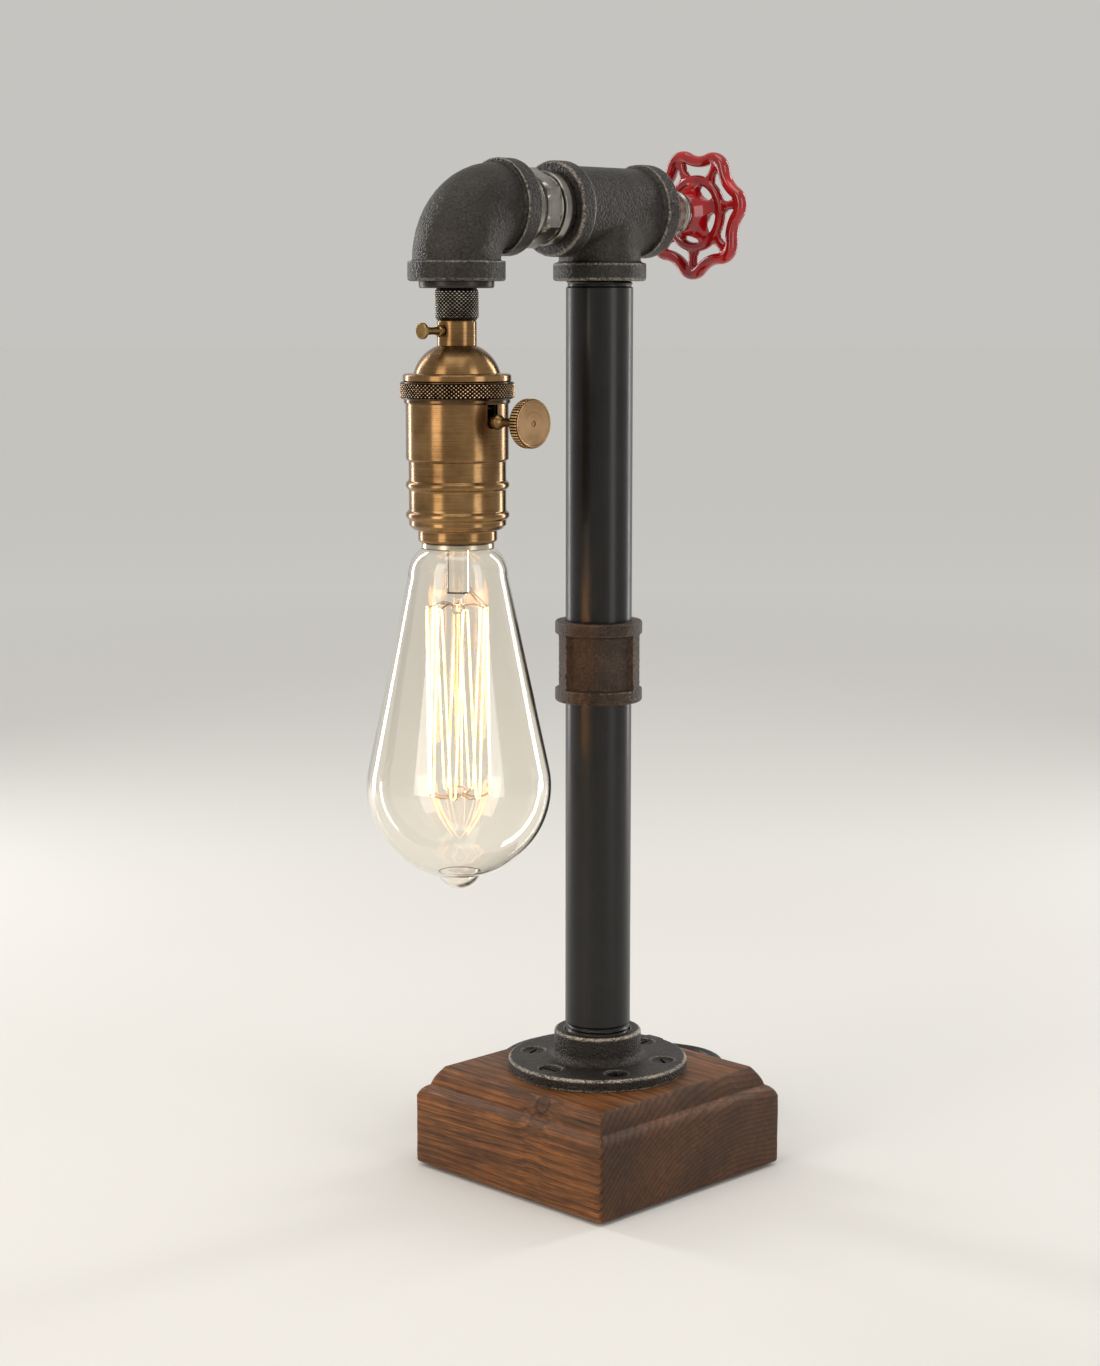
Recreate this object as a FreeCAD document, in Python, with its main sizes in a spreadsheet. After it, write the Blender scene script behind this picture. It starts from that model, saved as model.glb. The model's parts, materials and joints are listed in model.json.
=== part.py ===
"""Industrial pipe table lamp: pipe fittings on a wooden base, with a key-switch socket and a filament bulb.

Frame: millimetres, +Z up, the origin at the centre of the base's underside. The riser stands on the Z axis.
The arm reaches along -X to the elbow and the socket, the valve wheel is on +X and the key points to -Y.
"""
import FreeCAD, Part
import math
import os

import Sketcher
from FreeCAD import Placement, Rotation, Vector

SIZES = (
    # Wooden base
    ("base_side", 107.3, "side of the square base"),
    ("base_height", 42.0, "height of the base, felt included"),
    ("base_edge_height", 29.2, "height of the plain sides, where the moulding starts"),
    ("base_corner_radius", 2.0, "rounding of the upright corners"),
    ("panel_inset", 8.45, "how far the moulding sets the top panel in"),
    ("bead_inset", 4.4, "inset where the moulding's bead meets its cove"),
    ("bead_height", 34.4, "height where the bead meets the cove"),
    ("bead_radius", 5.6, "radius of the moulding's bead"),
    ("cove_radius", 10.0, "radius of the moulding's cove"),
    ("felt_thickness", 1.5, "felt sheet under the base"),
    ("felt_inset", 4.0, "margin of wood round the felt"),
    ("cable_bore_diameter", 28.0, "bore through the middle of the base"),
    ("channel_width", 9.0, "cable channel under the base"),
    ("channel_height", 22.5, "top of the cable channel above the table"),
    ("channel_wall", 12.0, "wood left between the channel's end and the side"),
    ("pilot_clearance", 0.05, "gap between a screw and its hole in the wood"),
    # Floor flange and its screws
    ("flange_diameter", 73.6, "floor flange plate"),
    ("flange_thickness", 5.1, "floor flange plate"),
    ("flange_height", 16.8, "floor flange, plate and hub"),
    ("flange_hub_diameter", 35.7, "hub of the floor flange"),
    ("flange_fillet", 3.5, "fillet between the plate and the hub"),
    ("flange_bolt_circle", 55.0, "circle of the flange's screw holes"),
    ("flange_holes", 6, "number of screw holes"),
    ("flange_hole_diameter", 6.0, "screw hole in the flange"),
    ("countersink_diameter", 10.0, "mouth of the countersink"),
    ("screw_diameter", 4.2, "shank of the wood screw"),
    ("screw_length", 18.5, "wood screw, head included"),
    ("screw_recess", 0.7, "how far a screw's head lies below the plate"),
    ("screw_play", 0.05, "gap between a screw's head and the countersink"),
    ("slot_width", 1.2, "driver slot"),
    ("slot_depth", 1.0, "driver slot"),
    # Riser
    ("pipe_diameter", 26.7, "outside of the three-quarter inch pipe"),
    ("pipe_wall", 2.87, "wall of the pipe"),
    ("lower_pipe_length", 165.1, "lower nipple"),
    ("upper_pipe_length", 165.1, "upper nipple"),
    ("pipe_edge", 0.6, "chamfer at the pipe's ends"),
    ("flange_seat", 3.35, "height of the lower pipe's end above the base"),
    ("thread_play", 0.05, "radial gap in a threaded joint, drawn plain"),
    ("coupling_gap", 3.0, "gap between the two pipes inside the coupling"),
    ("coupling_height", 32.9, "pipe coupling"),
    ("coupling_diameter", 31.7, "body of the coupling"),
    ("coupling_band_diameter", 35.2, "end bands of the coupling"),
    ("coupling_band_width", 5.2, "end bands of the coupling"),
    ("coupling_ribs", 3, "number of ribs between the bands"),
    ("coupling_rib_width", 5.6, "rib between the bands"),
    ("coupling_rib_diameter", 34.6, "circle of the ribs' outer faces"),
    ("coupling_rib_angle", 46.0, "direction of the first rib"),
    # Tee and elbow
    ("fitting_diameter", 33.4, "body of the tee and of the elbow"),
    ("fitting_bore", 24.0, "passage inside the fittings"),
    ("band_diameter", 36.9, "bands round the fittings' mouths"),
    ("band_edge", 0.7, "softened edge of a band"),
    ("tee_reach", 27.6, "centre of the tee to the face of a mouth"),
    ("tee_band_width", 6.8, "band of the tee"),
    ("tee_socket_depth", 16.0, "threaded depth of the tee's mouths"),
    ("tee_branch_diameter", 32.4, "body of the tee's branch"),
    ("tee_fillet", 3.0, "fillet where the branch meets the run"),
    ("riser_grip", 15.15, "how far the upper pipe enters the tee"),
    ("elbow_reach", 28.0, "centre of the elbow to the face of a mouth"),
    ("elbow_bend", 20.5, "bend radius of the elbow"),
    ("elbow_band_width", 7.5, "band of the elbow"),
    ("elbow_socket_depth", 12.0, "threaded depth of the elbow's mouths"),
    # Hex nipple between the tee and the elbow
    ("nipple_gap", 21.8, "distance from the tee's face to the elbow's"),
    ("nipple_tee_grip", 13.0, "how far the nipple enters the tee"),
    ("nipple_elbow_grip", 10.5, "how far the nipple enters the elbow"),
    ("nipple_bore", 19.0, "passage through the nipple"),
    ("nipple_neck_diameter", 25.6, "thread relief between the nipple's rings"),
    ("nipple_collar_diameter", 29.0, "collar against the tee"),
    ("nipple_collar_width", 5.4, "collar against the tee"),
    ("nipple_hex_flats", 26.6, "across the flats of the hexagon"),
    ("nipple_hex_width", 7.5, "hexagon"),
    ("nipple_ring_diameter", 27.9, "ring beside the elbow"),
    ("nipple_ring_width", 3.6, "ring beside the elbow"),
    ("nipple_groove", 1.4, "gaps beside the hexagon"),
    # Valve bonnet and wheel
    ("bonnet_grip", 10.0, "how far the bonnet enters the tee"),
    ("bonnet_flange_diameter", 21.0, "collar of the bonnet"),
    ("bonnet_flange_width", 3.4, "collar of the bonnet"),
    ("packing_nut_diameter", 17.8, "packing nut"),
    ("packing_nut_length", 14.5, "packing nut"),
    ("packing_nut_step", 2.6, "rounded rings at the packing nut's ends"),
    ("packing_nut_waist", 15.8, "packing nut between its rings"),
    ("packing_chamber_diameter", 10.0, "chamber that holds the packing"),
    ("packing_chamber_depth", 7.0, "chamber that holds the packing"),
    ("packing_length", 4.5, "packing ring"),
    ("stem_diameter", 6.35, "valve stem"),
    ("stem_play", 0.06, "radial gap round the stem"),
    ("stem_reach", 22.0, "length of stem inside the tee's face"),
    ("stem_collar_diameter", 9.0, "collar that keeps the stem in"),
    ("stem_collar_width", 2.5, "collar that keeps the stem in"),
    ("wheel_gap", 1.0, "bare stem between the packing nut and the wheel"),
    ("wheel_hub_diameter", 16.4, "hub of the wheel"),
    ("wheel_hub_length", 9.0, "hub of the wheel"),
    ("wheel_plane", 10.2, "hub's inner end to the plane of the rim"),
    ("wheel_diameter", 53.7, "wheel over its lobes"),
    ("wheel_lobe_depth", 3.65, "how far the rim sinks between its lobes"),
    ("wheel_lobes", 7, "number of lobes"),
    ("wheel_lobe_radius", 8.1, "outer radius of a lobe"),
    ("wheel_lobe_angle", 3.7, "direction of the first lobe"),
    ("wheel_rim_thickness", 4.8, "section of the rim"),
    ("wheel_ring_diameter", 27.1, "inner ring, at the middle of its section"),
    ("wheel_ring_thickness", 4.2, "section of the inner ring"),
    ("wheel_web_thickness", 3.4, "webs between the ring and the rim"),
    ("wheel_spokes", 5, "number of spokes"),
    ("wheel_spoke_width", 6.6, "spoke"),
    ("wheel_spoke_thickness", 2.8, "spoke"),
    ("wheel_washer_diameter", 12.0, "washer under the wheel nut"),
    ("wheel_washer_thickness", 1.0, "washer under the wheel nut"),
    ("wheel_nut_flats", 10.0, "across the flats of the wheel nut"),
    ("wheel_nut_height", 4.5, "wheel nut"),
    ("stem_tail", 1.5, "stem beyond the wheel nut"),
    # Pieces between the elbow and the socket
    ("bushing_flange_diameter", 28.5, "flange of the reducing bushing"),
    ("bushing_flange_height", 2.6, "flange of the reducing bushing"),
    ("bushing_grip", 10.0, "how far the bushing enters the elbow"),
    ("tube_diameter", 10.0, "threaded tube"),
    ("tube_bore", 7.0, "passage through the threaded tube"),
    ("tube_grip", 6.0, "threaded tube inside the bushing"),
    ("tube_tail", 3.0, "threaded tube inside the cap"),
    ("coupler_diameter", 16.9, "knurled coupler"),
    ("coupler_height", 11.8, "knurled coupler"),
    ("coupler_edge", 0.8, "chamfers of the knurled coupler"),
    ("neck_diameter", 15.05, "neck of the socket"),
    ("neck_height", 9.7, "neck of the socket"),
    ("thumb_screw_drop", 4.0, "neck's top to the thumbscrew's axis"),
    ("thumb_screw_diameter", 3.4, "shank of the thumbscrew"),
    ("thumb_screw_collar_diameter", 4.6, "collar of the thumbscrew"),
    ("thumb_screw_reach", 18.4, "socket axis to the end of the thumbscrew's head"),
    ("thumb_screw_head_diameter", 6.3, "head of the thumbscrew"),
    ("thumb_screw_head_width", 1.7, "head of the thumbscrew"),
    # Socket
    ("sheet_brass", 0.8, "wall of the spun brass pieces"),
    ("cap_height", 13.3, "socket cap"),
    ("cap_dome_height", 10.1, "dome of the cap"),
    ("cap_dome_diameter", 32.8, "dome of the cap at its foot"),
    ("cap_dome_radius", 15.0, "round of the dome"),
    ("cap_rim_diameter", 41.1, "rim of the cap"),
    ("cap_rim_height", 2.9, "rim of the cap"),
    ("ring_diameter", 43.8, "knurled ring"),
    ("ring_height", 6.4, "knurled band of the ring"),
    ("ring_lip_diameter", 40.4, "lip below the knurled band"),
    ("ring_lip_height", 1.8, "lip below the knurled band"),
    ("ring_edge", 0.6, "chamfers of the knurled band"),
    ("fit_gap", 0.05, "radial gap between pieces that sit in each other"),
    ("shell_diameter", 39.0, "upper part of the shell"),
    ("shell_waist_diameter", 37.0, "lower part of the shell"),
    ("shell_height", 60.4, "shell, from the cap's rim to its mouth"),
    ("shell_waist_drop", 29.4, "shell's top to its waist"),
    ("shell_bead_drop", 38.9, "shell's top to the middle of the first bead"),
    ("shell_bead_spacing", 11.4, "distance between the two beads"),
    ("shell_bead_diameter", 39.4, "beads round the shell"),
    ("shell_bead_height", 3.0, "beads round the shell"),
    ("shell_foot_height", 4.6, "collar round the shell's mouth"),
    ("shell_foot_diameter", 30.1, "collar round the shell's mouth"),
    ("shell_foot_flare", 1.6, "step from the waist to the collar"),
    ("liner_wall", 0.5, "insulating sleeve"),
    ("liner_gap", 0.05, "gap between the sleeve and the shell"),
    ("core_drop", 9.3, "shell's top to the insulating core's top"),
    ("core_lift", 27.1, "shell's mouth to the insulating core's foot"),
    ("screw_shell_bore", 27.0, "plain bore that stands for the lamp thread"),
    ("screw_shell_wall", 0.4, "screw shell"),
    ("screw_shell_height", 23.6, "screw shell"),
    ("contact_diameter", 8.0, "centre contact"),
    ("contact_thickness", 1.0, "centre contact"),
    ("terminal_spread", 9.0, "socket axis to a terminal screw"),
    ("terminal_diameter", 3.0, "shank of a terminal screw"),
    ("terminal_head_diameter", 6.4, "head of a terminal screw"),
    ("terminal_head_height", 2.0, "head of a terminal screw"),
    ("terminal_depth", 6.0, "terminal screw in the core"),
    # Key switch
    ("key_drop", 14.6, "shell's top to the key's axis"),
    ("key_slot_width", 5.3, "slot in the shell for the key"),
    ("key_stem_diameter", 3.7, "stem of the key"),
    ("key_stem_start", 6.0, "socket axis to the stem's inner end"),
    ("key_collar_diameter", 5.7, "collar of the stem"),
    ("key_collar_start", 20.3, "socket axis to the collar"),
    ("key_collar_length", 3.7, "collar of the stem"),
    ("key_knob_start", 37.0, "socket axis to the knob's inner face"),
    ("key_knob_thickness", 4.3, "knob"),
    ("key_knob_diameter", 18.5, "knob"),
    ("key_knob_edge", 0.6, "chamfers of the knob"),
    ("key_dimple_diameter", 2.0, "dimple in the knob's face"),
    ("cam_diameter", 9.0, "switch cam"),
    ("cam_length", 8.0, "switch cam"),
    ("cam_play", 0.3, "gap round the cam"),
    ("leaf_thickness", 0.8, "spring leaf of the switch"),
    ("leaf_width", 5.0, "spring leaf of the switch"),
    # Bulb
    ("bulb_diameter", 71.1, "glass at its widest"),
    ("bulb_length", 130.3, "shell's mouth to the foot of the round glass"),
    ("bulb_taper", 12.0, "slope of the glass cone"),
    ("bulb_neck_diameter", 26.6, "glass at the cap"),
    ("bulb_neck_gap", 2.2, "bare cap below the socket's mouth"),
    ("bulb_shoulder_drop", 13.0, "shell's mouth to the top of the cone"),
    ("bulb_shoulder_radius", 13.0, "round of the shoulder"),
    ("bulb_wall", 0.8, "glass"),
    ("bulb_tip_diameter", 16.7, "sealed tip under the glass"),
    ("bulb_tip_height", 5.9, "sealed tip, from its root to its end"),
    ("bulb_tip_radius", 10.0, "round of the tip"),
    ("cap_shell_diameter", 26.2, "lamp cap over its thread"),
    ("lamp_gap", 0.1, "gap between the two contacts"),
    ("bulb_throat_diameter", 25.2, "glass inside the lamp cap"),
    ("cap_skirt_diameter", 27.8, "skirt of the lamp cap"),
    ("cap_shell_wall", 0.4, "lamp cap"),
    ("cap_insulator_height", 3.0, "black glass in the end of the lamp cap"),
    ("cap_insulator_diameter", 14.0, "black glass in the end of the lamp cap"),
    ("cap_contact_diameter", 9.0, "contact of the lamp cap"),
    ("cap_contact_height", 1.0, "contact of the lamp cap"),
    ("cage_top", 26.0, "shell's mouth to the filament's upper hooks"),
    ("cage_length", 71.0, "height of the filament cage"),
    ("cage_diameter", 24.0, "filament cage"),
    ("cage_spans", 14, "straight spans of the filament"),
    ("filament_diameter", 0.7, "filament, drawn as thick as it glows"),
    ("support_diameter", 0.8, "support wires"),
    ("stem_tube_diameter", 9.0, "glass stem tube"),
    ("stem_tube_drop", 20.0, "shell's mouth to the end of the stem tube"),
    ("stem_rod_diameter", 3.0, "glass rod through the cage"),
    ("stem_button_diameter", 5.5, "glass buttons that hold the support wires"),
    # Cables and cord
    ("cable_diameter", 5.2, "round two-core cable, inside and outside"),
    ("cable_height", 15.0, "cable's axis above the table where it leaves the base"),
    ("cable_bend", 15.0, "bend of the cable inside the pipes"),
    ("tee_cable_bend", 10.0, "bend of the cable inside the tee"),
    ("cable_end_gap", 7.0, "core's top to the end of the cable's jacket"),
    ("lead_diameter", 1.8, "insulated conductor"),
    ("gland_head_diameter", 13.0, "head of the cord gland"),
    ("gland_head_length", 3.0, "head of the cord gland"),
    ("gland_barrel_diameter", 9.6, "barrel of the cord gland"),
    ("relief_length", 20.0, "tapered strain relief"),
    ("relief_root_diameter", 9.4, "strain relief at the gland"),
    ("relief_tip_diameter", 6.8, "strain relief at its end"),
    ("coil_turn_diameter", 61.5, "coil, middle of its turns"),
    ("coil_columns", 4.94, "turns of the coil beside each other"),
    ("coil_layers", 2, "turns of the coil on each other"),
    ("coil_centre", 86.0, "coil's centre from the riser, along X and along Y"),
    ("tie_width", 9.0, "tie round the coil"),
    ("tie_thickness", 0.9, "tie round the coil"),
    ("plug_width", 24.0, "plug body"),
    ("plug_thickness", 14.0, "plug body"),
    ("plug_length", 27.0, "plug body"),
    ("plug_nose", 12.0, "tapered end of the plug where the cord enters"),
    ("plug_corner", 3.0, "rounding of the plug's upright edges"),
    ("blade_width", 6.35, "plug blade"),
    ("blade_thickness", 1.5, "plug blade"),
    ("blade_length", 17.5, "plug blade outside the body"),
    ("blade_spacing", 12.7, "distance between the blades' middles"),
    ("blade_root", 8.0, "plug blade inside the body"),
)

# Routes of the free cord on the table, chosen by hand, as (x, y, z) in millimetres.
CORD_ROUTE = (
    (56.65, 0.0, 15.0),
    (92.0, 0.0, 15.0),
    (116.0, 18.5, 2.6),
    (130.5, 45.0, 2.6),
    (146.5, 65.5, 2.6),
    (141.2, 87.7, 2.6),
    (128.6, 102.5, 2.6),
    (114.99, 114.99, 2.6),
)
PLUG_ROUTE = (
    (65.5, 121.51, 7.8),
    (39.52, 106.51, 7.0),
)

STRAIGHT_UP = Rotation()
TO_RIGHT = Rotation(Vector(0, 1, 0), 90)
TO_LEFT = Rotation(Vector(0, 1, 0), -90)
TO_FRONT = Rotation(Vector(1, 0, 0), 90)

document = FreeCAD.newDocument("pipe_table_lamp")


class Size:
    """A length, angle or count: its present value, and the expression that keeps it so."""

    def __init__(self, value, text=None):
        self.value = float(value)
        self.text = text or f"({self.value:.9g})"

    def __add__(self, other):
        return joined(self, "+", other, lambda a, b: a + b)

    def __radd__(self, other):
        return joined(other, "+", self, lambda a, b: a + b)

    def __sub__(self, other):
        return joined(self, "-", other, lambda a, b: a - b)

    def __rsub__(self, other):
        return joined(other, "-", self, lambda a, b: a - b)

    def __mul__(self, other):
        return joined(self, "*", other, lambda a, b: a * b)

    def __rmul__(self, other):
        return joined(other, "*", self, lambda a, b: a * b)

    def __truediv__(self, other):
        return joined(self, "/", other, lambda a, b: a / b)

    def __neg__(self):
        return joined(0, "-", self, lambda a, b: a - b)


def as_size(number):
    """A plain number as a Size; a Size as it is."""
    return number if isinstance(number, Size) else Size(number)


def joined(first, sign, second, work):
    """Two sizes joined by a sign, as a new Size."""
    first, second = as_size(first), as_size(second)
    return Size(work(first.value, second.value), f"({first.text} {sign} {second.text})")


def cosine(angle):
    return Size(math.cos(math.radians(angle.value)), f"cos({angle.text})")


def sine(angle):
    return Size(math.sin(math.radians(angle.value)), f"sin({angle.text})")


def root(number):
    return Size(math.sqrt(number.value), f"sqrt({number.text})")


class SizeSheet:
    """The spreadsheet of driving dimensions. Each alias reads as a Size."""

    def __init__(self, rows):
        self.sheet = document.addObject("Spreadsheet::Sheet", "Sizes")
        for row, (alias, value, meaning) in enumerate(rows, 1):
            self.sheet.set(f"A{row}", meaning)
            self.sheet.set(f"B{row}", str(value))
            self.sheet.setAlias(f"B{row}", alias)
        document.recompute()

    def __getattr__(self, alias):
        return Size(self.sheet.get(alias), f"Sizes.{alias}")


class Bend:
    """A round stretch of an outline, from the point before it to the point after it."""

    def __init__(self, radius, side):
        self.radius = as_size(radius)
        self.side = side


LEFT, RIGHT = 1, -1


# ---------------------------------------------------------------- building tools

def bind(thing, path, size):
    """Sets a property by the expression of a size."""
    thing.setExpression(path, size.text)


def new_body(name):
    """An empty sub-part. Its label names its file."""
    body = document.addObject("PartDesign::Body", name)
    body.Label = name
    return body


def origin_feature(body, role):
    """A plane or axis of a body's own origin."""
    return next(feature for feature in body.Origin.OriginFeatures if feature.Role == role)


def place(piece, at=(0, 0, 0), turn=STRAIGHT_UP):
    """Puts a sub-part at its seat, each coordinate held by an expression."""
    seat = [as_size(coordinate) for coordinate in at]
    piece.Placement = Placement(Vector(*(coordinate.value for coordinate in seat)), turn)
    for axis, coordinate in zip("xyz", seat):
        bind(piece, f"Placement.Base.{axis}", coordinate)
    return piece


def new_sketch(body, plane, height=None):
    """A sketch on one of the body's planes, moved along the plane's normal by a height."""
    sketch = body.newObject("Sketcher::SketchObject", f"{body.Name}_sketch")
    sketch.AttachmentSupport = [(origin_feature(body, plane), "")]
    sketch.MapMode = "FlatFace"
    if height is not None:
        sketch.AttachmentOffset = Placement(Vector(0, 0, as_size(height).value), Rotation())
        bind(sketch, "AttachmentOffset.Base.z", as_size(height))
    return sketch


def pin_point(sketch, edge, end, across, up):
    """Holds an end of a sketch edge at its distances from the sketch's origin."""
    for kind, size in (("DistanceX", as_size(across)), ("DistanceY", as_size(up))):
        held = sketch.addConstraint(Sketcher.Constraint(kind, -1, 1, edge, end, size.value))
        if "Sizes" in size.text:
            bind(sketch, f"Constraints[{held}]", size)


def hold_radius(sketch, edge, radius):
    """Holds the radius of a sketch's arc or circle."""
    held = sketch.addConstraint(Sketcher.Constraint("Radius", edge, radius.value))
    bind(sketch, f"Constraints[{held}]", radius)


def arc_between(start, end, bend):
    """The arc of a bend between two points, always drawn counterclockwise."""
    chord = end - start
    half = chord.Length / 2
    rise = math.sqrt(bend.radius.value ** 2 - half ** 2)
    sideways = Vector(-chord.y, chord.x, 0).normalize()
    centre = start + chord / 2 + sideways * rise * bend.side
    first, last = (start, end) if bend.side == LEFT else (end, start)
    angles = [math.atan2(point.y - centre.y, point.x - centre.x) for point in (first, last)]
    return Part.ArcOfCircle(Part.Circle(centre, Vector(0, 0, 1), bend.radius.value), *angles)


def draw_outline(sketch, outline):
    """Draws a closed outline of points and bends, with every corner held by expressions."""
    points, bends = [], []
    for item in outline:
        if isinstance(item, Bend):
            bends[-1] = item
        else:
            points.append(item)
            bends.append(None)
    first_edge = sketch.GeometryCount
    starts, ends = [], []
    for index, bend in enumerate(bends):
        here, there = points[index], points[(index + 1) % len(points)]
        start, end = (Vector(as_size(x).value, as_size(y).value, 0) for x, y in (here, there))
        if bend is None:
            sketch.addGeometry(Part.LineSegment(start, end))
        else:
            sketch.addGeometry(arc_between(start, end, bend))
        flipped = bend is not None and bend.side == RIGHT
        starts.append(2 if flipped else 1)
        ends.append(1 if flipped else 2)
    count = len(points)
    for index, (across, up) in enumerate(points):
        edge, before = first_edge + index, first_edge + (index - 1) % count
        sketch.addConstraint(
            Sketcher.Constraint("Coincident", before, ends[(index - 1) % count], edge, starts[index])
        )
        pin_point(sketch, edge, starts[index], across, up)
        if bends[index] is not None:
            hold_radius(sketch, edge, bends[index].radius)


def draw_circle(sketch, radius, across=0, up=0):
    """Draws a circle held by its centre and its radius."""
    radius = as_size(radius)
    centre = Vector(as_size(across).value, as_size(up).value, 0)
    edge = sketch.addGeometry(Part.Circle(centre, Vector(0, 0, 1), radius.value))
    pin_point(sketch, edge, 3, across, up)
    hold_radius(sketch, edge, radius)


def draw_axis(sketch, across):
    """Draws an upright construction line for a revolution to turn about."""
    across = as_size(across)
    ends = Vector(across.value, 0, 0), Vector(across.value, 10, 0)
    edge = sketch.addGeometry(Part.LineSegment(*ends), True)
    pin_point(sketch, edge, 1, across, 0)
    pin_point(sketch, edge, 2, across, 10)


def turn_profile(body, outline, axis="V_Axis", cut=False, off_axis=None):
    """Turns an outline of (radius, height) about the body's Z axis, or X for axis H_Axis."""
    sketch = new_sketch(body, "XZ_Plane")
    draw_outline(sketch, outline)
    if off_axis is not None:
        draw_axis(sketch, off_axis)
        axis = "Axis0"
    kind = "PartDesign::Groove" if cut else "PartDesign::Revolution"
    feature = body.newObject(kind, f"{body.Name}_turning")
    feature.Profile = sketch
    feature.ReferenceAxis = (sketch, [axis])
    feature.Angle = 360
    return feature


def raise_profile(body, draw, length, plane="XY_Plane", start=None, cut=False, both_ways=False, back=False):
    """Pads or pockets what draw puts in a sketch, along the plane's normal."""
    sketch = new_sketch(body, plane, start)
    draw(sketch)
    kind = "PartDesign::Pocket" if cut else "PartDesign::Pad"
    feature = body.newObject(kind, f"{body.Name}_depth")
    feature.Profile = sketch
    feature.Length = as_size(length).value
    bind(feature, "Length", as_size(length))
    feature.SideType = "Symmetric" if both_ways else "One side"
    feature.Reversed = back
    return feature


def repeat_round(body, features, count):
    """Repeats features evenly about the body's Z axis."""
    pattern = body.newObject("PartDesign::PolarPattern", f"{body.Name}_circle")
    pattern.Originals = features
    pattern.Axis = (origin_feature(body, "Z_Axis"), [""])
    pattern.Angle = 360
    pattern.Occurrences = int(count.value)
    bind(pattern, "Occurrences", count)
    body.Tip = pattern
    return pattern


def fillet_edges(body, radius, chosen):
    """Rounds the edges of a body's tip that a test picks."""
    document.recompute()
    base = body.Tip
    names = [f"Edge{n}" for n, edge in enumerate(base.Shape.Edges, 1) if chosen(edge)]
    fillet = body.newObject("PartDesign::Fillet", f"{body.Name}_fillet")
    fillet.Base = (base, names)
    fillet.Radius = radius.value
    bind(fillet, "Radius", radius)
    body.Tip = fillet


def rectangle(left, right, low, high):
    """The outline of a rectangle."""
    return [(left, low), (right, low), (right, high), (left, high)]


def ring(inner, outer, low, high):
    """The profile of a plain ring or tube."""
    return rectangle(inner, outer, low, high)


def disc(radius, low, high):
    """The profile of a plain disc or rod."""
    return rectangle(0, radius, low, high)


def hexagon(flats):
    """The outline of a hexagon with corners up and down."""
    half, corner = flats / 2, flats / math.sqrt(3)
    return [
        (half, corner / 2), (0, corner), (-half, corner / 2),
        (-half, -corner / 2), (0, -corner), (half, -corner / 2),
    ]


def round_rectangle(width, height, corner):
    """The outline of a rectangle with round corners, about the origin."""
    x, y = width / 2, height / 2
    bend = Bend(corner, LEFT)
    return [
        (corner - x, -y), (x - corner, -y), bend, (x, corner - y), (x, y - corner), bend,
        (x - corner, y), (corner - x, y), bend, (-x, y - corner), (-x, corner - y), bend,
    ]


def turned_piece(name, outline, at=(0, 0, 0), turn=STRAIGHT_UP):
    """A sub-part turned from one profile."""
    body = new_body(name)
    turn_profile(body, outline)
    return place(body, at, turn)


def rounded_path(points, bend=None):
    """Straight runs joined by tangent arcs: of one radius, or as large as each pair of runs allows."""
    edges, here = [], points[0]
    radii = []
    for before, corner, after in zip(points, points[1:], points[2:]):
        arriving, leaving = corner - before, after - corner
        half_turn = arriving.getAngle(leaving) / 2
        reach = 0.45 * min(arriving.Length, leaving.Length)
        if bend is not None:
            reach = bend * math.tan(half_turn)
        radius = reach / math.tan(half_turn)
        arriving.normalize()
        leaving.normalize()
        start, end = corner - arriving * reach, corner + leaving * reach
        inward = (leaving - arriving).normalize()
        middle = corner + inward * radius * (1 / math.cos(half_turn) - 1)
        edges += [Part.LineSegment(here, start).toShape(), Part.Arc(start, middle, end).toShape()]
        here = end
        radii.append(radius)
    edges.append(Part.LineSegment(here, points[-1]).toShape())
    return Part.Wire(edges), radii


def tube_solid(points, diameter, bend=None):
    """A round solid along a path, and the radii of its bends."""
    path, radii = rounded_path(points, bend)
    ring_edge = Part.makeCircle(diameter / 2, points[0], points[1] - points[0])
    tube = path.makePipeShell([Part.Wire([ring_edge])], True, False)
    drawn = tube.Volume / (math.pi * diameter ** 2 / 4 * path.Length)
    if abs(drawn - 1) > 0.01:
        raise ValueError(f"a tube holds {drawn:.3f} of its section times its length")
    return tube, radii


def finished_shape(name, shape):
    """A sub-part whose shape is made directly."""
    piece = document.addObject("Part::Feature", name)
    piece.Label = name
    piece.Shape = shape
    piece.Placement = Placement()
    return piece


size = SizeSheet(SIZES)

# ---------------------------------------------------------------- seats of the sub-assemblies

pipe_radius = size.pipe_diameter / 2
thread_radius = pipe_radius + size.thread_play
pipe_bore_radius = pipe_radius - size.pipe_wall
cable_radius = size.cable_diameter / 2
lower_pipe_start = size.base_height + size.flange_seat
lower_pipe_end = lower_pipe_start + size.lower_pipe_length
coupling_middle = lower_pipe_end + size.coupling_gap / 2
upper_pipe_start = lower_pipe_end + size.coupling_gap
upper_pipe_end = upper_pipe_start + size.upper_pipe_length
arm_height = upper_pipe_end + size.tee_reach - size.riser_grip
socket_x = -(size.tee_reach + size.nipple_gap + size.elbow_reach)
bushing_top = arm_height - size.elbow_reach
coupler_top = bushing_top - size.bushing_flange_height
neck_top = coupler_top - size.coupler_height
cap_top = neck_top - size.neck_height
shell_top = cap_top - size.cap_height
mouth_height = shell_top - size.shell_height
core_top = shell_top - size.core_drop
core_foot = mouth_height + size.core_lift
core_height = core_top - core_foot
key_height = shell_top - size.key_drop
core_radius = size.shell_waist_diameter / 2 - size.sheet_brass - size.liner_gap - size.liner_wall - size.fit_gap
lamp_cap_height = (size.core_lift - size.contact_thickness - size.lamp_gap - size.cap_contact_height
                   - size.cap_insulator_height)


# ---------------------------------------------------------------- wooden base

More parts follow.
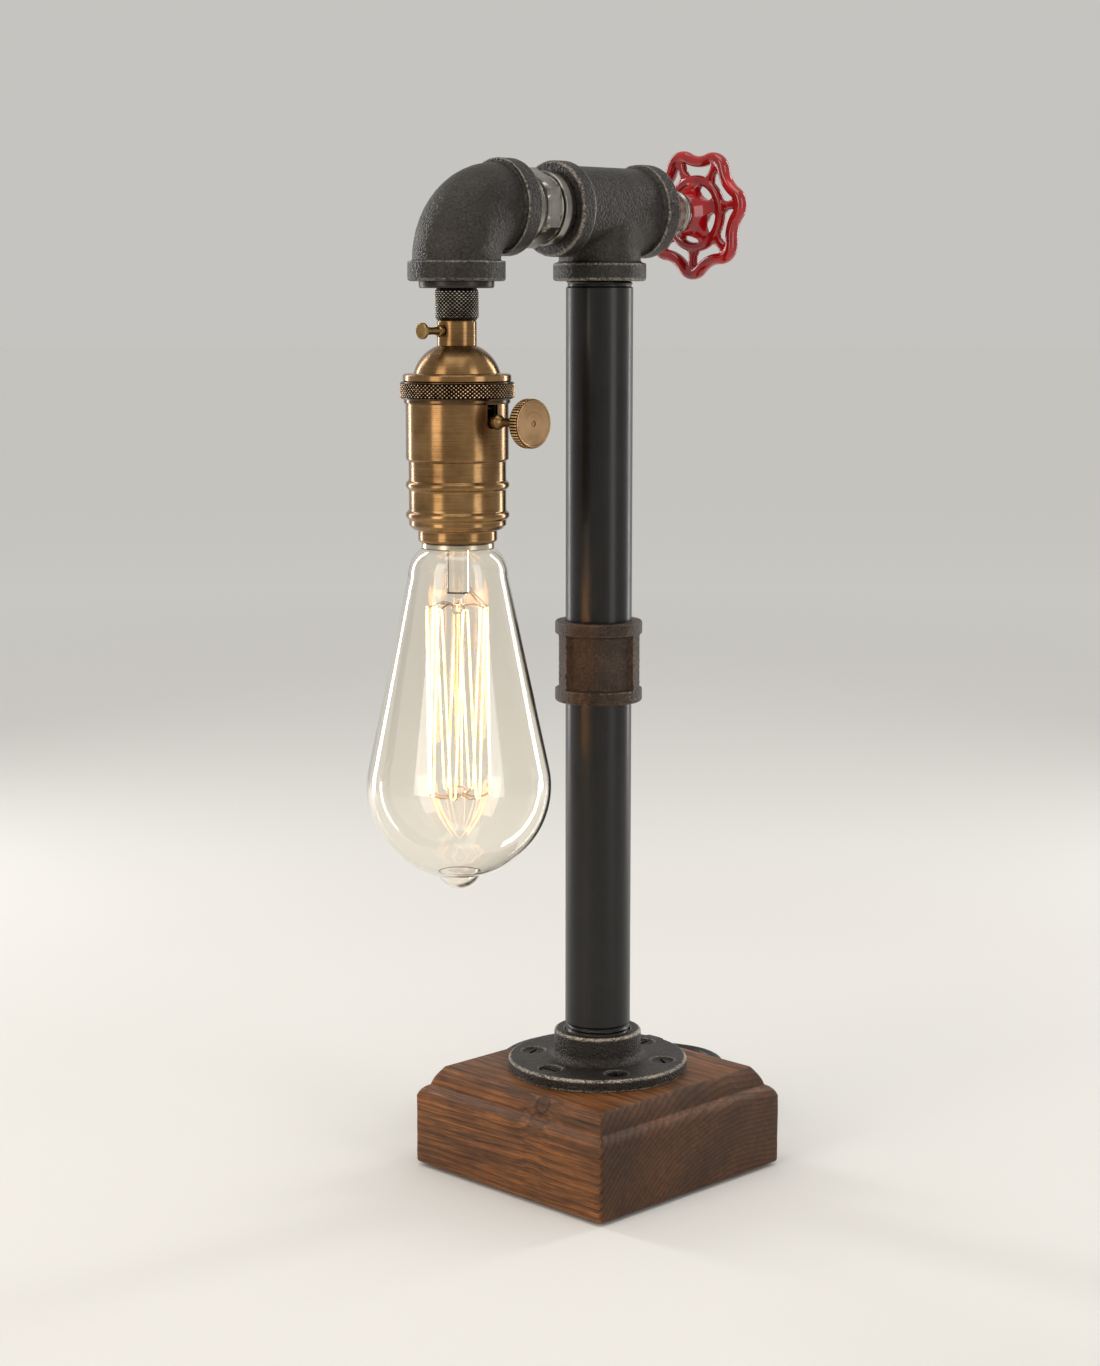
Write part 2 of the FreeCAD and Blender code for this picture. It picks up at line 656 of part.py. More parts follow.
def base_block():
    """Square block with a bead and cove moulding, bored and channelled for the cable."""
    body = new_body("base_block")
    half, low, top = size.base_side / 2, size.felt_thickness, size.base_height
    profile = [
        (-half, low), (half, low), (half, size.base_edge_height),
        Bend(size.bead_radius, LEFT), (half - size.bead_inset, size.bead_height),
        Bend(size.cove_radius, RIGHT), (half - size.panel_inset, top),
        (size.panel_inset - half, top),
        Bend(size.cove_radius, RIGHT), (size.bead_inset - half, size.bead_height),
        Bend(size.bead_radius, LEFT), (-half, size.base_edge_height),
    ]
    raise_profile(body, lambda s: draw_outline(s, profile), size.base_side, "XZ_Plane", both_ways=True)
    outside = half + 5
    for side in (1, -1):
        waste = [
            (side * outside, size.base_edge_height), (side * half, size.base_edge_height),
            Bend(size.bead_radius, LEFT if side > 0 else RIGHT),
            (side * (half - size.bead_inset), size.bead_height),
            Bend(size.cove_radius, RIGHT if side > 0 else LEFT),
            (side * (half - size.panel_inset), top), (side * (half - size.panel_inset), top + 5),
            (side * outside, top + 5),
        ]
        raise_profile(
            body, lambda s, w=waste: draw_outline(s, w), size.base_side * 1.2, "YZ_Plane",
            cut=True, both_ways=True,
        )

    def corners(sketch):
        wide = outside
        draw_outline(sketch, rectangle(-wide, wide, -wide, wide))
        draw_outline(sketch, round_rectangle(size.base_side, size.base_side, size.base_corner_radius))

    raise_profile(body, corners, top, cut=True, back=True)
    bore = size.cable_bore_diameter / 2
    raise_profile(body, lambda s: draw_circle(s, bore), top * 2, cut=True, both_ways=True)
    channel_end = half - size.channel_wall
    channel = rectangle(0, channel_end, -(size.channel_width / 2), size.channel_width / 2)
    raise_profile(body, lambda s: draw_outline(s, channel), size.channel_height, cut=True, back=True)
    gland_hole = size.gland_barrel_diameter / 2 + size.pilot_clearance
    raise_profile(
        body, lambda s: draw_circle(s, gland_hole, 0, size.cable_height), size.channel_wall + 4,
        "YZ_Plane", channel_end - 1, cut=True, back=True,
    )
    pilot_foot = top + size.flange_thickness - size.screw_recess - size.screw_length - 1
    pilot = turn_profile(
        body,
        rectangle(
            size.flange_bolt_circle / 2,
            size.flange_bolt_circle / 2 + size.screw_diameter / 2 + size.pilot_clearance,
            pilot_foot, top + 5,
        ),
        cut=True, off_axis=size.flange_bolt_circle / 2,
    )
    repeat_round(body, [pilot], size.flange_holes)
    return place(body)


def base_felt():
    """Felt sheet that closes the cable channel and rests on the table."""
    body = new_body("base_felt")
    side = size.base_side - size.felt_inset * 2
    outline = round_rectangle(side, side, size.base_corner_radius)
    raise_profile(body, lambda s: draw_outline(s, outline), size.felt_thickness)
    return place(body)


# ---------------------------------------------------------------- flange, riser and coupling

def floor_flange():
    """Round plate with a threaded hub and countersunk screw holes."""
    body = new_body("floor_flange")
    plate, hub = size.flange_diameter / 2, size.flange_hub_diameter / 2
    fillet, soft = size.flange_fillet, size.band_edge
    turn_profile(body, [
        (thread_radius, 0), (plate, 0), (plate, size.flange_thickness - soft),
        (plate - soft, size.flange_thickness), (hub + fillet, size.flange_thickness),
        Bend(fillet, RIGHT), (hub, size.flange_thickness + fillet),
        (hub, size.flange_height - soft), (hub - soft, size.flange_height),
        (thread_radius, size.flange_height),
    ])
    centre = size.flange_bolt_circle / 2
    hole, mouth = size.flange_hole_diameter / 2, size.countersink_diameter / 2
    top = size.flange_thickness
    cone_foot = top - (mouth - hole)
    screw_hole = turn_profile(body, [
        (centre, -1), (centre + hole, -1), (centre + hole, cone_foot), (centre + mouth, top),
        (centre + mouth, top + 1), (centre, top + 1),
    ], cut=True, off_axis=centre)
    repeat_round(body, [screw_hole], size.flange_holes)
    return place(body, (0, 0, size.base_height))


def flange_screws():
    """Countersunk slotted wood screws through the flange."""
    body = new_body("flange_screws")
    centre, shank = size.flange_bolt_circle / 2, size.screw_diameter / 2
    top = size.flange_thickness - size.screw_recess
    head = size.countersink_diameter / 2 - size.screw_recess - size.screw_play
    point = top - size.screw_length
    one = turn_profile(body, [
        (centre, point), (centre + shank, point + shank * 1.6),
        (centre + shank, top - (head - shank)), (centre + head, top), (centre, top),
    ], off_axis=centre)
    slot = raise_profile(
        body,
        lambda s: draw_outline(s, rectangle(
            centre - size.slot_width / 2, centre + size.slot_width / 2, -head, head)),
        size.slot_depth, start=top, cut=True,
    )
    repeat_round(body, [one, slot], size.flange_holes)
    return place(body, (0, 0, size.base_height))


def pipe(name, start, length):
    """Threaded pipe nipple, its threads drawn plain."""
    outer, inner, edge = pipe_radius, pipe_bore_radius, size.pipe_edge
    return turned_piece(name, [
        (inner, 0), (outer - edge, 0), (outer, edge), (outer, length - edge),
        (outer - edge, length), (inner, length),
    ], (0, 0, start))


def pipe_coupling():
    """Malleable iron coupling with end bands and ribs between them."""
    body = new_body("pipe_coupling")
    half, wide = size.coupling_height / 2, size.coupling_band_width
    core, band, soft = size.coupling_diameter / 2, size.coupling_band_diameter / 2, size.band_edge
    turn_profile(body, [
        (thread_radius, -half), (band - soft, -half), (band, soft - half), (band, wide - half),
        (core, wide - half + soft), (core, half - wide - soft), (band, half - wide),
        (band, half - soft), (band - soft, half), (thread_radius, half),
    ])
    width = size.coupling_rib_width / 2
    rib = raise_profile(
        body,
        lambda s: draw_outline(s, rectangle(core - 1, size.coupling_rib_diameter / 2, -width, width)),
        size.coupling_height - wide, both_ways=True,
    )
    repeat_round(body, [rib], size.coupling_ribs)
    return place(body, (0, 0, coupling_middle), Rotation(Vector(0, 0, 1), size.coupling_rib_angle.value))


def riser_cable():
    """Cable from the gland, through the base and up the riser to the tee."""
    outlet = (size.base_side / 2 + size.gland_head_length).value
    level = size.cable_height.value
    points = [Vector(outlet, 0, level), Vector(0, 0, level), Vector(0, 0, upper_pipe_end.value)]
    return finished_shape("riser_cable", tube_solid(points, size.cable_diameter.value, size.cable_bend.value)[0])


# ---------------------------------------------------------------- tee, nipple and valve

def band_profile(reach, width):
    """Outside of a fitting's mouth, from its middle to its face, as (radius, distance)."""
    core, band, soft = size.fitting_diameter / 2, size.band_diameter / 2, size.band_edge
    return [(core, reach - width - soft), (band, reach - width), (band, reach - soft), (band - soft, reach)]


def swapped(points):
    """The same outline with its two directions exchanged."""
    return [(up, across) for across, up in points]


def mirrored(points):
    """An outline mirrored in the upright axis, in the opposite order."""
    return [(-across, up) for across, up in reversed(points)]


def pipe_tee():
    """Cast tee: a run along X and a branch that points down, all three mouths threaded."""
    body = new_body("pipe_tee")
    reach, mouth = size.tee_reach, band_profile(size.tee_reach, size.tee_band_width)
    right = swapped(mouth)
    turn_profile(body, [(-reach, 0), (reach, 0)] + right[::-1] + mirrored(right[::-1]), "H_Axis")
    branch = size.tee_branch_diameter / 2
    mouth[0] = (branch, mouth[0][1])
    turn_profile(body, [(0, 0), (0, -reach)] + [(r, -up) for r, up in mouth[::-1]] + [(branch, 0)])
    fillet_edges(body, size.tee_fillet, lambda edge: not isinstance(edge.Curve, (Part.Circle, Part.Line)))
    bore, deep = size.fitting_bore / 2, size.tee_reach - size.tee_socket_depth
    run = [
        (-reach - 1, 0), (reach + 1, 0), (reach + 1, thread_radius), (deep, thread_radius), (deep, bore),
        (-deep, bore), (-deep, thread_radius), (-reach - 1, thread_radius),
    ]
    turn_profile(body, run, "H_Axis", cut=True)
    branch = [(0, 0), (0, -reach - 1), (thread_radius, -reach - 1), (thread_radius, -deep), (bore, -deep),
              (bore, 0)]
    turn_profile(body, branch, cut=True)
    return place(body, (0, 0, arm_height))


def hex_nipple():
    """Nickel-plated nipple with a collar, a hexagon and a ring between its two threads."""
    body = new_body("hex_nipple")
    bore, neck, thread = size.nipple_bore / 2, size.nipple_neck_diameter / 2, pipe_radius
    collar, bright = size.nipple_collar_diameter / 2, size.nipple_ring_diameter / 2
    collar_end, groove, soft = size.nipple_collar_width, size.nipple_groove, size.band_edge
    hex_start = collar_end + groove
    hex_end = hex_start + size.nipple_hex_width
    ring_start = hex_end + groove
    ring_end = ring_start + size.nipple_ring_width
    gap, end = size.nipple_gap, size.nipple_gap + size.nipple_elbow_grip
    turn_profile(body, [
        (bore, -size.nipple_tee_grip), (thread, -size.nipple_tee_grip), (thread, 0), (collar - soft, 0),
        (collar, soft), (collar, collar_end - soft), (collar - soft, collar_end), (neck, collar_end),
        (neck, ring_start), (bright - soft * 2, ring_start),
        Bend(size.nipple_ring_width / 1.6, LEFT), (bright - soft * 2, ring_end), (neck, ring_end),
        (neck, gap), (thread, gap), (thread, end), (bore, end),
    ])

    def hexagonal_ring(sketch):
        draw_outline(sketch, hexagon(size.nipple_hex_flats))
        draw_circle(sketch, neck - 1)

    raise_profile(body, hexagonal_ring, size.nipple_hex_width, start=hex_start)
    return place(body, (-size.tee_reach, 0, arm_height), TO_LEFT)


def valve_bonnet():
    """Plug in the tee's end that carries the valve stem and holds its packing."""
    body = new_body("valve_bonnet")
    flange, thread = size.bonnet_flange_diameter / 2, pipe_radius
    hole, chamber = size.stem_diameter / 2 + size.stem_play, size.packing_chamber_diameter / 2
    nut_thread, width = size.packing_nut_waist / 2 - 1, size.bonnet_flange_width
    end = width + size.packing_nut_length - size.packing_nut_step
    turn_profile(body, [
        (hole, -size.bonnet_grip), (thread, -size.bonnet_grip), (thread, -0.4), (flange, 0),
        (flange, width), (nut_thread, width), (nut_thread, end), (chamber, end),
        (chamber, end - size.packing_chamber_depth), (hole, end - size.packing_chamber_depth),
    ])
    return place(body, (size.tee_reach, 0, arm_height), TO_RIGHT)


def gland_packing():
    """Packing ring pressed round the valve stem."""
    start = size.bonnet_flange_width + size.packing_nut_length - size.packing_nut_step
    start = start - size.packing_chamber_depth
    return turned_piece(
        "gland_packing",
        ring(size.stem_diameter / 2 + size.stem_play, size.packing_chamber_diameter / 2 - size.fit_gap,
             start, start + size.packing_length),
        (size.tee_reach, 0, arm_height), TO_RIGHT,
    )


def packing_nut():
    """Nickel-plated cap nut with a rounded ring at each end."""
    outer, waist, step = size.packing_nut_diameter / 2, size.packing_nut_waist / 2, size.packing_nut_step
    hole, inner = size.stem_diameter / 2 + size.stem_play, size.packing_nut_waist / 2 - 1 + size.fit_gap
    length, soft = size.packing_nut_length, size.band_edge
    bead = Bend(step * 0.62, LEFT)
    return turned_piece("packing_nut", [
        (inner, 0), (outer - soft, 0), bead, (outer - soft, step), (waist, step), (waist, length - step),
        (outer - soft, length - step), bead, (outer - soft, length), (hole, length),
        (hole, length - step), (inner, length - step),
    ], (size.tee_reach + size.bonnet_flange_width, 0, arm_height), TO_RIGHT)


wheel_x = size.tee_reach + size.bonnet_flange_width + size.packing_nut_length + size.wheel_gap


def wheel_stem():
    """Valve stem: a collar inside the tee, a plain shank and the seat of the wheel."""
    shank, collar = size.stem_diameter / 2, size.stem_collar_diameter / 2
    start, shoulder = -size.stem_reach, -size.bonnet_grip - 0.5
    end = (size.bonnet_flange_width + size.packing_nut_length + size.wheel_gap + size.wheel_hub_length
           + size.wheel_washer_thickness + size.wheel_nut_height + size.stem_tail)
    return turned_piece("wheel_stem", [
        (0, start), (shank, start), (shank, shoulder - size.stem_collar_width),
        (collar, shoulder - size.stem_collar_width), (collar, shoulder), (shank, shoulder),
        (shank, end - 0.6), (shank - 0.6, end), (0, end),
    ], (size.tee_reach, 0, arm_height), TO_RIGHT)


def lobed_path(lobe_reach, valley_reach, lobe_radius, count, start_angle):
    """A closed line of tangent arcs that swells to a lobe and sinks to a valley, about the Z axis."""
    step = math.pi / count
    lobe_centre = lobe_reach - lobe_radius
    across = lobe_centre * math.cos(step)
    valley_radius = (
        (lobe_centre ** 2 + valley_reach ** 2 - 2 * valley_reach * across - lobe_radius ** 2)
        / (2 * lobe_radius - 2 * valley_reach + 2 * across)
    )

    def polar(reach, angle):
        return Vector(reach * math.cos(angle), reach * math.sin(angle), 0)

    edges = []
    for index in range(count):
        middle = start_angle + 2 * step * index
        lobe = polar(lobe_centre, middle)
        valleys = [polar(valley_reach + valley_radius, middle + side * step) for side in (-1, 1)]
        starts = [lobe + (valley - lobe).normalize() * lobe_radius for valley in valleys]
        edges.append(Part.Arc(starts[0], polar(lobe_reach, middle), starts[1]).toShape())
        following = polar(lobe_centre, middle + 2 * step)
        landing = following + (valleys[1] - following).normalize() * lobe_radius
        edges.append(Part.Arc(starts[1], polar(valley_reach, middle + step), landing).toShape())
    return Part.Wire(edges)


def rod_between(start, end, diameter):
    """A plain round rod from point to point."""
    along = end - start
    return Part.makeCylinder(diameter / 2, along.Length, start, along)


def handwheel():
    """Cast wheel: a lobed rim, an inner ring, webs between them and dished spokes to the hub."""
    rim_radius = size.wheel_rim_thickness.value / 2
    lobe_reach = size.wheel_diameter.value / 2 - rim_radius
    valley_reach = lobe_reach - size.wheel_lobe_depth.value
    lobe_radius = size.wheel_lobe_radius.value - rim_radius
    lobes, plane = int(size.wheel_lobes.value), size.wheel_plane.value
    first = math.radians(size.wheel_lobe_angle.value)
    path = lobed_path(lobe_reach, valley_reach, lobe_radius, lobes, first)
    start = path.Edges[0].Vertexes[0].Point
    heading = path.Edges[0].tangentAt(path.Edges[0].FirstParameter)
    section = Part.Wire([Part.makeCircle(rim_radius, start, heading)])
    rim = path.makePipeShell([section], True, False)
    rim.translate(Vector(0, 0, plane))
    ring_reach, ring_radius = size.wheel_ring_diameter.value / 2, size.wheel_ring_thickness.value / 2
    inner_ring = Part.makeTorus(ring_reach, ring_radius, Vector(0, 0, plane))
    hub_radius, hub_length = size.wheel_hub_diameter.value / 2, size.wheel_hub_length.value
    hub = Part.makeCylinder(hub_radius, hub_length)
    pieces = [inner_ring, hub]
    for index in range(lobes):
        angle = first + 2 * math.pi * index / lobes
        outward = Vector(math.cos(angle), math.sin(angle), 0)
        root_point, tip = outward * ring_reach, outward * lobe_reach
        lift = Vector(0, 0, plane)
        pieces.append(rod_between(root_point + lift, tip + lift, size.wheel_web_thickness.value))
    spokes, thick = int(size.wheel_spokes.value), size.wheel_spoke_thickness.value
    width, slope_start = size.wheel_spoke_width.value, hub_length / 2
    for index in range(spokes):
        side = [Vector(hub_radius * 0.6, -width / 2, slope_start - thick / 2)]
        side.append(Vector(ring_reach, -width / 2, plane - thick / 2))
        side += [side[1] + Vector(0, 0, thick), side[0] + Vector(0, 0, thick)]
        spoke = Part.Face(Part.makePolygon(side + side[:1])).extrude(Vector(0, width, 0))
        spoke.rotate(Vector(), Vector(0, 0, 1), math.degrees(first) + 360 / spokes * (index + 0.5))
        pieces.append(spoke)
    bore = (size.stem_diameter / 2 + size.fit_gap).value
    hole = Part.makeCylinder(bore, hub_length * 3, Vector(0, 0, -hub_length))
    wheel = rim.multiFuse(pieces).cut(hole).removeSplitter()
    piece = finished_shape("handwheel", wheel.Solids[0])
    piece.Placement = Placement(Vector(wheel_x.value, 0, arm_height.value), TO_RIGHT)
    return piece


def wheel_washer():
    """Plain washer under the wheel nut."""
    return turned_piece(
        "wheel_washer",
        ring(size.stem_diameter / 2 + size.fit_gap, size.wheel_washer_diameter / 2, 0,
             size.wheel_washer_thickness),
        (wheel_x + size.wheel_hub_length, 0, arm_height), TO_RIGHT,
    )


def wheel_nut():
    """Hexagon nut that keeps the wheel on its stem."""
    body = new_body("wheel_nut")

    def hexagonal_ring(sketch):
        draw_outline(sketch, hexagon(size.wheel_nut_flats))
        draw_circle(sketch, size.stem_diameter / 2 + size.thread_play)

    raise_profile(body, hexagonal_ring, size.wheel_nut_height)
    seat = wheel_x + size.wheel_hub_length + size.wheel_washer_thickness
    return place(body, (seat, 0, arm_height), TO_RIGHT)


def arm_cable():
    """Cable from the riser's top, through the tee and the nipple to the elbow's face."""
    level, face = arm_height.value, -(size.tee_reach + size.nipple_gap).value
    points = [Vector(0, 0, upper_pipe_end.value), Vector(0, 0, level), Vector(face, 0, level)]
    tube = tube_solid(points, size.cable_diameter.value, size.tee_cable_bend.value)[0]
    return finished_shape("arm_cable", tube)


# ---------------------------------------------------------------- elbow and what hangs from it

def quarter_bend(body, radius, cut=False):
    """A quarter of a round bend, from the downward mouth to the mouth that faces +X."""
    sketch = new_sketch(body, "XY_Plane", -size.elbow_bend)
    draw_circle(sketch, radius)
    draw_axis(sketch, size.elbow_bend)
    feature = body.newObject("PartDesign::Groove" if cut else "PartDesign::Revolution", "elbow_quarter")
    feature.Profile = sketch
    feature.ReferenceAxis = (sketch, ["Axis0"])
    feature.Angle = 90
    return feature


def pipe_elbow():
    """Cast ninety-degree elbow, one mouth towards the nipple and one down."""
    body = new_body("pipe_elbow")
    bend, reach = size.elbow_bend, size.elbow_reach
    mouth = band_profile(reach, size.elbow_band_width)
    mouth = [(size.fitting_diameter / 2, bend)] + mouth[1:]
    quarter_bend(body, size.fitting_diameter / 2)
    turn_profile(body, [(0, -bend)] + [(r, -up) for r, up in mouth] + [(0, -reach)])
    turn_profile(body, [(bend, 0)] + swapped(mouth) + [(reach, 0)], "H_Axis")
    quarter_bend(body, size.fitting_bore / 2, cut=True)
    bore, deep = size.fitting_bore / 2, reach - size.elbow_socket_depth
    thread = [(0, deep), (thread_radius, deep), (thread_radius, reach + 1), (0, reach + 1)]
    turn_profile(body, [(r, -up) for r, up in thread], cut=True)
    turn_profile(body, swapped(thread), "H_Axis", cut=True)
    straight = [(0, bend - 0.01), (bore, bend - 0.01), (bore, reach), (0, reach)]
    turn_profile(body, [(r, -up) for r, up in straight], cut=True)
    turn_profile(body, swapped(straight), "H_Axis", cut=True)
    return place(body, (socket_x, 0, arm_height))


def reducing_bushing():
    """Bushing from the elbow's thread down to the threaded tube."""
    flange, hole = size.bushing_flange_diameter / 2, size.tube_diameter / 2 + size.thread_play
    height, grip, soft = size.bushing_flange_height, size.bushing_grip, size.band_edge
    return turned_piece("reducing_bushing", [
        (hole, -height), (flange - soft, -height), (flange, soft - height), (flange, 0),
        (pipe_radius, 0), (pipe_radius, grip), (hole, grip),
    ], (socket_x, 0, bushing_top))


def threaded_tube():
    """Hollow threaded tube that joins the bushing, the coupler and the socket's neck."""
    top = bushing_top + size.tube_grip
    foot = cap_top - size.tube_tail
    return turned_piece("threaded_tube", ring(size.tube_bore / 2, size.tube_diameter / 2, 0, top - foot),
                        (socket_x, 0, foot))


def knurled_coupler():
    """Knurled sleeve on the threaded tube."""
    outer, hole = size.coupler_diameter / 2, size.tube_diameter / 2 + size.thread_play
    height, edge = size.coupler_height, size.coupler_edge
    return turned_piece("knurled_coupler", [
        (hole, 0), (outer - edge, 0), (outer, edge), (outer, height - edge), (outer - edge, height),
        (hole, height),
    ], (socket_x, 0, neck_top))


def socket_neck():
    """Brass neck of the socket, tapped from the side for the thumbscrew."""
    body = new_body("socket_neck")
    bore = size.tube_diameter / 2 + size.thread_play
    turn_profile(body, ring(bore, size.neck_diameter / 2, 0, size.neck_height))
    hole = size.thumb_screw_diameter / 2 + size.thread_play
    level = size.neck_height - size.thumb_screw_drop
    raise_profile(body, lambda s: draw_circle(s, hole, 0, level), size.neck_diameter, "YZ_Plane", cut=True)
    return place(body, (socket_x, 0, cap_top))


def thumb_screw():
    """Brass-headed thumbscrew that locks the neck on the threaded tube."""
    tip, reach = size.tube_diameter / 2 + 0.1, size.thumb_screw_reach
    shank, collar = size.thumb_screw_diameter / 2, size.thumb_screw_collar_diameter / 2
    head, width, soft = size.thumb_screw_head_diameter / 2, size.thumb_screw_head_width, size.ring_edge / 2
    face = size.neck_diameter / 2 + 0.3
    return turned_piece("thumb_screw", [
        (0, tip), (shank, tip), (shank, face), (collar, face), (collar, face + 1.8), (shank, face + 1.8),
        (shank, reach - width), (head - soft, reach - width), (head, reach - width + soft),
        (head, reach - soft), (head - soft, reach), (0, reach),
    ], (socket_x, 0, neck_top - size.thumb_screw_drop), TO_LEFT)


def socket_cap():
    """Spun brass cap: a dome with a rim that the ring clamps."""
    wall, neck, dome = size.sheet_brass, size.neck_diameter / 2, size.cap_dome_diameter / 2
    rim, rim_height, height = size.cap_rim_diameter / 2, size.cap_rim_height, size.cap_height
    foot = height - size.cap_dome_height
    tube, round_out = size.tube_diameter / 2 + size.thread_play, size.cap_dome_radius
    soft = size.ring_edge / 2
    return turned_piece("socket_cap", [
        (tube, height), (tube, height - wall * 2), (neck - wall, height - wall * 2),
        Bend(round_out - wall, RIGHT), (dome - wall, foot), (dome - wall, 0), (rim - soft, 0),
        (rim, soft), (rim, rim_height - soft), (rim - soft, rim_height), (dome + 0.6, rim_height),
        (dome, rim_height + 0.3), (dome, foot), Bend(round_out, LEFT), (neck + 0.2, height),
    ], (socket_x, 0, shell_top))


def union_ring():
    """Knurled ring that screws the shell to the cap, with a lip below its band."""
    band, lip = size.ring_diameter / 2, size.ring_lip_diameter / 2
    hole, edge = size.shell_diameter / 2 + size.fit_gap, size.ring_edge
    top, low = 0, -size.ring_height
    foot = low - size.ring_lip_height
    return turned_piece("union_ring", [
        (hole, foot), (lip, foot), (lip, low), (band - edge, low), (band, low + edge),
        (band, top - edge), (band - edge, top), (hole, top),
    ], (socket_x, 0, shell_top))


def shell_outline():
    """Outside of the shell from its top to its mouth, as (radius, height)."""
    upper, waist = size.shell_diameter / 2, size.shell_waist_diameter / 2
    foot = size.shell_foot_diameter / 2
    outline = [(upper, 0), (upper, -size.shell_waist_drop), (waist, -size.shell_waist_drop - 0.8)]
    tall, proud = size.shell_bead_height / 2, size.shell_bead_diameter / 2 - waist
    round_out = (tall * tall + proud * proud) / (proud * 2)
    for index in range(2):
        middle = -size.shell_bead_drop - size.shell_bead_spacing * index
        outline += [(waist, middle + tall), Bend(round_out, RIGHT), (waist, middle - tall)]
    shoulder = size.shell_foot_height - size.shell_height
    outline += [(waist, shoulder + size.shell_foot_flare), (waist - size.shell_foot_flare, shoulder)]
    outline += [(foot, shoulder), (foot, -size.shell_height)]
    return outline


def socket_shell():
    """Spun brass shell with two beads, a mouth collar and a slot for the key."""
    body = new_body("socket_shell")
    wall, foot = size.sheet_brass, size.shell_foot_diameter / 2
    upper, waist = size.shell_diameter / 2 - wall, size.shell_waist_diameter / 2 - wall
    shoulder = size.shell_foot_height - size.shell_height
    inside = [
        (foot - wall, -size.shell_height), (foot - wall, shoulder + wall),
        (waist - size.shell_foot_flare, shoulder + wall), (waist, shoulder + wall + size.shell_foot_flare),
        (waist, -size.shell_waist_drop - 0.8 - wall), (upper, -size.shell_waist_drop), (upper, 0),
    ]
    turn_profile(body, shell_outline() + inside)
    half = size.key_slot_width / 2
    slot = [
        (-half, 1), (-half, -size.key_drop), Bend(half * 1.0001, LEFT), (half, -size.key_drop), (half, 1),
    ]
    raise_profile(body, lambda s: draw_outline(s, slot), size.shell_diameter, "XZ_Plane", cut=True, back=True)
    return place(body, (socket_x, 0, shell_top))


def insulating_liner():
    """Fibre sleeve inside the shell, slotted for the key."""
    body = new_body("insulating_liner")
    outer = size.shell_waist_diameter / 2 - size.sheet_brass - size.liner_gap
    low = size.shell_foot_height - size.shell_height + size.sheet_brass + size.shell_foot_flare - size.liner_gap
    turn_profile(body, ring(outer - size.liner_wall, outer, low, -size.sheet_brass))
    half = size.key_slot_width / 2 + 0.5
    slot = rectangle(-half, half, -size.key_drop - half, 1)
    raise_profile(body, lambda s: draw_outline(s, slot), size.shell_diameter, "XZ_Plane", cut=True, back=True)
    return place(body, (socket_x, 0, shell_top))


def socket_core():
    """Moulded insulating core that holds the switch, the screw shell and the terminals."""
    body = new_body("socket_core")
    turn_profile(body, disc(core_radius, 0, core_height))
    cam = size.cam_diameter / 2 + size.cam_play
    level = key_height - core_foot
    raise_profile(body, lambda s: draw_circle(s, cam, 0, level), core_radius + 1, "XZ_Plane", cut=True,
                  back=True)
    raise_profile(body, lambda s: draw_circle(s, cam, 0, level), size.cam_length / 2 + size.cam_play,
                  "XZ_Plane", cut=True)
    spread, hole = size.terminal_spread, size.terminal_diameter / 2 + size.fit_gap
    for side in (1, -1):
        raise_profile(
            body, lambda s, x=side * spread: draw_circle(s, hole, x, 0), size.terminal_depth + 0.5,
            start=core_height, cut=True,
        )
    leaf = rectangle(
        -(size.leaf_width / 2 + 0.1), size.leaf_width / 2 + 0.1,
        -(size.leaf_width / 2 + 0.1), size.leaf_width / 2 + 0.1,
    )
    raise_profile(body, lambda s: draw_outline(s, leaf), level + 1, cut=True, back=True)
    return place(body, (socket_x, 0, core_foot))


def screw_shell():
    """Brass shell that takes the lamp cap, its thread drawn plain."""
    bore, wall = size.screw_shell_bore / 2, size.screw_shell_wall
    height, flange = size.screw_shell_height, core_radius - 1
    return turned_piece("screw_shell", [
        (bore, -height), (bore + wall, -height), (bore + wall, -wall), (flange, -wall), (flange, 0),
        (bore, 0),
    ], (socket_x, 0, core_foot))


def centre_contact():
    """Centre contact under the core."""
    return turned_piece("centre_contact", disc(size.contact_diameter / 2, -size.contact_thickness, 0),
                        (socket_x, 0, core_foot))


def terminal_screws():
    """The two terminal screws on top of the core."""
    body = new_body("terminal_screws")
    spread, shank, head = size.terminal_spread, size.terminal_diameter / 2, size.terminal_head_diameter / 2
    deep, high = size.terminal_depth, size.terminal_head_height
    one = turn_profile(body, [
        (spread, -deep), (spread + shank, -deep), (spread + shank, 0), (spread + head, 0),
        (spread + head, high - 0.4), (spread + head - 0.4, high), (spread, high),
    ], off_axis=spread)
    slot = raise_profile(
        body,
        lambda s: draw_outline(s, rectangle(
            spread - size.slot_width / 3, spread + size.slot_width / 3, -head, head)),
        size.slot_depth, start=high, cut=True,
    )
    repeat_round(body, [one, slot], Size(2))
    return place(body, (socket_x, 0, core_top))


def switch_contact():
    """Spring leaf that the cam presses onto the centre contact's rivet."""
    level = key_height - core_foot - size.cam_diameter / 2 - size.cam_play * 2
    body = new_body("switch_contact")
    half, thick = size.leaf_width / 2, size.leaf_thickness
    profile = [
        (-half, 0), (thick - half, 0), (thick - half, level - thick), (half, level - thick), (half, level),
        (-half, level),
    ]
    raise_profile(body, lambda s: draw_outline(s, profile), size.leaf_width, "XZ_Plane", both_ways=True)
    return place(body, (socket_x, 0, core_foot))


def head_cable():
    """Cable from the elbow's face through the elbow and the threaded tube into the cap."""
    level, column = arm_height.value, socket_x.value
    face, foot = -(size.tee_reach + size.nipple_gap).value, (core_top + size.cable_end_gap).value
    points = [Vector(face, 0, level), Vector(column, 0, level), Vector(column, 0, foot)]
    tube = tube_solid(points, size.cable_diameter.value, size.cable_bend.value)[0]
    return finished_shape("head_cable", tube)


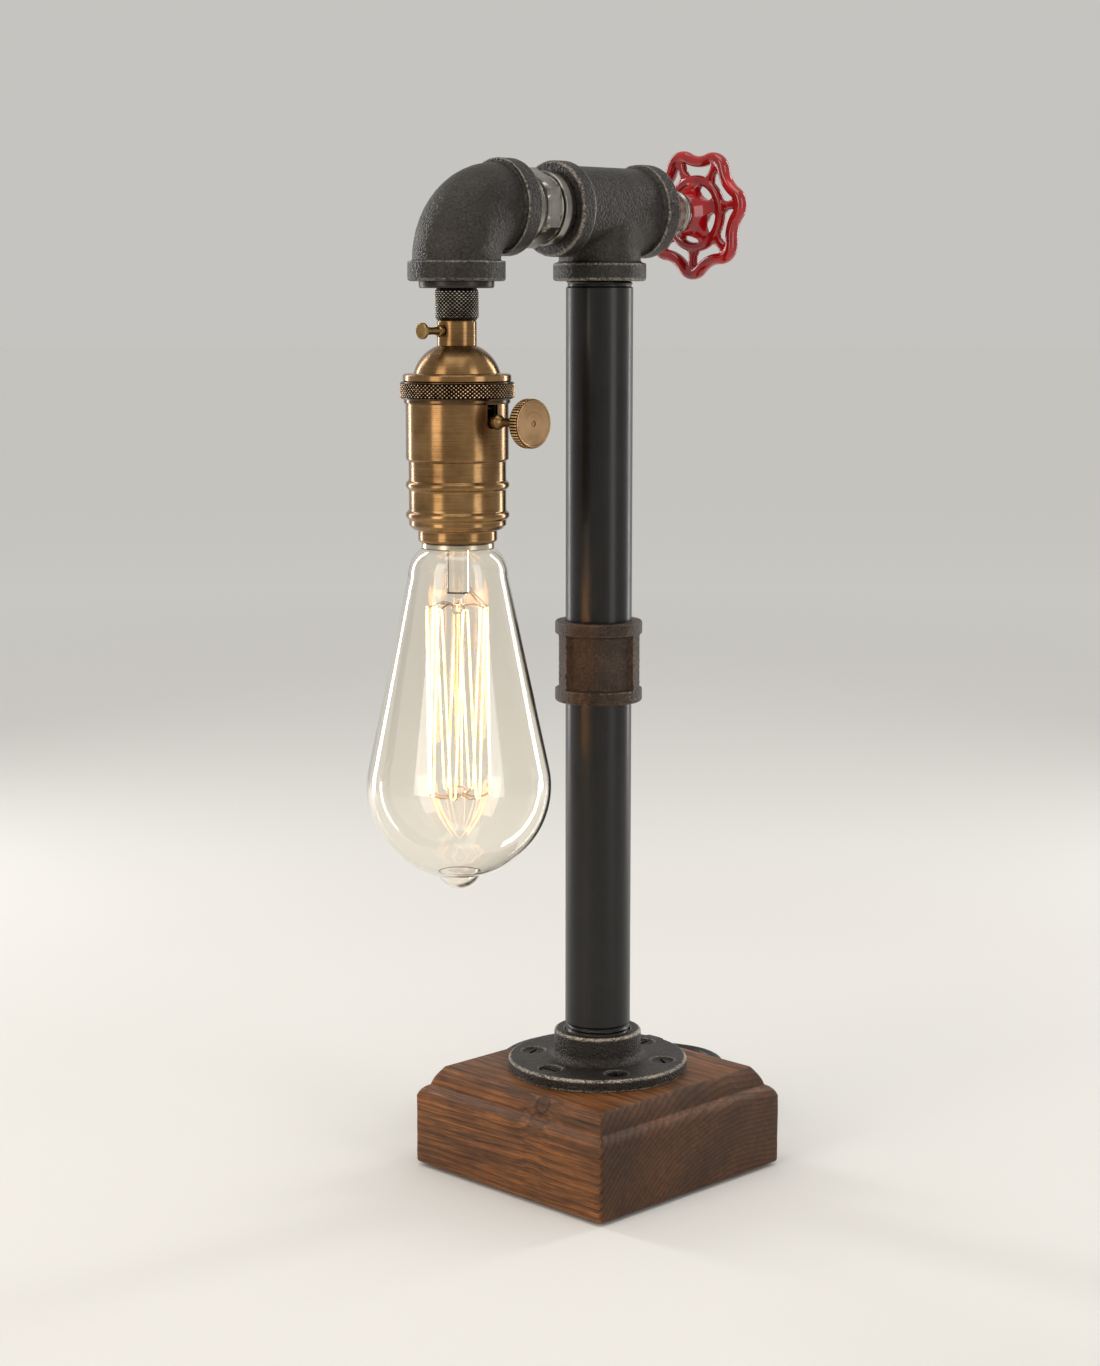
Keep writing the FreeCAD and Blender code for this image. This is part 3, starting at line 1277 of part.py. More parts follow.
def socket_leads():
    """The two conductors from the end of the cable to the terminal screws."""
    diameter, column = size.lead_diameter.value, socket_x.value
    start, top = (core_top + size.cable_end_gap).value, core_top.value
    rest, spread = top + diameter / 2 + 0.1, size.terminal_spread.value
    head = size.terminal_head_diameter.value / 2
    leads = []
    for side in (1, -1):
        near, far = column + side * diameter * 0.7, column + side * (spread - head + 0.3)
        points = [Vector(near, 0, start), Vector(near, 0, start - 2.2), Vector(far, 0, rest)]
        leads.append(tube_solid(points, diameter, diameter)[0])
    return finished_shape("socket_leads", Part.makeCompound(leads))


# ---------------------------------------------------------------- key switch

def key_stem():
    """Stem of the key, from the switch cam to the knob."""
    shank, collar = size.key_stem_diameter / 2, size.key_collar_diameter / 2
    start, end = size.key_collar_start, size.key_collar_start + size.key_collar_length
    round_out = Bend(size.key_collar_length / 1.7, LEFT)
    return turned_piece("key_stem", [
        (0, size.key_stem_start), (shank, size.key_stem_start), (shank, start), (collar - 0.7, start),
        round_out, (collar - 0.7, end), (shank, end), (shank, size.key_knob_start),
        (0, size.key_knob_start),
    ], (socket_x, 0, key_height), TO_FRONT)


def key_knob():
    """Round brass knob with a dimpled face."""
    outer, edge, dimple = size.key_knob_diameter / 2, size.key_knob_edge, size.key_dimple_diameter / 2
    start, end = size.key_knob_start, size.key_knob_start + size.key_knob_thickness
    return turned_piece("key_knob", [
        (0, start), (outer - edge, start), (outer, start + edge), (outer, end - edge), (outer - edge, end),
        (dimple, end), (0, end - dimple * 0.6),
    ], (socket_x, 0, key_height), TO_FRONT)


def switch_cam():
    """Insulating cam on the end of the stem."""
    body = new_body("switch_cam")
    half = size.cam_length / 2
    turn_profile(body, disc(size.cam_diameter / 2, -half, half))
    turn_profile(body, disc(size.key_stem_diameter / 2, half, size.key_stem_start))
    return place(body, (socket_x, 0, key_height), TO_FRONT)


# ---------------------------------------------------------------- bulb

def glass_outline(radius, neck, shrink):
    """Glass from the cap to the foot, as (radius, height below the mouth), shrunk inwards by shrink."""
    angle = size.bulb_taper
    centre = size.bulb_diameter / 2 - size.bulb_length
    slope, level = cosine(angle), sine(angle)
    belly = (radius * slope, centre + radius * level)
    cone_top = -size.bulb_shoulder_drop - shrink * level
    cone_radius = (radius - (cone_top - centre) * level) / slope
    foot = size.bulb_tip_diameter / 2 - shrink
    foot_height = centre - root(radius * radius - foot * foot)
    tip = foot_height - size.bulb_tip_height + shrink
    start = -size.bulb_neck_gap
    throat = size.bulb_throat_diameter / 2 - shrink
    return [
        (throat, lamp_cap_height / 2), (throat, 0), (neck, start),
        Bend(size.bulb_shoulder_radius - shrink, RIGHT), (cone_radius, cone_top), belly,
        Bend(radius, RIGHT), (foot, foot_height),
        Bend(size.bulb_tip_radius - shrink, RIGHT), (0, tip),
    ]


def bulb_glass():
    """Tapered glass envelope, widest near its foot, with a sealed tip."""
    wall, radius, neck = size.bulb_wall, size.bulb_diameter / 2, size.bulb_neck_diameter / 2
    outer = glass_outline(radius, neck, Size(0))
    inner = glass_outline(radius - wall, neck - wall, wall)
    points_back = [item for item in reversed(inner) if not isinstance(item, Bend)]
    bends_back = [size.bulb_tip_radius - wall, radius - wall, None, size.bulb_shoulder_radius - wall, None, None]
    inside = [points_back[0]]
    for radius_back, point in zip(bends_back, points_back[1:]):
        if radius_back is not None:
            inside.append(Bend(radius_back, LEFT))
        inside.append(point)
    return turned_piece("bulb_glass", outer + inside, (socket_x, 0, mouth_height))


def bulb_cap():
    """Lamp cap: a thin skirted shell, its thread drawn plain."""
    outer, wall, skirt = size.cap_shell_diameter / 2, size.cap_shell_wall, size.cap_skirt_diameter / 2
    low, high = -size.bulb_neck_gap, lamp_cap_height
    neck = size.bulb_neck_diameter / 2 + size.fit_gap
    throat, inner = size.cap_insulator_diameter / 2, outer - wall
    return turned_piece("bulb_cap", [
        (neck, low), (skirt, low), (skirt, -0.8), (outer, 0.8), (outer, high - 2), (throat + 1, high),
        (throat, high), (throat, high - wall), (inner, high - 2 - wall), (inner, 0.4),
        (neck, -size.bulb_neck_gap * 0.6),
    ], (socket_x, 0, mouth_height))


def bulb_insulator():
    """Black glass that insulates the lamp cap's contact."""
    throat, contact = size.cap_insulator_diameter / 2 - size.fit_gap, size.cap_contact_diameter / 2
    top = lamp_cap_height + size.cap_insulator_height
    return turned_piece("bulb_insulator", [
        (0, lamp_cap_height - 1), (throat, lamp_cap_height - 1), (throat, lamp_cap_height), (contact, top),
        (0, top),
    ], (socket_x, 0, mouth_height))


def bulb_contact():
    """Soldered contact at the end of the lamp cap."""
    base = lamp_cap_height + size.cap_insulator_height
    profile = disc(size.cap_contact_diameter / 2 - 0.5, base, base + size.cap_contact_height)
    return turned_piece("bulb_contact", profile, (socket_x, 0, mouth_height))


def bulb_stem():
    """Glass stem: a flared tube, a pinch and a rod with two buttons."""
    tube, rod, button = size.stem_tube_diameter / 2, size.stem_rod_diameter / 2, size.stem_button_diameter / 2
    flare = size.bulb_throat_diameter / 2 - size.bulb_wall
    pinch, upper = -size.stem_tube_drop, -size.cage_top
    lower = upper - size.cage_length
    bulge = Bend(button, RIGHT)
    return turned_piece("bulb_stem", [
        (0, 6), (flare, 6), (flare, 5), (tube, -2), (tube, pinch), (rod, pinch - 2), (rod, upper + 2),
        (button - 1, upper + 2), bulge, (button - 1, upper - 2), (rod, upper - 2), (rod, lower + 2),
        (button - 1, lower + 2), bulge, (button - 1, lower - 2), (0, lower - 2),
    ], (socket_x, 0, mouth_height))


def cage_point(index, radius, height, aside=0.0):
    """A point of the filament cage at a hook's direction, moved aside along the cage's circle."""
    angle = 2 * math.pi * index / (size.cage_spans.value + 1) + aside / radius
    return Vector(socket_x.value + radius * math.cos(angle), radius * math.sin(angle), height)


def cage_levels():
    """Heights of the filament's upper and lower hooks."""
    top = (mouth_height - size.cage_top).value
    return top, top - size.cage_length.value


def bulb_filament():
    """Squirrel-cage filament: one wire that zigzags over the hooks, open between its two ends."""
    top, low = cage_levels()
    reach, spans = size.cage_diameter.value / 2, int(size.cage_spans.value)
    clear = (size.support_diameter + size.filament_diameter).value / 2
    points = [cage_point(0, reach, top)]
    for index in range(1, spans):
        level = low - clear if index % 2 else top + clear
        points += [cage_point(index, reach, level, side * clear * 1.1) for side in (-1, 1)]
    points.append(cage_point(spans, reach, top))
    return finished_shape("bulb_filament", tube_solid(points, size.filament_diameter.value)[0])


def filament_supports():
    """Support wires that reach from the glass buttons to under the filament's turns."""
    top, low = cage_levels()
    thick, reach = size.support_diameter.value, size.cage_diameter.value / 2
    button = size.stem_button_diameter.value / 2
    wires = []
    for index in range(1, int(size.cage_spans.value)):
        level, bow = (low, -2.2) if index % 2 else (top, 2.2)
        points = [
            cage_point(index, button - 0.8, level + bow * 0.4),
            cage_point(index, reach * 0.6, level + bow),
            cage_point(index, reach + 0.7, level),
        ]
        wires.append(tube_solid(points, thick)[0])
    return finished_shape("filament_supports", Part.makeCompound(wires))


def bulb_leads():
    """Lead wires from the pinch out to the two ends of the filament."""
    top, _ = cage_levels()
    thick, reach, spans = size.support_diameter.value, size.cage_diameter.value / 2, size.cage_spans.value
    pinch = (mouth_height - size.stem_tube_drop).value
    edge = size.stem_tube_diameter.value / 2
    wires = []
    for index in (0, spans):
        points = [
            cage_point(index, edge - 0.6, pinch + 3.0),
            cage_point(index, edge + 1.8, pinch - 0.5),
            cage_point(index, reach, top),
        ]
        wires.append(tube_solid(points, thick)[0])
    return finished_shape("bulb_leads", Part.makeCompound(wires))


# ---------------------------------------------------------------- cord, gland and plug

def cord_gland():
    """Bushing in the base's side that the cable passes through."""
    hole, head, barrel = cable_radius + size.fit_gap, size.gland_head_diameter / 2, size.gland_barrel_diameter / 2
    length, soft = size.gland_head_length, size.band_edge
    return turned_piece("cord_gland", [
        (hole, -size.channel_wall), (barrel, -size.channel_wall), (barrel, 0), (head, 0),
        (head, length - soft), (head - soft, length), (hole, length),
    ], (size.base_side / 2, 0, size.cable_height), TO_RIGHT)


def cord_strain_relief():
    """Tapered rubber sleeve over the cord where it leaves the gland."""
    hole, start, tip = cable_radius + size.fit_gap, size.relief_root_diameter / 2, size.relief_tip_diameter / 2
    return turned_piece("cord_strain_relief", [
        (hole, 0), (start, 0), (tip, size.relief_length), (hole, size.relief_length),
    ], (size.base_side / 2 + size.gland_head_length, 0, size.cable_height), TO_RIGHT)


def free_cord(name, route):
    """A stretch of the cord that isn't coiled, along its route."""
    points = [Vector(*point) for point in route]
    tube, radii = tube_solid(points, size.cable_diameter.value)
    print(name, "bend radii:", ", ".join(f"{radius:.1f}" for radius in radii) or "straight")
    return finished_shape(name, tube)


def cord_coil():
    """Outer shape of the coil that holds the put-away length of the cord."""
    middle, half = size.coil_turn_diameter / 2, size.cable_diameter * size.coil_columns / 2
    return turned_piece("cord_coil", ring(middle - half, middle + half, 0, size.cable_diameter * size.coil_layers),
                        (size.coil_centre, size.coil_centre, 0))


def cord_tie():
    """Strap round the coil's turns, on the side away from the base."""
    body = new_body("cord_tie")
    middle, half = size.coil_turn_diameter / 2, size.cable_diameter * size.coil_columns / 2
    thick, high = size.tie_thickness, size.cable_diameter * size.coil_layers

    def section(sketch):
        draw_outline(sketch, rectangle(middle - half - thick, middle + half + thick, 0, high + thick))
        draw_outline(sketch, rectangle(middle - half, middle + half, thick, high))

    raise_profile(body, section, size.tie_width, "XZ_Plane", both_ways=True)
    return place(body, (size.coil_centre, size.coil_centre, 0))


def plug_turn():
    """Direction of the plug: its blades point the way the cord arrives."""
    before, end = Vector(*PLUG_ROUTE[-2]), Vector(*PLUG_ROUTE[-1])
    along = end - before
    return Rotation(Vector(0, 0, 1), math.degrees(math.atan2(along.y, along.x)))


def plug_body():
    """Moulded plug: a tapered entry for the cord and a body that carries the blades."""
    body = new_body("plug_body")
    nose, length, half = size.plug_nose, size.plug_length, size.plug_width / 2
    entry = size.relief_tip_diameter / 2 + 1
    outline = [
        (0, -entry), (nose, -half), (nose + length, -half), (nose + length, half), (nose, half), (0, entry),
    ]
    raise_profile(body, lambda s: draw_outline(s, outline), size.plug_thickness, both_ways=True)
    blade_y, blade_half = size.blade_spacing / 2, size.blade_thickness / 2 + size.fit_gap
    for side in (1, -1):
        hole = rectangle(
            side * blade_y - blade_half, side * blade_y + blade_half,
            -(size.blade_width / 2 + size.fit_gap), size.blade_width / 2 + size.fit_gap,
        )
        raise_profile(body, lambda s, h=hole: draw_outline(s, h), size.blade_root, "YZ_Plane",
                      nose + length, cut=True)
    fillet_edges(body, size.plug_corner, is_plug_corner)
    return place(body, PLUG_ROUTE[-1], plug_turn())


def is_plug_corner(edge):
    """Whether an edge is one of the upright outer edges of the plug's wide part."""
    box = edge.BoundBox
    upright = box.XMax - box.XMin < 0.01 and box.YMax - box.YMin < 0.01
    return upright and box.ZMax - box.ZMin > 10 and abs(box.YMin) > size.plug_width.value / 2 - 0.01


def plug_blades():
    """The plug's two flat blades."""
    body = new_body("plug_blades")
    start = size.plug_nose + size.plug_length - size.blade_root
    far, thin = start + size.blade_root + size.blade_length, size.blade_thickness / 2
    for side in (1, -1):
        middle = side * size.blade_spacing / 2
        outline = rectangle(start, far, middle - thin, middle + thin)
        raise_profile(body, lambda s, o=outline: draw_outline(s, o), size.blade_width, both_ways=True)
    return place(body, PLUG_ROUTE[-1], plug_turn())


def build_lamp():
    """Builds every sub-part, assembly by assembly."""
    stand = [
        base_block(), base_felt(), floor_flange(), flange_screws(),
        pipe("lower_pipe", lower_pipe_start, size.lower_pipe_length), pipe_coupling(),
        pipe("upper_pipe", upper_pipe_start, size.upper_pipe_length), riser_cable(),
    ]
    arm = [pipe_tee(), hex_nipple(), valve_bonnet(), gland_packing(), packing_nut(), arm_cable()]
    wheel = [wheel_stem(), handwheel(), wheel_washer(), wheel_nut()]
    head = [
        pipe_elbow(), reducing_bushing(), threaded_tube(), knurled_coupler(), socket_neck(), socket_cap(),
        union_ring(), socket_shell(), insulating_liner(), socket_core(), screw_shell(), centre_contact(),
        terminal_screws(), switch_contact(), head_cable(), socket_leads(),
    ]
    key = [key_stem(), key_knob(), switch_cam()]
    bulb = [
        bulb_glass(), bulb_cap(), bulb_insulator(), bulb_contact(), bulb_stem(), bulb_filament(),
        filament_supports(), bulb_leads(),
    ]
    cord = [
        cord_gland(), cord_strain_relief(), free_cord("power_cord", CORD_ROUTE), cord_coil(),
        free_cord("plug_lead", PLUG_ROUTE), cord_tie(), plug_body(), plug_blades(),
    ]
    return stand + arm + wheel + head + key + [thumb_screw()] + bulb + cord


def write_parts(pieces):
    """Checks every object and sub-part, then writes one file for each sub-part."""
    document.recompute()
    for item in document.Objects:
        if {"Invalid", "Error"} & set(item.State):
            raise ValueError(f"{item.Label} did not compute: {item.State}")
    for piece in pieces:
        if piece.Shape.isNull() or not piece.Shape.isValid() or not piece.Shape.Solids:
            raise ValueError(f"{piece.Label} has no valid solid")
    os.makedirs("parts", exist_ok=True)
    for piece in pieces:
        piece.Shape.exportStep(f"parts/{piece.Label}.step")
        print(f"{piece.Label}: {len(piece.Shape.Solids)} solid, {piece.Shape.Volume:.1f} mm3")


write_parts(build_lamp())
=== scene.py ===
"""Looks of an industrial pipe table lamp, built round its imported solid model.

Every piece stands in the model's own frame: +Z up, the origin under the middle of the wooden base,
the riser on the Z axis, the arm towards -X, the valve wheel on +X and the key towards -Y. Sizes are
written in millimetres and turned to metres where a mesh is made, but the studio's are in metres.
"""
from __future__ import annotations

import json
import logging
import math
from dataclasses import dataclass
from enum import Enum
from typing import Callable, Iterable, Sequence

import bmesh
import bpy
import numpy
from mathutils import Matrix, Vector, noise

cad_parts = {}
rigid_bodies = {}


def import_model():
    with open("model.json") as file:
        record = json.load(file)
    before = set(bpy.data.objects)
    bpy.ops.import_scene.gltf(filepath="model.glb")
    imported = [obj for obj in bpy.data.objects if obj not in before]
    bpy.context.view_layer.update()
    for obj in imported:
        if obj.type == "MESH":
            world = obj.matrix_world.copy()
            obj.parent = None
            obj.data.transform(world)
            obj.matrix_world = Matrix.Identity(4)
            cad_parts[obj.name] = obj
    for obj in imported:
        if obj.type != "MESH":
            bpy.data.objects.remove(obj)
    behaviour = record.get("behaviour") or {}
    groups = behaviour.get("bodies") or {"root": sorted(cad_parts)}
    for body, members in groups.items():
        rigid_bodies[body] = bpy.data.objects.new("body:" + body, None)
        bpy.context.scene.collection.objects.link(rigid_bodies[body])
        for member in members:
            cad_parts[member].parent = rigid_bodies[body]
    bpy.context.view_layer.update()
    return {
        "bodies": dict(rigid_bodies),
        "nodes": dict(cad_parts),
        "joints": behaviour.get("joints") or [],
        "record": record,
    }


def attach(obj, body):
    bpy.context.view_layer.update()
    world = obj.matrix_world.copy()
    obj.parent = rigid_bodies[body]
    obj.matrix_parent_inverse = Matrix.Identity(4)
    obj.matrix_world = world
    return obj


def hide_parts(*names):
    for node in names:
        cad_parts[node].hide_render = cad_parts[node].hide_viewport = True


LOG = logging.getLogger("pipe_lamp")
MM = 0.001
FULL_TURN = 2 * math.pi
UPWARD = Vector((0, 0, 1))
# The attribute that holds how far a casting's skin stands out of its surroundings, where finishes
# lighten edges as bare metal and as a painted highlight.
RUB_AND_HIGHLIGHT_ATTRIBUTE = "wear"
# Angles in degrees over which an edge stays sharp, on most pieces and on knurled ones.
SHARP = 38.0
KNURL_SHARP = 30.0
# Points closer than this, in metres, are one: in a made mesh, and in a solid's mesh.
SAME_POINT = 1e-6
SAME_SOLID_POINT = 2e-6
# An arc takes at most this share of each side. Its lead-in points stand this many reaches from the
# corner, where the side is long enough.
SIDE_SHARE = 0.48
LEAD = 1.6
LEAD_ROOM = 4
# Turns a casting askew while it is remeshed.
SKEW = Matrix.Rotation(0.37, 4, Vector((0.4, 0.7, 0.6)).normalized())

# Where the pieces stand, in millimetres: the arm's axis, the socket's axis, its mouth, its key and
# its thumbscrew, the tee's open ends, and the cord's way out of the base.
ARM_HEIGHT = 391.0
SOCKET_X = -77.4
MOUTH_HEIGHT = 265.2
KEY_HEIGHT = 311.0
SCREW_HEIGHT = 344.6
TEE_REACH = 27.6
CORD_EXIT = (56.65, 0.0, 15.0)
ARM_POINT = (0.0, 0.0, ARM_HEIGHT)
KEY_POINT = (SOCKET_X, 0.0, KEY_HEIGHT)
SCREW_POINT = (SOCKET_X, 0.0, SCREW_HEIGHT)

Corner = tuple[float, float, float]
Point2 = tuple[float, float]
Triple = tuple[float, float, float]
NodeTree = bpy.types.NodeTree
NodeSocket = bpy.types.NodeSocket
Piece = bpy.types.Object


class Axis(Enum):
    """Directions that a turned piece's axis can take."""

    UP = (0.0, 0.0, 1.0)
    RIGHT = (1.0, 0.0, 0.0)
    LEFT = (-1.0, 0.0, 0.0)
    FRONT = (0.0, -1.0, 0.0)


@dataclass(frozen=True)
class Seat:
    """Where a piece's own frame stands: a point in millimetres and the direction of its axis."""

    point: Triple = (0.0, 0.0, 0.0)
    axis: Axis = Axis.UP

    def placed(self, points: Iterable[Triple]) -> list[Vector]:
        """Points of the piece's own frame as points of the lamp.

        Args:
            points: positions in the piece's frame, in millimetres.

        Returns:
            The same positions in the lamp's frame, in metres.
        """
        turn = UPWARD.rotation_difference(Vector(self.axis.value))
        start = Vector(self.point)
        return [(start + turn @ Vector(point)) * MM for point in points]


SOCKET_SEAT = Seat((SOCKET_X, 0.0, 0.0))
ARM_SEAT = Seat(ARM_POINT, Axis.RIGHT)
KEY_SEAT = Seat(KEY_POINT, Axis.FRONT)
SCREW_SEAT = Seat(SCREW_POINT, Axis.LEFT)


# -------------------------------------------------------------------------------------- node trees


def linear(colour: str) -> tuple[float, float, float, float]:
    """An sRGB hex colour as linear red, green, blue and alpha."""
    parts = [int(colour[k:k + 2], 16) / 255 for k in (1, 3, 5)]
    red, green, blue = (p / 12.92 if p <= 0.04045 else ((p + 0.055) / 1.055) ** 2.4 for p in parts)
    return red, green, blue, 1.0


def add(tree: NodeTree, kind: str, *values: object, named: dict | None = None,
        output: int | str = 0, **settings: object) -> NodeSocket:
    """Adds one node with its settings and links.

    Args:
        tree: the shader or geometry tree.
        kind: the node's type name.
        values: a value or a socket for each input in use, in their order; None leaves one as it is.
        named: values or sockets for inputs by name.
        output: place or name of the output to give back.
        settings: the node's properties; stops holds a colour ramp's places and hex colours.

    Returns:
        The chosen output socket.
    """
    node = tree.nodes.new(kind)
    for name, value in settings.items():
        if name == "stops":
            elements = node.color_ramp.elements
            while len(elements) < len(value):
                elements.new(0.5)
            for element, (place, colour) in zip(elements, value):
                element.position, element.color = place, linear(colour)
        else:
            setattr(node, name, value)
    inputs = [socket for socket in node.inputs if socket.enabled]
    pairs = list(zip(inputs, values))
    pairs += [(node.inputs[name], value) for name, value in (named or {}).items()]
    for socket, value in pairs:
        if isinstance(value, NodeSocket):
            tree.links.new(value, socket)
        elif value is not None:
            socket.default_value = value
    if isinstance(output, str):
        return node.outputs[output]
    outputs = [socket for socket in node.outputs if socket.enabled]
    return outputs[output] if outputs else None


def weighed(tree: NodeTree, first: NodeSocket, share: float,
            second: NodeSocket, rest: float) -> NodeSocket:
    """Two patterns as one, each with its share."""
    return add(tree, "ShaderNodeMath", second, rest,
               add(tree, "ShaderNodeMath", first, share, operation="MULTIPLY"),
               operation="MULTIPLY_ADD")


def per_mm(millimetres: float) -> float:
    """A texture's scale for features of a size, on coordinates in metres."""
    return 1 / (millimetres * MM)


@dataclass(frozen=True)
class Finish:
    """A surface that a maker would name: what it is made of and how its surface was made."""

    name: str

    def build(self) -> bpy.types.Material:
        """The finish as a material, made once."""
        known = bpy.data.materials.get(self.name)
        if known:
            return known
        material = bpy.data.materials.new(self.name)
        material.use_nodes = True
        tree = material.node_tree
        tree.nodes.clear()
        place = add(tree, "ShaderNodeTexCoord", output="Object")
        sockets = self.dress(tree, place)
        shader = add(tree, "ShaderNodeBsdfPrincipled", named=sockets)
        add(tree, "ShaderNodeOutputMaterial", shader)
        return material

    def dress(self, tree: NodeTree, place: NodeSocket) -> dict:
        """Inputs of the principled shader, by name.

        Args:
            tree: the material's tree.
            place: object coordinates, in metres.

        Returns:
            Values and sockets for the shader's inputs.
        """
        raise NotImplementedError


@dataclass(frozen=True)
class CastIron(Finish):
    """Malleable iron from the sand mould, blackened and oiled: pebbled, with a soft sheen."""

    dark: str = "#1a1714"
    light: str = "#3a352f"
    rub_and_glint: str = "#958d83"
    grit: float = 1.0
    sheen: float = 0.34
    # How strongly outer edges are lightened: bare metal polished by handling, and a painted
    # highlight.
    wear: float = 0.9
    edge: Point2 = (0.09, 0.23)

    def dress(self, tree: NodeTree, place: NodeSocket) -> dict:
        """Pebbles of sand grit, faint clouds of oxide, and lighter outer edges: bare metal and a
        painted highlight.
        """
        cloud = add(tree, "ShaderNodeTexNoise", place, per_mm(11), 3.0, 0.6)
        grit = add(tree, "ShaderNodeTexNoise", place, per_mm(self.grit), 2.0, 0.55)
        cells = add(tree, "ShaderNodeTexVoronoi", place, None, per_mm(self.grit * 1.15),
                    feature="SMOOTH_F1", output="Distance")
        tone = weighed(tree, cloud, 0.35, grit, 0.65)
        colour = add(tree, "ShaderNodeValToRGB", tone,
                     stops=((0.36, self.dark), (0.66, self.light)))
        # Outer edges take a lighter colour, partly bare metal polished by handling and partly a
        # painted highlight.
        edge = add(tree, "ShaderNodeAttribute", output="Fac", attribute_name=RUB_AND_HIGHLIGHT_ATTRIBUTE)
        edge = add(tree, "ShaderNodeMapRange", edge, *self.edge, 0.0, 1.0)
        rubbed_and_highlit = add(tree, "ShaderNodeMapRange", tone, 0.4, 0.58, 0.1, 1.0)
        rubbed_and_highlit = add(tree, "ShaderNodeMath", edge, rubbed_and_highlit, operation="MULTIPLY")
        rubbed_and_highlit = add(tree, "ShaderNodeMath", rubbed_and_highlit, self.wear, operation="MULTIPLY")
        colour = add(tree, "ShaderNodeMix", rubbed_and_highlit, colour, linear(self.rub_and_glint), data_type="RGBA")
        rough = add(tree, "ShaderNodeMapRange", rubbed_and_highlit, 0.0, 1.0, self.sheen + 0.06,
                    self.sheen - 0.08)
        height = add(tree, "ShaderNodeMath", cells, -0.9, grit, operation="MULTIPLY_ADD")
        bump = add(tree, "ShaderNodeBump", 1.0, 0.0007, named={"Height": height})
        return {"Base Color": colour, "Metallic": 0.5, "Roughness": rough, "Normal": bump}


@dataclass(frozen=True)
class BlackPipe(Finish):
    """Drawn steel pipe under a thin black lacquer: smooth, with faint drawing marks along it."""

    dark: str = "#0b0908"
    light: str = "#1a1613"
    scribes: tuple[float, ...] = (349.0, 239.0)

    def dress(self, tree: NodeTree, place: NodeSocket) -> dict:
        """Long drawing marks, light handling scuffs and two faint lathe marks round the pipe."""
        drawn = add(tree, "ShaderNodeMapping", place, named={"Scale": (900.0, 900.0, 22.0)})
        marks = add(tree, "ShaderNodeTexNoise", drawn, 1.0, 2.0, 0.5)
        scuffs = add(tree, "ShaderNodeTexNoise", place, per_mm(24), 5.0, 0.7)
        tone = weighed(tree, marks, 0.35, scuffs, 0.65)
        height = add(tree, "ShaderNodeSeparateXYZ", place, output="Z")
        line = None
        for level in self.scribes:
            near = add(tree, "ShaderNodeMath", height, level * MM, operation="SUBTRACT")
            near = add(tree, "ShaderNodeMath", near, operation="ABSOLUTE")
            near = add(tree, "ShaderNodeMath", near, 0.0003, operation="LESS_THAN")
            line = near if line is None else add(tree, "ShaderNodeMath", line, near,
                                                 operation="ADD")
        colour = add(tree, "ShaderNodeValToRGB", tone, stops=((0.38, self.dark), (0.7, self.light)))
        scored = add(tree, "ShaderNodeMath", line, 0.6, operation="MULTIPLY")
        colour = add(tree, "ShaderNodeMix", scored, colour, linear("#050505"), data_type="RGBA")
        rough = add(tree, "ShaderNodeMapRange", tone, 0.35, 0.7, 0.3, 0.42)
        bump = add(tree, "ShaderNodeBump", 0.25, 0.00003, named={"Height": marks})
        return {"Base Color": colour, "Metallic": 0.1, "Roughness": rough, "Normal": bump,
                "Specular IOR Level": 0.35, "Coat Weight": 0.12, "Coat Roughness": 0.12}


def from_axis(tree: NodeTree, place: NodeSocket, point: Triple,
              axis: Axis) -> tuple[NodeSocket, ...]:
    """Where a place lies round an axis.

    Args:
        tree: the material's tree.
        place: object coordinates, in metres.
        point: a point of the axis, in millimetres.
        axis: its direction.

    Returns:
        The place seen from the point, the direction round the axis there, and the distance from
        the axis.
    """
    offset = add(tree, "ShaderNodeVectorMath", place, tuple(value * MM for value in point),
                 operation="SUBTRACT")
    around = add(tree, "ShaderNodeVectorMath", axis.value, offset, operation="CROSS_PRODUCT")
    reach = add(tree, "ShaderNodeVectorMath", around, operation="LENGTH", output="Value")
    return offset, around, reach


@dataclass(frozen=True)
class TurnedMetal(Finish):
    """Bare or aged metal with the marks of turning or brushing round its axis.

    The axis passes through a point, in millimetres, and the marks run round it, a fraction of a
    millimetre apart.
    """

    dark: str = "#5d4127"
    light: str = "#a98457"
    point: Triple = (SOCKET_X, 0.0, 0.0)
    axis: Axis = Axis.UP
    roughness: float = 0.26
    marks: float = 0.2
    stain: float = 16.0
    brushed: float = 0.6

    def dress(self, tree: NodeTree, place: NodeSocket) -> dict:
        """Fine lines round the axis over slow clouds of tarnish, and their long highlights."""
        offset, around, reach = from_axis(tree, place, self.point, self.axis)
        along = add(tree, "ShaderNodeVectorMath", offset, self.axis.value, operation="DOT_PRODUCT",
                    output="Value")
        rings = add(tree, "ShaderNodeCombineXYZ", reach, along, 0.0)
        drift = add(tree, "ShaderNodeVectorMath", offset, (70.0, 70.0, 70.0), operation="MULTIPLY")
        rings = add(tree, "ShaderNodeVectorMath", rings, (per_mm(self.marks),) * 3, drift,
                    operation="MULTIPLY_ADD")
        lines = add(tree, "ShaderNodeTexNoise", rings, 1.0, 3.0, 0.7)
        cloud = add(tree, "ShaderNodeTexNoise", place, per_mm(self.stain), 4.0, 0.62)
        tone = weighed(tree, lines, 0.34, cloud, 0.66)
        colour = add(tree, "ShaderNodeValToRGB", tone,
                     stops=((0.36, self.dark), (0.62, self.light)))
        rough = add(tree, "ShaderNodeMapRange", tone, 0.3, 0.7, self.roughness + 0.08,
                    self.roughness - 0.04)
        bump = add(tree, "ShaderNodeBump", 0.16, 0.00002, named={"Height": lines})
        grain = add(tree, "ShaderNodeVectorMath", around, operation="NORMALIZE")
        grain = add(tree, "ShaderNodeVectorTransform", grain, vector_type="VECTOR",
                    convert_from="OBJECT", convert_to="WORLD")
        return {"Base Color": colour, "Metallic": 1.0, "Roughness": rough, "Normal": bump,
                "Tangent": grain, "Anisotropic": self.brushed, "Anisotropic Rotation": 0.25}


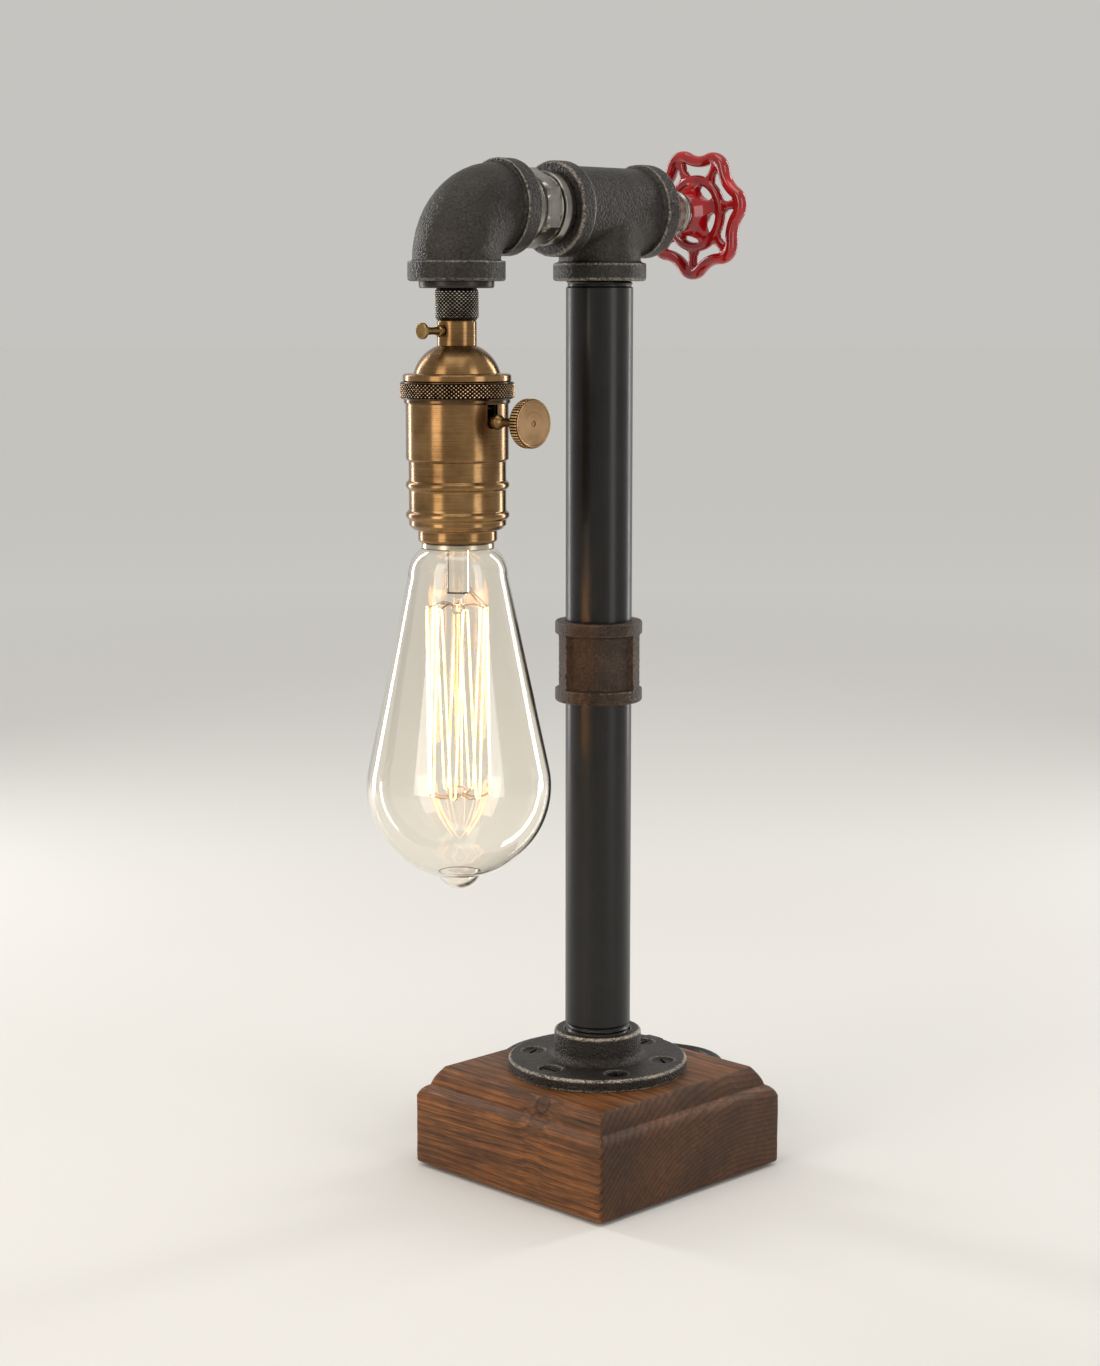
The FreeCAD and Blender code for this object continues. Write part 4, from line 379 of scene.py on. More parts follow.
@dataclass(frozen=True)
class KnurledMetal(Finish):
    """Knurled metal: dark patina and painted shade down in the grooves, bright tips that are
    polished metal and painted glints.
    """

    groove: str = "#1d1610"
    tip: str = "#a8895c"
    point: Triple = (SOCKET_X, 0.0, 0.0)
    axis: Axis = Axis.UP
    root_radius: float = 21.3
    tip_radius: float = 21.9
    wear_shade_and_glint_stops: Point2 = (0.36, 0.82)
    roughness: float = 0.22

    def dress(self, tree: NodeTree, place: NodeSocket) -> dict:
        """Brightness grows with the distance from the piece's axis, which paints shade into the
        grooves and glints on the tips.
        """
        reach = from_axis(tree, place, self.point, self.axis)[2]
        rub_and_glint = add(tree, "ShaderNodeMapRange", reach, self.root_radius * MM, self.tip_radius * MM,
                  0.0, 1.0)
        cloud = add(tree, "ShaderNodeTexNoise", place, per_mm(3.0), 3.0, 0.6)
        cloud = add(tree, "ShaderNodeMapRange", cloud, 0.3, 0.7, 0.7, 1.15)
        rub_and_glint = add(tree, "ShaderNodeMath", rub_and_glint, cloud, operation="MULTIPLY")
        # Groove colour: patina and painted shade. Tip colour: polished metal and painted glint.
        colour = add(tree, "ShaderNodeValToRGB", rub_and_glint,
                     stops=tuple(zip(self.wear_shade_and_glint_stops, (self.groove, self.tip))))
        rough = add(tree, "ShaderNodeMapRange", rub_and_glint, 0.0, 0.8, self.roughness + 0.25,
                    self.roughness)
        return {"Base Color": colour, "Metallic": 1.0, "Roughness": rough}


@dataclass(frozen=True)
class RedEnamel(Finish):
    """Stove enamel on cast iron: deep gloss red that has flowed thin over the casting's edges."""

    thin: str = "#82060a"
    full: str = "#a80a10"

    def dress(self, tree: NodeTree, place: NodeSocket) -> dict:
        """A wavy gloss coat over a slightly uneven red."""
        cloud = add(tree, "ShaderNodeTexNoise", place, per_mm(9), 3.0, 0.55)
        wave = add(tree, "ShaderNodeTexNoise", place, per_mm(2.4), 2.0, 0.5)
        colour = add(tree, "ShaderNodeValToRGB", cloud,
                     stops=((0.35, self.thin), (0.62, self.full)))
        bump = add(tree, "ShaderNodeBump", 0.15, 0.00012, named={"Height": wave})
        return {"Base Color": colour, "Metallic": 0.0, "Roughness": 0.09, "Normal": bump,
                "Coat Weight": 0.35, "Coat Roughness": 0.03}


@dataclass(frozen=True)
class StainedPine(Finish):
    """Walnut-stained pine from one board: rings on its end grain, long figure elsewhere."""

    early: str = "#92592a"
    middle: str = "#5f3918"
    late: str = "#251408"
    ring: float = 2.1
    pith: Point2 = (34.0, -64.0)
    knot: Triple = (-47.0, -15.0, 39.0)
    knot_radius: float = 2.4

    def dress(self, tree: NodeTree, place: NodeSocket) -> dict:
        """Growth rings round a pith along Y, bent round one knot, with fibres and a stain."""
        sway = add(tree, "ShaderNodeMapping", place, named={"Scale": (22.0, 5.0, 22.0)})
        sway = add(tree, "ShaderNodeTexNoise", sway, 1.0, 3.0, 0.55, output="Color")
        sway = add(tree, "ShaderNodeVectorMath", sway, (0.5, 0.5, 0.5), operation="SUBTRACT")
        sway = add(tree, "ShaderNodeVectorMath", sway, (0.009, 0.0, 0.009), operation="MULTIPLY")
        swayed = add(tree, "ShaderNodeVectorMath", place, sway, operation="ADD")
        swayed, radius, near = self.growth(tree, swayed)
        rings = add(tree, "ShaderNodeMath", radius, per_mm(self.ring), operation="MULTIPLY")
        rings = add(tree, "ShaderNodeMath", rings, operation="FRACT")
        rings = add(tree, "ShaderNodeMath", rings, 2.2, operation="POWER")
        fibres = add(tree, "ShaderNodeMapping", swayed, named={"Scale": (1500.0, 42.0, 1500.0)})
        fibres = add(tree, "ShaderNodeTexNoise", fibres, 1.0, 4.0, 0.7)
        streaks = add(tree, "ShaderNodeMapping", swayed, named={"Scale": (420.0, 14.0, 420.0)})
        streaks = add(tree, "ShaderNodeTexNoise", streaks, 1.0, 3.0, 0.6)
        tone = weighed(tree, fibres, 0.62, streaks, 0.38)
        ringed = add(tree, "ShaderNodeMath", rings, 0.1, -0.03, operation="MULTIPLY_ADD")
        tone = add(tree, "ShaderNodeMath", tone, ringed, operation="ADD")
        facing = add(tree, "ShaderNodeTexCoord", output="Normal")
        facing = add(tree, "ShaderNodeSeparateXYZ", facing, output="Y")
        facing = add(tree, "ShaderNodeMath", facing, operation="ABSOLUTE")
        flat = add(tree, "ShaderNodeMath", rings, 0.17, 0.47, operation="MULTIPLY_ADD")
        closed = add(tree, "ShaderNodeMapRange", facing, 0.3, 0.9, 0.0, 0.5)
        tone = add(tree, "ShaderNodeMix", closed, tone, flat, data_type="FLOAT")
        colour = add(tree, "ShaderNodeValToRGB", tone,
                     stops=((0.36, self.early), (0.52, self.middle), (0.7, self.late)))
        stain = add(tree, "ShaderNodeTexNoise", place, per_mm(30), 4.0, 0.6)
        stain = add(tree, "ShaderNodeMapRange", stain, 0.32, 0.68, 1.3, 0.6)
        drink = add(tree, "ShaderNodeMapRange", facing, 0.3, 0.9, 1.0, 0.45)
        shade = add(tree, "ShaderNodeMath", stain, drink, operation="MULTIPLY")
        # Edges are lightened, partly stain thinned by handling and sanding, partly a painted
        # highlight along the moulding.
        edge = add(tree, "ShaderNodeNewGeometry", output="Pointiness")
        edge = add(tree, "ShaderNodeMapRange", edge, 0.52, 0.6, 1.0, 1.7)
        shade = add(tree, "ShaderNodeMath", shade, edge, operation="MULTIPLY")
        knotted = add(tree, "ShaderNodeMapRange", near, 0.0, 1.0, 1.0, 0.22)
        shade = add(tree, "ShaderNodeMath", shade, knotted, operation="MULTIPLY")
        colour = add(tree, "ShaderNodeVectorMath", colour, operation="SCALE",
                     named={"Scale": shade})
        rough = add(tree, "ShaderNodeMapRange", tone, 0.3, 0.8, 0.4, 0.58)
        bump = add(tree, "ShaderNodeBump", 0.5, 0.00012, named={"Height": tone}, invert=True)
        return {"Base Color": colour, "Roughness": rough, "Normal": bump, "Specular IOR Level": 0.3,
                "Coat Weight": 0.05, "Coat Roughness": 0.35}

    def growth(self, tree: NodeTree, swayed: NodeSocket) -> tuple[NodeSocket, ...]:
        """The board's grain, flowing round its knot.

        Args:
            tree: the material's tree.
            swayed: positions in the board, in metres.

        Returns:
            Positions in the undisturbed grain, their distance from the pith, and the knot's
            darkness.
        """
        kx, ky, kz = (value * MM for value in self.knot)
        knot = add(tree, "ShaderNodeVectorMath", swayed, (kx, ky, kz), operation="SUBTRACT")
        knot = add(tree, "ShaderNodeMapping", knot,
                   named={"Rotation": (0.0, math.radians(40), 0.0), "Scale": (1.0, 0.75, 0.15)})
        reach = add(tree, "ShaderNodeVectorMath", knot, operation="LENGTH", output="Value")
        pull = add(tree, "ShaderNodeMapRange", reach, self.knot_radius * MM, 0.011,
                   -self.knot_radius * MM, 0.0, interpolation_type="SMOOTHERSTEP")
        away = add(tree, "ShaderNodeVectorMath", knot, operation="NORMALIZE")
        away = add(tree, "ShaderNodeVectorMath", away, operation="SCALE", named={"Scale": pull})
        swayed = add(tree, "ShaderNodeVectorMath", swayed, away, operation="ADD")
        x, z = self.pith
        flat = add(tree, "ShaderNodeMapping", swayed,
                   named={"Location": (-x * MM, 0.0, -z * MM), "Scale": (1.0, 0.0, 1.0)})
        radius = add(tree, "ShaderNodeVectorMath", flat, operation="LENGTH", output="Value")
        bark = add(tree, "ShaderNodeMath", reach, self.knot_radius * MM, operation="SUBTRACT")
        bark = add(tree, "ShaderNodeMath", bark, operation="ABSOLUTE")
        near = add(tree, "ShaderNodeMapRange", bark, 0.0, 0.001, 1.0, 0.0)
        core = add(tree, "ShaderNodeMapRange", reach, 0.0, self.knot_radius * MM, 0.9, 0.35)
        inside = add(tree, "ShaderNodeMath", reach, self.knot_radius * MM, operation="LESS_THAN")
        core = add(tree, "ShaderNodeMath", core, inside, operation="MULTIPLY")
        near = add(tree, "ShaderNodeMath", near, core, operation="MAXIMUM")
        return swayed, radius, near


@dataclass(frozen=True)
class Moulded(Finish):
    """Plastic, rubber, fibre or felt, moulded or pressed: an even colour with a fine grain."""

    colour: str = "#131313"
    shade: str = "#070707"
    roughness: float = 0.5
    grain: float = 0.5
    depth: float = 0.03
    sheen: float = 0.0

    def dress(self, tree: NodeTree, place: NodeSocket) -> dict:
        """A fine grain over a faint unevenness."""
        cloud = add(tree, "ShaderNodeTexNoise", place, per_mm(11), 3.0, 0.6)
        grain = add(tree, "ShaderNodeTexNoise", place, per_mm(self.grain), 2.0, 0.6)
        tone = weighed(tree, grain, 0.4, cloud, 0.6)
        colour = add(tree, "ShaderNodeValToRGB", tone,
                     stops=((0.35, self.shade), (0.65, self.colour)))
        rough = add(tree, "ShaderNodeMapRange", tone, 0.3, 0.7, self.roughness + 0.06,
                    self.roughness - 0.06)
        bump = add(tree, "ShaderNodeBump", 0.6, self.depth * MM, named={"Height": grain})
        return {"Base Color": colour, "Roughness": rough, "Normal": bump,
                "Sheen Weight": self.sheen}


@dataclass(frozen=True)
class BlownGlass(Finish):
    """Blown soda glass, with the faint amber that such lamps are tinted."""

    tint: str = "#fffcf5"

    def dress(self, tree: NodeTree, place: NodeSocket) -> dict:
        """Clear and smooth, with the slow waves of mould-blown glass."""
        wave = add(tree, "ShaderNodeTexNoise", place, per_mm(30), 1.0, 0.4)
        bump = add(tree, "ShaderNodeBump", 0.2, 0.0004, named={"Height": wave})
        return {"Base Color": linear(self.tint), "Roughness": 0.0, "IOR": 1.5,
                "Transmission Weight": 1.0, "Normal": bump}


@dataclass(frozen=True)
class GlowingWire(Finish):
    """Carbon or tungsten wire run warm: its own light is what the eye sees."""

    cool: str = "#ffa044"
    glow: str = "#ffba6b"
    strength: float = 11.0

    def dress(self, tree: NodeTree, place: NodeSocket) -> dict:
        """The light varies a little along the wire."""
        cloud = add(tree, "ShaderNodeTexNoise", place, per_mm(6), 2.0, 0.5)
        colour = add(tree, "ShaderNodeValToRGB", cloud, stops=((0.3, self.cool), (0.6, self.glow)))
        return {"Base Color": linear("#3a2a1a"), "Roughness": 0.5, "Emission Color": colour,
                "Emission Strength": self.strength}


@dataclass(frozen=True)
class StudioPaint(Finish):
    """Matt floor paint."""

    colour: str = "#e6e4e0"
    far: str = "#fdfdfc"

    def dress(self, tree: NodeTree, place: NodeSocket) -> dict:
        """Plain and barely uneven, and paler far away, where the lamps no longer reach."""
        cloud = add(tree, "ShaderNodeTexNoise", place, 2.0, 2.0, 0.5)
        tone = add(tree, "ShaderNodeValToRGB", cloud, stops=((0.0, "#e0deda"), (1.0, self.colour)))
        away = add(tree, "ShaderNodeVectorMath", place, operation="LENGTH", output="Value")
        away = add(tree, "ShaderNodeMapRange", away, 0.45, 2.2, 0.0, 1.0)
        tone = add(tree, "ShaderNodeMix", away, tone, linear(self.far), data_type="RGBA")
        return {"Base Color": tone, "Roughness": 0.85, "Specular IOR Level": 0.2}


IRON = CastIron("cast_iron_oiled")
# The coupling's iron is browner and warmer: partly brown oxide, partly painted warm light from the
# bulb.
BROWN_AND_BULB_LIT_IRON = CastIron("cast_iron_brown_and_bulb_lit", dark="#1f1711", light="#4a392c", rub_and_glint="#94785f", grit=0.95,
                     wear=0.7)
# The flange's edges are lightened more: bare metal and a painted highlight.
FLANGE_IRON = CastIron("cast_iron_flange", dark="#1a1613", light="#3b342e", rub_and_glint="#b3a899",
                       grit=0.85, wear=1.0, edge=(0.06, 0.18))
PIPE = BlackPipe("black_steel_pipe")
BLACK_STEEL = TurnedMetal("black_steel_turned", dark="#2b2927", light="#4b4743", roughness=0.38)
NICKEL = TurnedMetal("nickel_plated", dark="#6a6762", light="#aca8a1", point=ARM_POINT,
                     axis=Axis.RIGHT, roughness=0.22, brushed=0.4)
ZINC = TurnedMetal("steel_zinc_plated", dark="#6d6a66", light="#a9a6a0", point=ARM_POINT,
                   axis=Axis.RIGHT, roughness=0.3)
# The screw heads are coloured near black.
SCREW_STEEL = TurnedMetal("screw_steel_near_black", dark="#15120f", light="#3a332d",
                          point=(0.0, 0.0, 0.0), roughness=0.42, brushed=0.0)
AGED_BRASS = TurnedMetal("brass_antique_brushed", dark="#4f3620", light="#9d7b52", roughness=0.25,
                         stain=26.0, brushed=0.8)
RAW_BRASS = TurnedMetal("brass_raw_turned", dark="#917150", light="#c9a37a", point=KEY_POINT,
                        axis=Axis.FRONT, roughness=0.3, marks=0.22)
STEM_BRASS = TurnedMetal("brass_dark_turned", dark="#453120", light="#876a42", point=KEY_POINT,
                         axis=Axis.FRONT, roughness=0.28)
SCREW_BRASS = TurnedMetal("brass_screw_turned", dark="#54402a", light="#a68655", point=SCREW_POINT,
                          axis=Axis.LEFT, roughness=0.26)
BRONZE = TurnedMetal("bronze_turned", dark="#2c1f14", light="#6b523a", roughness=0.22)
# Knurled finishes paint shade into the grooves and glints on the teeth's tips.
RING_BRONZE = KnurledMetal("bronze_knurled", groove="#0e0a07", tip="#dcb68c", root_radius=21.35,
                           tip_radius=21.8, wear_shade_and_glint_stops=(0.42, 0.92))
GUNMETAL = KnurledMetal("gunmetal_knurled", groove="#1a1815", tip="#c4bcb0", root_radius=7.9,
                        tip_radius=8.35, wear_shade_and_glint_stops=(0.24, 0.74))
KNOB_BRASS = KnurledMetal("brass_raw_knurled", groove="#2a1b0c", tip="#deb47a", point=KEY_POINT,
                          axis=Axis.FRONT, root_radius=8.75, tip_radius=9.2)
ENAMEL = RedEnamel("red_stove_enamel")
PINE = StainedPine("pine_walnut_stained")
GLASS = BlownGlass("glass_amber_blown")
STEM_GLASS = BlownGlass("glass_clear_drawn", tint="#fffaf2")
GLOW = GlowingWire("filament_glowing")
NICKEL_WIRE = TurnedMetal("nickel_wire", dark="#6b5a46", light="#b59c7c", roughness=0.3,
                          brushed=0.0)
CAP_METAL = TurnedMetal("aluminium_cap", dark="#9a8e7a", light="#cfc4b0", roughness=0.28)
BLADE_BRASS = TurnedMetal("brass_blade_stamped", dark="#8d7344", light="#c7ab74", roughness=0.26,
                          marks=0.6, brushed=0.0)
FLEX = Moulded("pvc_flex_black", colour="#161514", shade="#0b0a0a", roughness=0.42, grain=0.6,
               depth=0.02)
RUBBER = Moulded("rubber_black", colour="#1a1918", shade="#0d0c0c", roughness=0.6, grain=0.8,
                 depth=0.04)
FELT = Moulded("felt_dark", colour="#24221f", shade="#12110f", roughness=0.95, grain=0.7,
               depth=0.35, sheen=0.4)
PHENOLIC = Moulded("phenolic_moulded", colour="#1c1512", shade="#0f0b09", roughness=0.3)
FIBRE = Moulded("fibre_paper_pressed", colour="#5b4330", shade="#3c2b1e", roughness=0.8, grain=0.9,
                depth=0.08)
BLACK_GLASS = Moulded("glass_black", colour="#0a0a0a", shade="#040404", roughness=0.12)
LEAD_SLEEVE = Moulded("lead_sleeve_white", colour="#b9b4a8", shade="#98938a", roughness=0.5)


# -------------------------------------------------------------------------------------- mesh tools


def bands(rows: int, around: int, closed: bool) -> list[tuple[int, ...]]:
    """Faces between rows of points that each run once round a shape.

    Args:
        rows: number of rows.
        around: points in a row.
        closed: whether the last row joins the first.

    Returns:
        The corner numbers of each face.
    """
    faces = []
    for row in range(rows if closed else rows - 1):
        low, high = row * around, (row + 1) % rows * around
        for step in range(around):
            following = (step + 1) % around
            faces.append((low + step, low + following, high + following, high + step))
    return faces


def object_of(name: str, points: Sequence[Vector], faces: Sequence[Sequence[int]], finish: Finish,
              sharp: float = SHARP) -> Piece:
    """A mesh object at the origin, with its doubles merged and its faces turned outwards.

    Args:
        name: the piece's name.
        points: corners, in metres.
        faces: corner numbers of each face.
        finish: the piece's surface.
        sharp: angle in degrees over which an edge stays sharp.

    Returns:
        The new object.
    """
    mesh = bpy.data.meshes.new(name)
    mesh.from_pydata([tuple(point) for point in points], [], [list(face) for face in faces])
    work = bmesh.new()
    work.from_mesh(mesh)
    bmesh.ops.remove_doubles(work, verts=work.verts, dist=SAME_POINT)
    bmesh.ops.recalc_face_normals(work, faces=work.faces)
    work.to_mesh(mesh)
    work.free()
    return dressed(bpy.data.objects.new(name, mesh), finish, sharp)


def dressed(piece: Piece, finish: Finish, sharp: float = SHARP) -> Piece:
    """Links a mesh object into the scene with one finish and smooth shading.

    Args:
        piece: the mesh object.
        finish: its surface.
        sharp: the angle in degrees past which an edge stays sharp.

    Returns:
        The piece.
    """
    if piece.name not in bpy.context.scene.collection.all_objects:
        bpy.context.scene.collection.objects.link(piece)
    piece.data.materials.clear()
    piece.data.materials.append(finish.build())
    piece.data.polygons.foreach_set("use_smooth", [True] * len(piece.data.polygons))
    piece.data.set_sharp_from_angle(angle=math.radians(sharp))
    return piece


def rounded(corners: Sequence[Corner], closed: bool = True, steps: int = 5) -> list[Point2]:
    """An outline with its corners rounded.

    A corner is its two distances and its rounding. A point is added on each side of an arc, so that
    the shading of the flat beside it stays flat.

    Args:
        corners: the outline's corners, in order.
        closed: whether the last corner joins the first.
        steps: stretches in each arc.

    Returns:
        The rounded outline's points.
    """
    points: list[Point2] = []
    for index, (across, up, soft) in enumerate(corners):
        here = Vector((across, up))
        if soft <= 0 or (not closed and index in (0, len(corners) - 1)):
            points.append((across, up))
            continue
        before = Vector(corners[index - 1][:2]) - here
        after = Vector(corners[(index + 1) % len(corners)][:2]) - here
        near, far = before.length, after.length
        before.normalize()
        after.normalize()
        half = before.angle(after) / 2
        reach = min(soft / math.tan(half), near * SIDE_SHARE, far * SIDE_SHARE)
        radius = reach * math.tan(half)
        centre = here + (before + after).normalized() * (radius / math.sin(half))
        if near > reach * LEAD_ROOM:
            points.append(tuple(here + before * reach * LEAD))
        start, end = here + before * reach - centre, here + after * reach - centre
        sweep = start.angle_signed(end)
        for step in range(steps + 1):
            turn = Matrix.Rotation(-sweep * step / steps, 2)
            points.append(tuple(centre + turn @ start))
        if far > reach * LEAD_ROOM:
            points.append(tuple(here + after * reach * LEAD))
    return points


def level_point(angle: float, reach: float = 1.0) -> Vector:
    """The point of a level plane at an angle in radians and a distance from its middle."""
    return Vector((reach * math.cos(angle), reach * math.sin(angle), 0.0))


def arc(centre: Point2, radius: float, start: float, end: float, steps: int) -> list[Corner]:
    """Points of an arc as unrounded corners, with its angles in degrees from outwards."""
    angles = [math.radians(start + (end - start) * k / steps) for k in range(steps + 1)]
    return [(centre[0] + radius * math.cos(a), centre[1] + radius * math.sin(a), 0.0)
            for a in angles]


def turned(name: str, corners: Sequence[Corner], seat: Seat, finish: Finish, steps: int = 96,
           closed: bool = True, limit: Callable[[float], float] | None = None) -> Piece:
    """A piece turned on a lathe.

    Args:
        name: the piece's name.
        corners: its outline as radius, height and rounding.
        seat: where its axis stands.
        finish: its surface.
        steps: facets round the piece.
        closed: whether the outline closes on itself; an open one starts and ends on the axis.
        limit: the largest radius in each direction, as for a hexagon.

    Returns:
        The new object.
    """
    outline = rounded(corners, closed)
    points: list[Triple] = []
    for radius, height in outline:
        for step in range(steps):
            angle = FULL_TURN * step / steps
            reach = radius if limit is None else min(radius, limit(angle))
            points.append((reach * math.cos(angle), reach * math.sin(angle), height))
    return object_of(name, seat.placed(points), bands(len(outline), steps, closed), finish)


def hexagon(flats: float, turn: float = 0.0) -> Callable[[float], float]:
    """How far a hexagon reaches in each direction, for its size across the flats."""

    def reach(angle: float) -> float:
        """Distance from the axis to the nearest flat in a direction."""
        step = (angle - turn + math.pi / 6) % (math.pi / 3) - math.pi / 6
        return flats / 2 / math.cos(step)

    return reach


def swept(name: str, centres: Sequence[Vector], sides: Sequence[Vector], ups: Sequence[Vector],
          sections: Sequence[Point2], finish: Finish, closed: bool, around: int = 20,
          power: float = 2.0) -> Piece:
    """A bar along a line, with an oval section that may change.

    Args:
        name: the piece's name.
        centres: the line's points, in millimetres.
        sides: the section's first direction at each point.
        ups: the section's second direction at each point.
        sections: half sizes along both directions at each point.
        finish: its surface.
        closed: whether the line closes on itself; an open bar is capped.
        around: facets round the section.
        power: 2 for an oval, more for a squarer section.

    Returns:
        The new object.
    """
    points = []
    for centre, side, up, (wide, high) in zip(centres, sides, ups, sections):
        for step in range(around):
            angle = FULL_TURN * step / around
            cosine, sine = math.cos(angle), math.sin(angle)
            across = math.copysign(abs(cosine) ** (2 / power), cosine)
            above = math.copysign(abs(sine) ** (2 / power), sine)
            points.append((centre + side * wide * across + up * high * above) * MM)
    rows = len(centres)
    faces = bands(rows, around, closed)
    if not closed:
        faces.append(tuple(range(around)))
        faces.append(tuple(range((rows - 1) * around, rows * around)))
    return object_of(name, points, faces, finish)


def evaluated(piece: Piece) -> Piece:
    """Makes a piece's modifiers part of its mesh."""
    graph = bpy.context.evaluated_depsgraph_get()
    mesh = bpy.data.meshes.new_from_object(piece.evaluated_get(graph), depsgraph=graph)
    piece.modifiers.clear()
    piece.data = mesh
    return piece


def joined(name: str, pieces: Sequence[Piece], finish: Finish | None = None,
           sharp: float = SHARP) -> Piece:
    """Several mesh objects as one, each with its own finish unless one is given for all.

    Args:
        name: the new piece's name.
        pieces: the mesh objects, which are deleted.
        finish: the one finish, if any.
        sharp: as for dressed.

    Returns:
        The new piece.
    """
    work = bmesh.new()
    materials: list[bpy.types.Material] = []
    for piece in pieces:
        material = piece.data.materials[0]
        if material not in materials:
            materials.append(material)
        first = len(work.faces)
        work.from_mesh(piece.data)
        work.faces.ensure_lookup_table()
        for face in work.faces[first:]:
            face.material_index = materials.index(material)
    mesh = bpy.data.meshes.new(name)
    work.to_mesh(mesh)
    work.free()
    for piece in pieces:
        bpy.data.objects.remove(piece)
    for material in materials:
        mesh.materials.append(material)
    whole = bpy.data.objects.new(name, mesh)
    if finish is not None:
        return dressed(whole, finish, sharp)
    bpy.context.scene.collection.objects.link(whole)
    mesh.set_sharp_from_angle(angle=math.radians(sharp))
    return whole


def cast(piece: Piece, finish: Finish, voxel: float, passes: int, grit: float,
         relief: float, seed: float) -> Piece:
    """Softens a closed shape as a sand mould does, and roughens its skin.

    The shape is remeshed askew, so that no face or plane of symmetry lies along the voxels.

    Args:
        piece: the closed mesh object.
        finish: its surface.
        voxel: size of the remeshed faces, in millimetres.
        passes: smoothing passes.
        grit: size of the skin's pebbles, in millimetres.
        relief: height of the pebbles, in millimetres.
        seed: shifts the pebbles.

    Returns:
        The same object with its new mesh.
    """
    piece.data.transform(SKEW)
    remesh = piece.modifiers.new("mould", "REMESH")
    remesh.mode = "VOXEL"
    remesh.voxel_size = voxel * MM
    remesh.adaptivity = 0.0
    soften = piece.modifiers.new("soften", "SMOOTH")
    soften.factor = 0.5
    soften.iterations = passes
    evaluated(piece)
    piece.data.transform(SKEW.inverted())
    mark_edges(piece)
    if relief > 0:
        offset = Vector((seed, seed * 0.7, -seed))
        outward = [vertex.normal.copy() for vertex in piece.data.vertices]
        for vertex, normal in zip(piece.data.vertices, outward):
            spot = vertex.co / (grit * MM) + offset
            vertex.co += normal * (noise.noise(spot) + 0.5 * noise.noise(spot * 2.1)) * relief * MM
    return dressed(piece, finish, 180.0)


def mark_edges(piece: Piece, passes: int = 8) -> None:
    """Keeps in the mesh how far each point stands out of its surroundings, in millimetres.

    Outer edges stand out most: that is where handling polishes a casting bright, and where finishes
    paint a highlight.

    Args:
        piece: the mesh object.
        passes: how often the surroundings are averaged, which sets how wide they are.
    """
    mesh = piece.data
    count = len(mesh.vertices)
    spots, normals = numpy.empty(count * 3), numpy.empty(count * 3)
    ends = numpy.empty(len(mesh.edges) * 2, dtype=numpy.int32)
    mesh.vertices.foreach_get("co", spots)
    mesh.vertex_normals.foreach_get("vector", normals)
    mesh.edges.foreach_get("vertices", ends)
    first, second = ends[0::2], ends[1::2]
    around = numpy.maximum(numpy.bincount(ends, minlength=count), 1)
    stands_out = numpy.zeros(count)
    for axis in range(3):
        level = spots[axis::3]
        for _ in range(passes):
            level = (numpy.bincount(first, level[second], count)
                     + numpy.bincount(second, level[first], count)) / around
        stands_out += (spots[axis::3] - level) * normals[axis::3] / MM
    mesh.attributes.new(RUB_AND_HIGHLIGHT_ATTRIBUTE, "FLOAT", "POINT").data.foreach_set("value", stands_out)


def copy_of_node(frame: dict, node: str, name: str) -> Piece:
    """A merged copy of a CAD node's mesh, ready to be worked on."""
    mesh = frame["nodes"][node].data.copy()
    work = bmesh.new()
    work.from_mesh(mesh)
    bmesh.ops.remove_doubles(work, verts=work.verts, dist=SAME_SOLID_POINT)
    work.to_mesh(mesh)
    work.free()
    mesh.name = name
    piece = bpy.data.objects.new(name, mesh)
    bpy.context.scene.collection.objects.link(piece)
    return piece


def cut_out(piece: Piece, cutter: Piece) -> Piece:
    """Takes one closed shape away from another.

    Args:
        piece: the shape that is cut.
        cutter: the shape taken away, which is deleted.

    Returns:
        The cut piece.
    """
    cut = piece.modifiers.new("cut", "BOOLEAN")
    cut.operation = "DIFFERENCE"
    cut.solver = "EXACT"
    cut.object = cutter
    evaluated(piece)
    bpy.data.objects.remove(cutter)
    return piece


# --------------------------------------------------------------------------------- repeated shapes


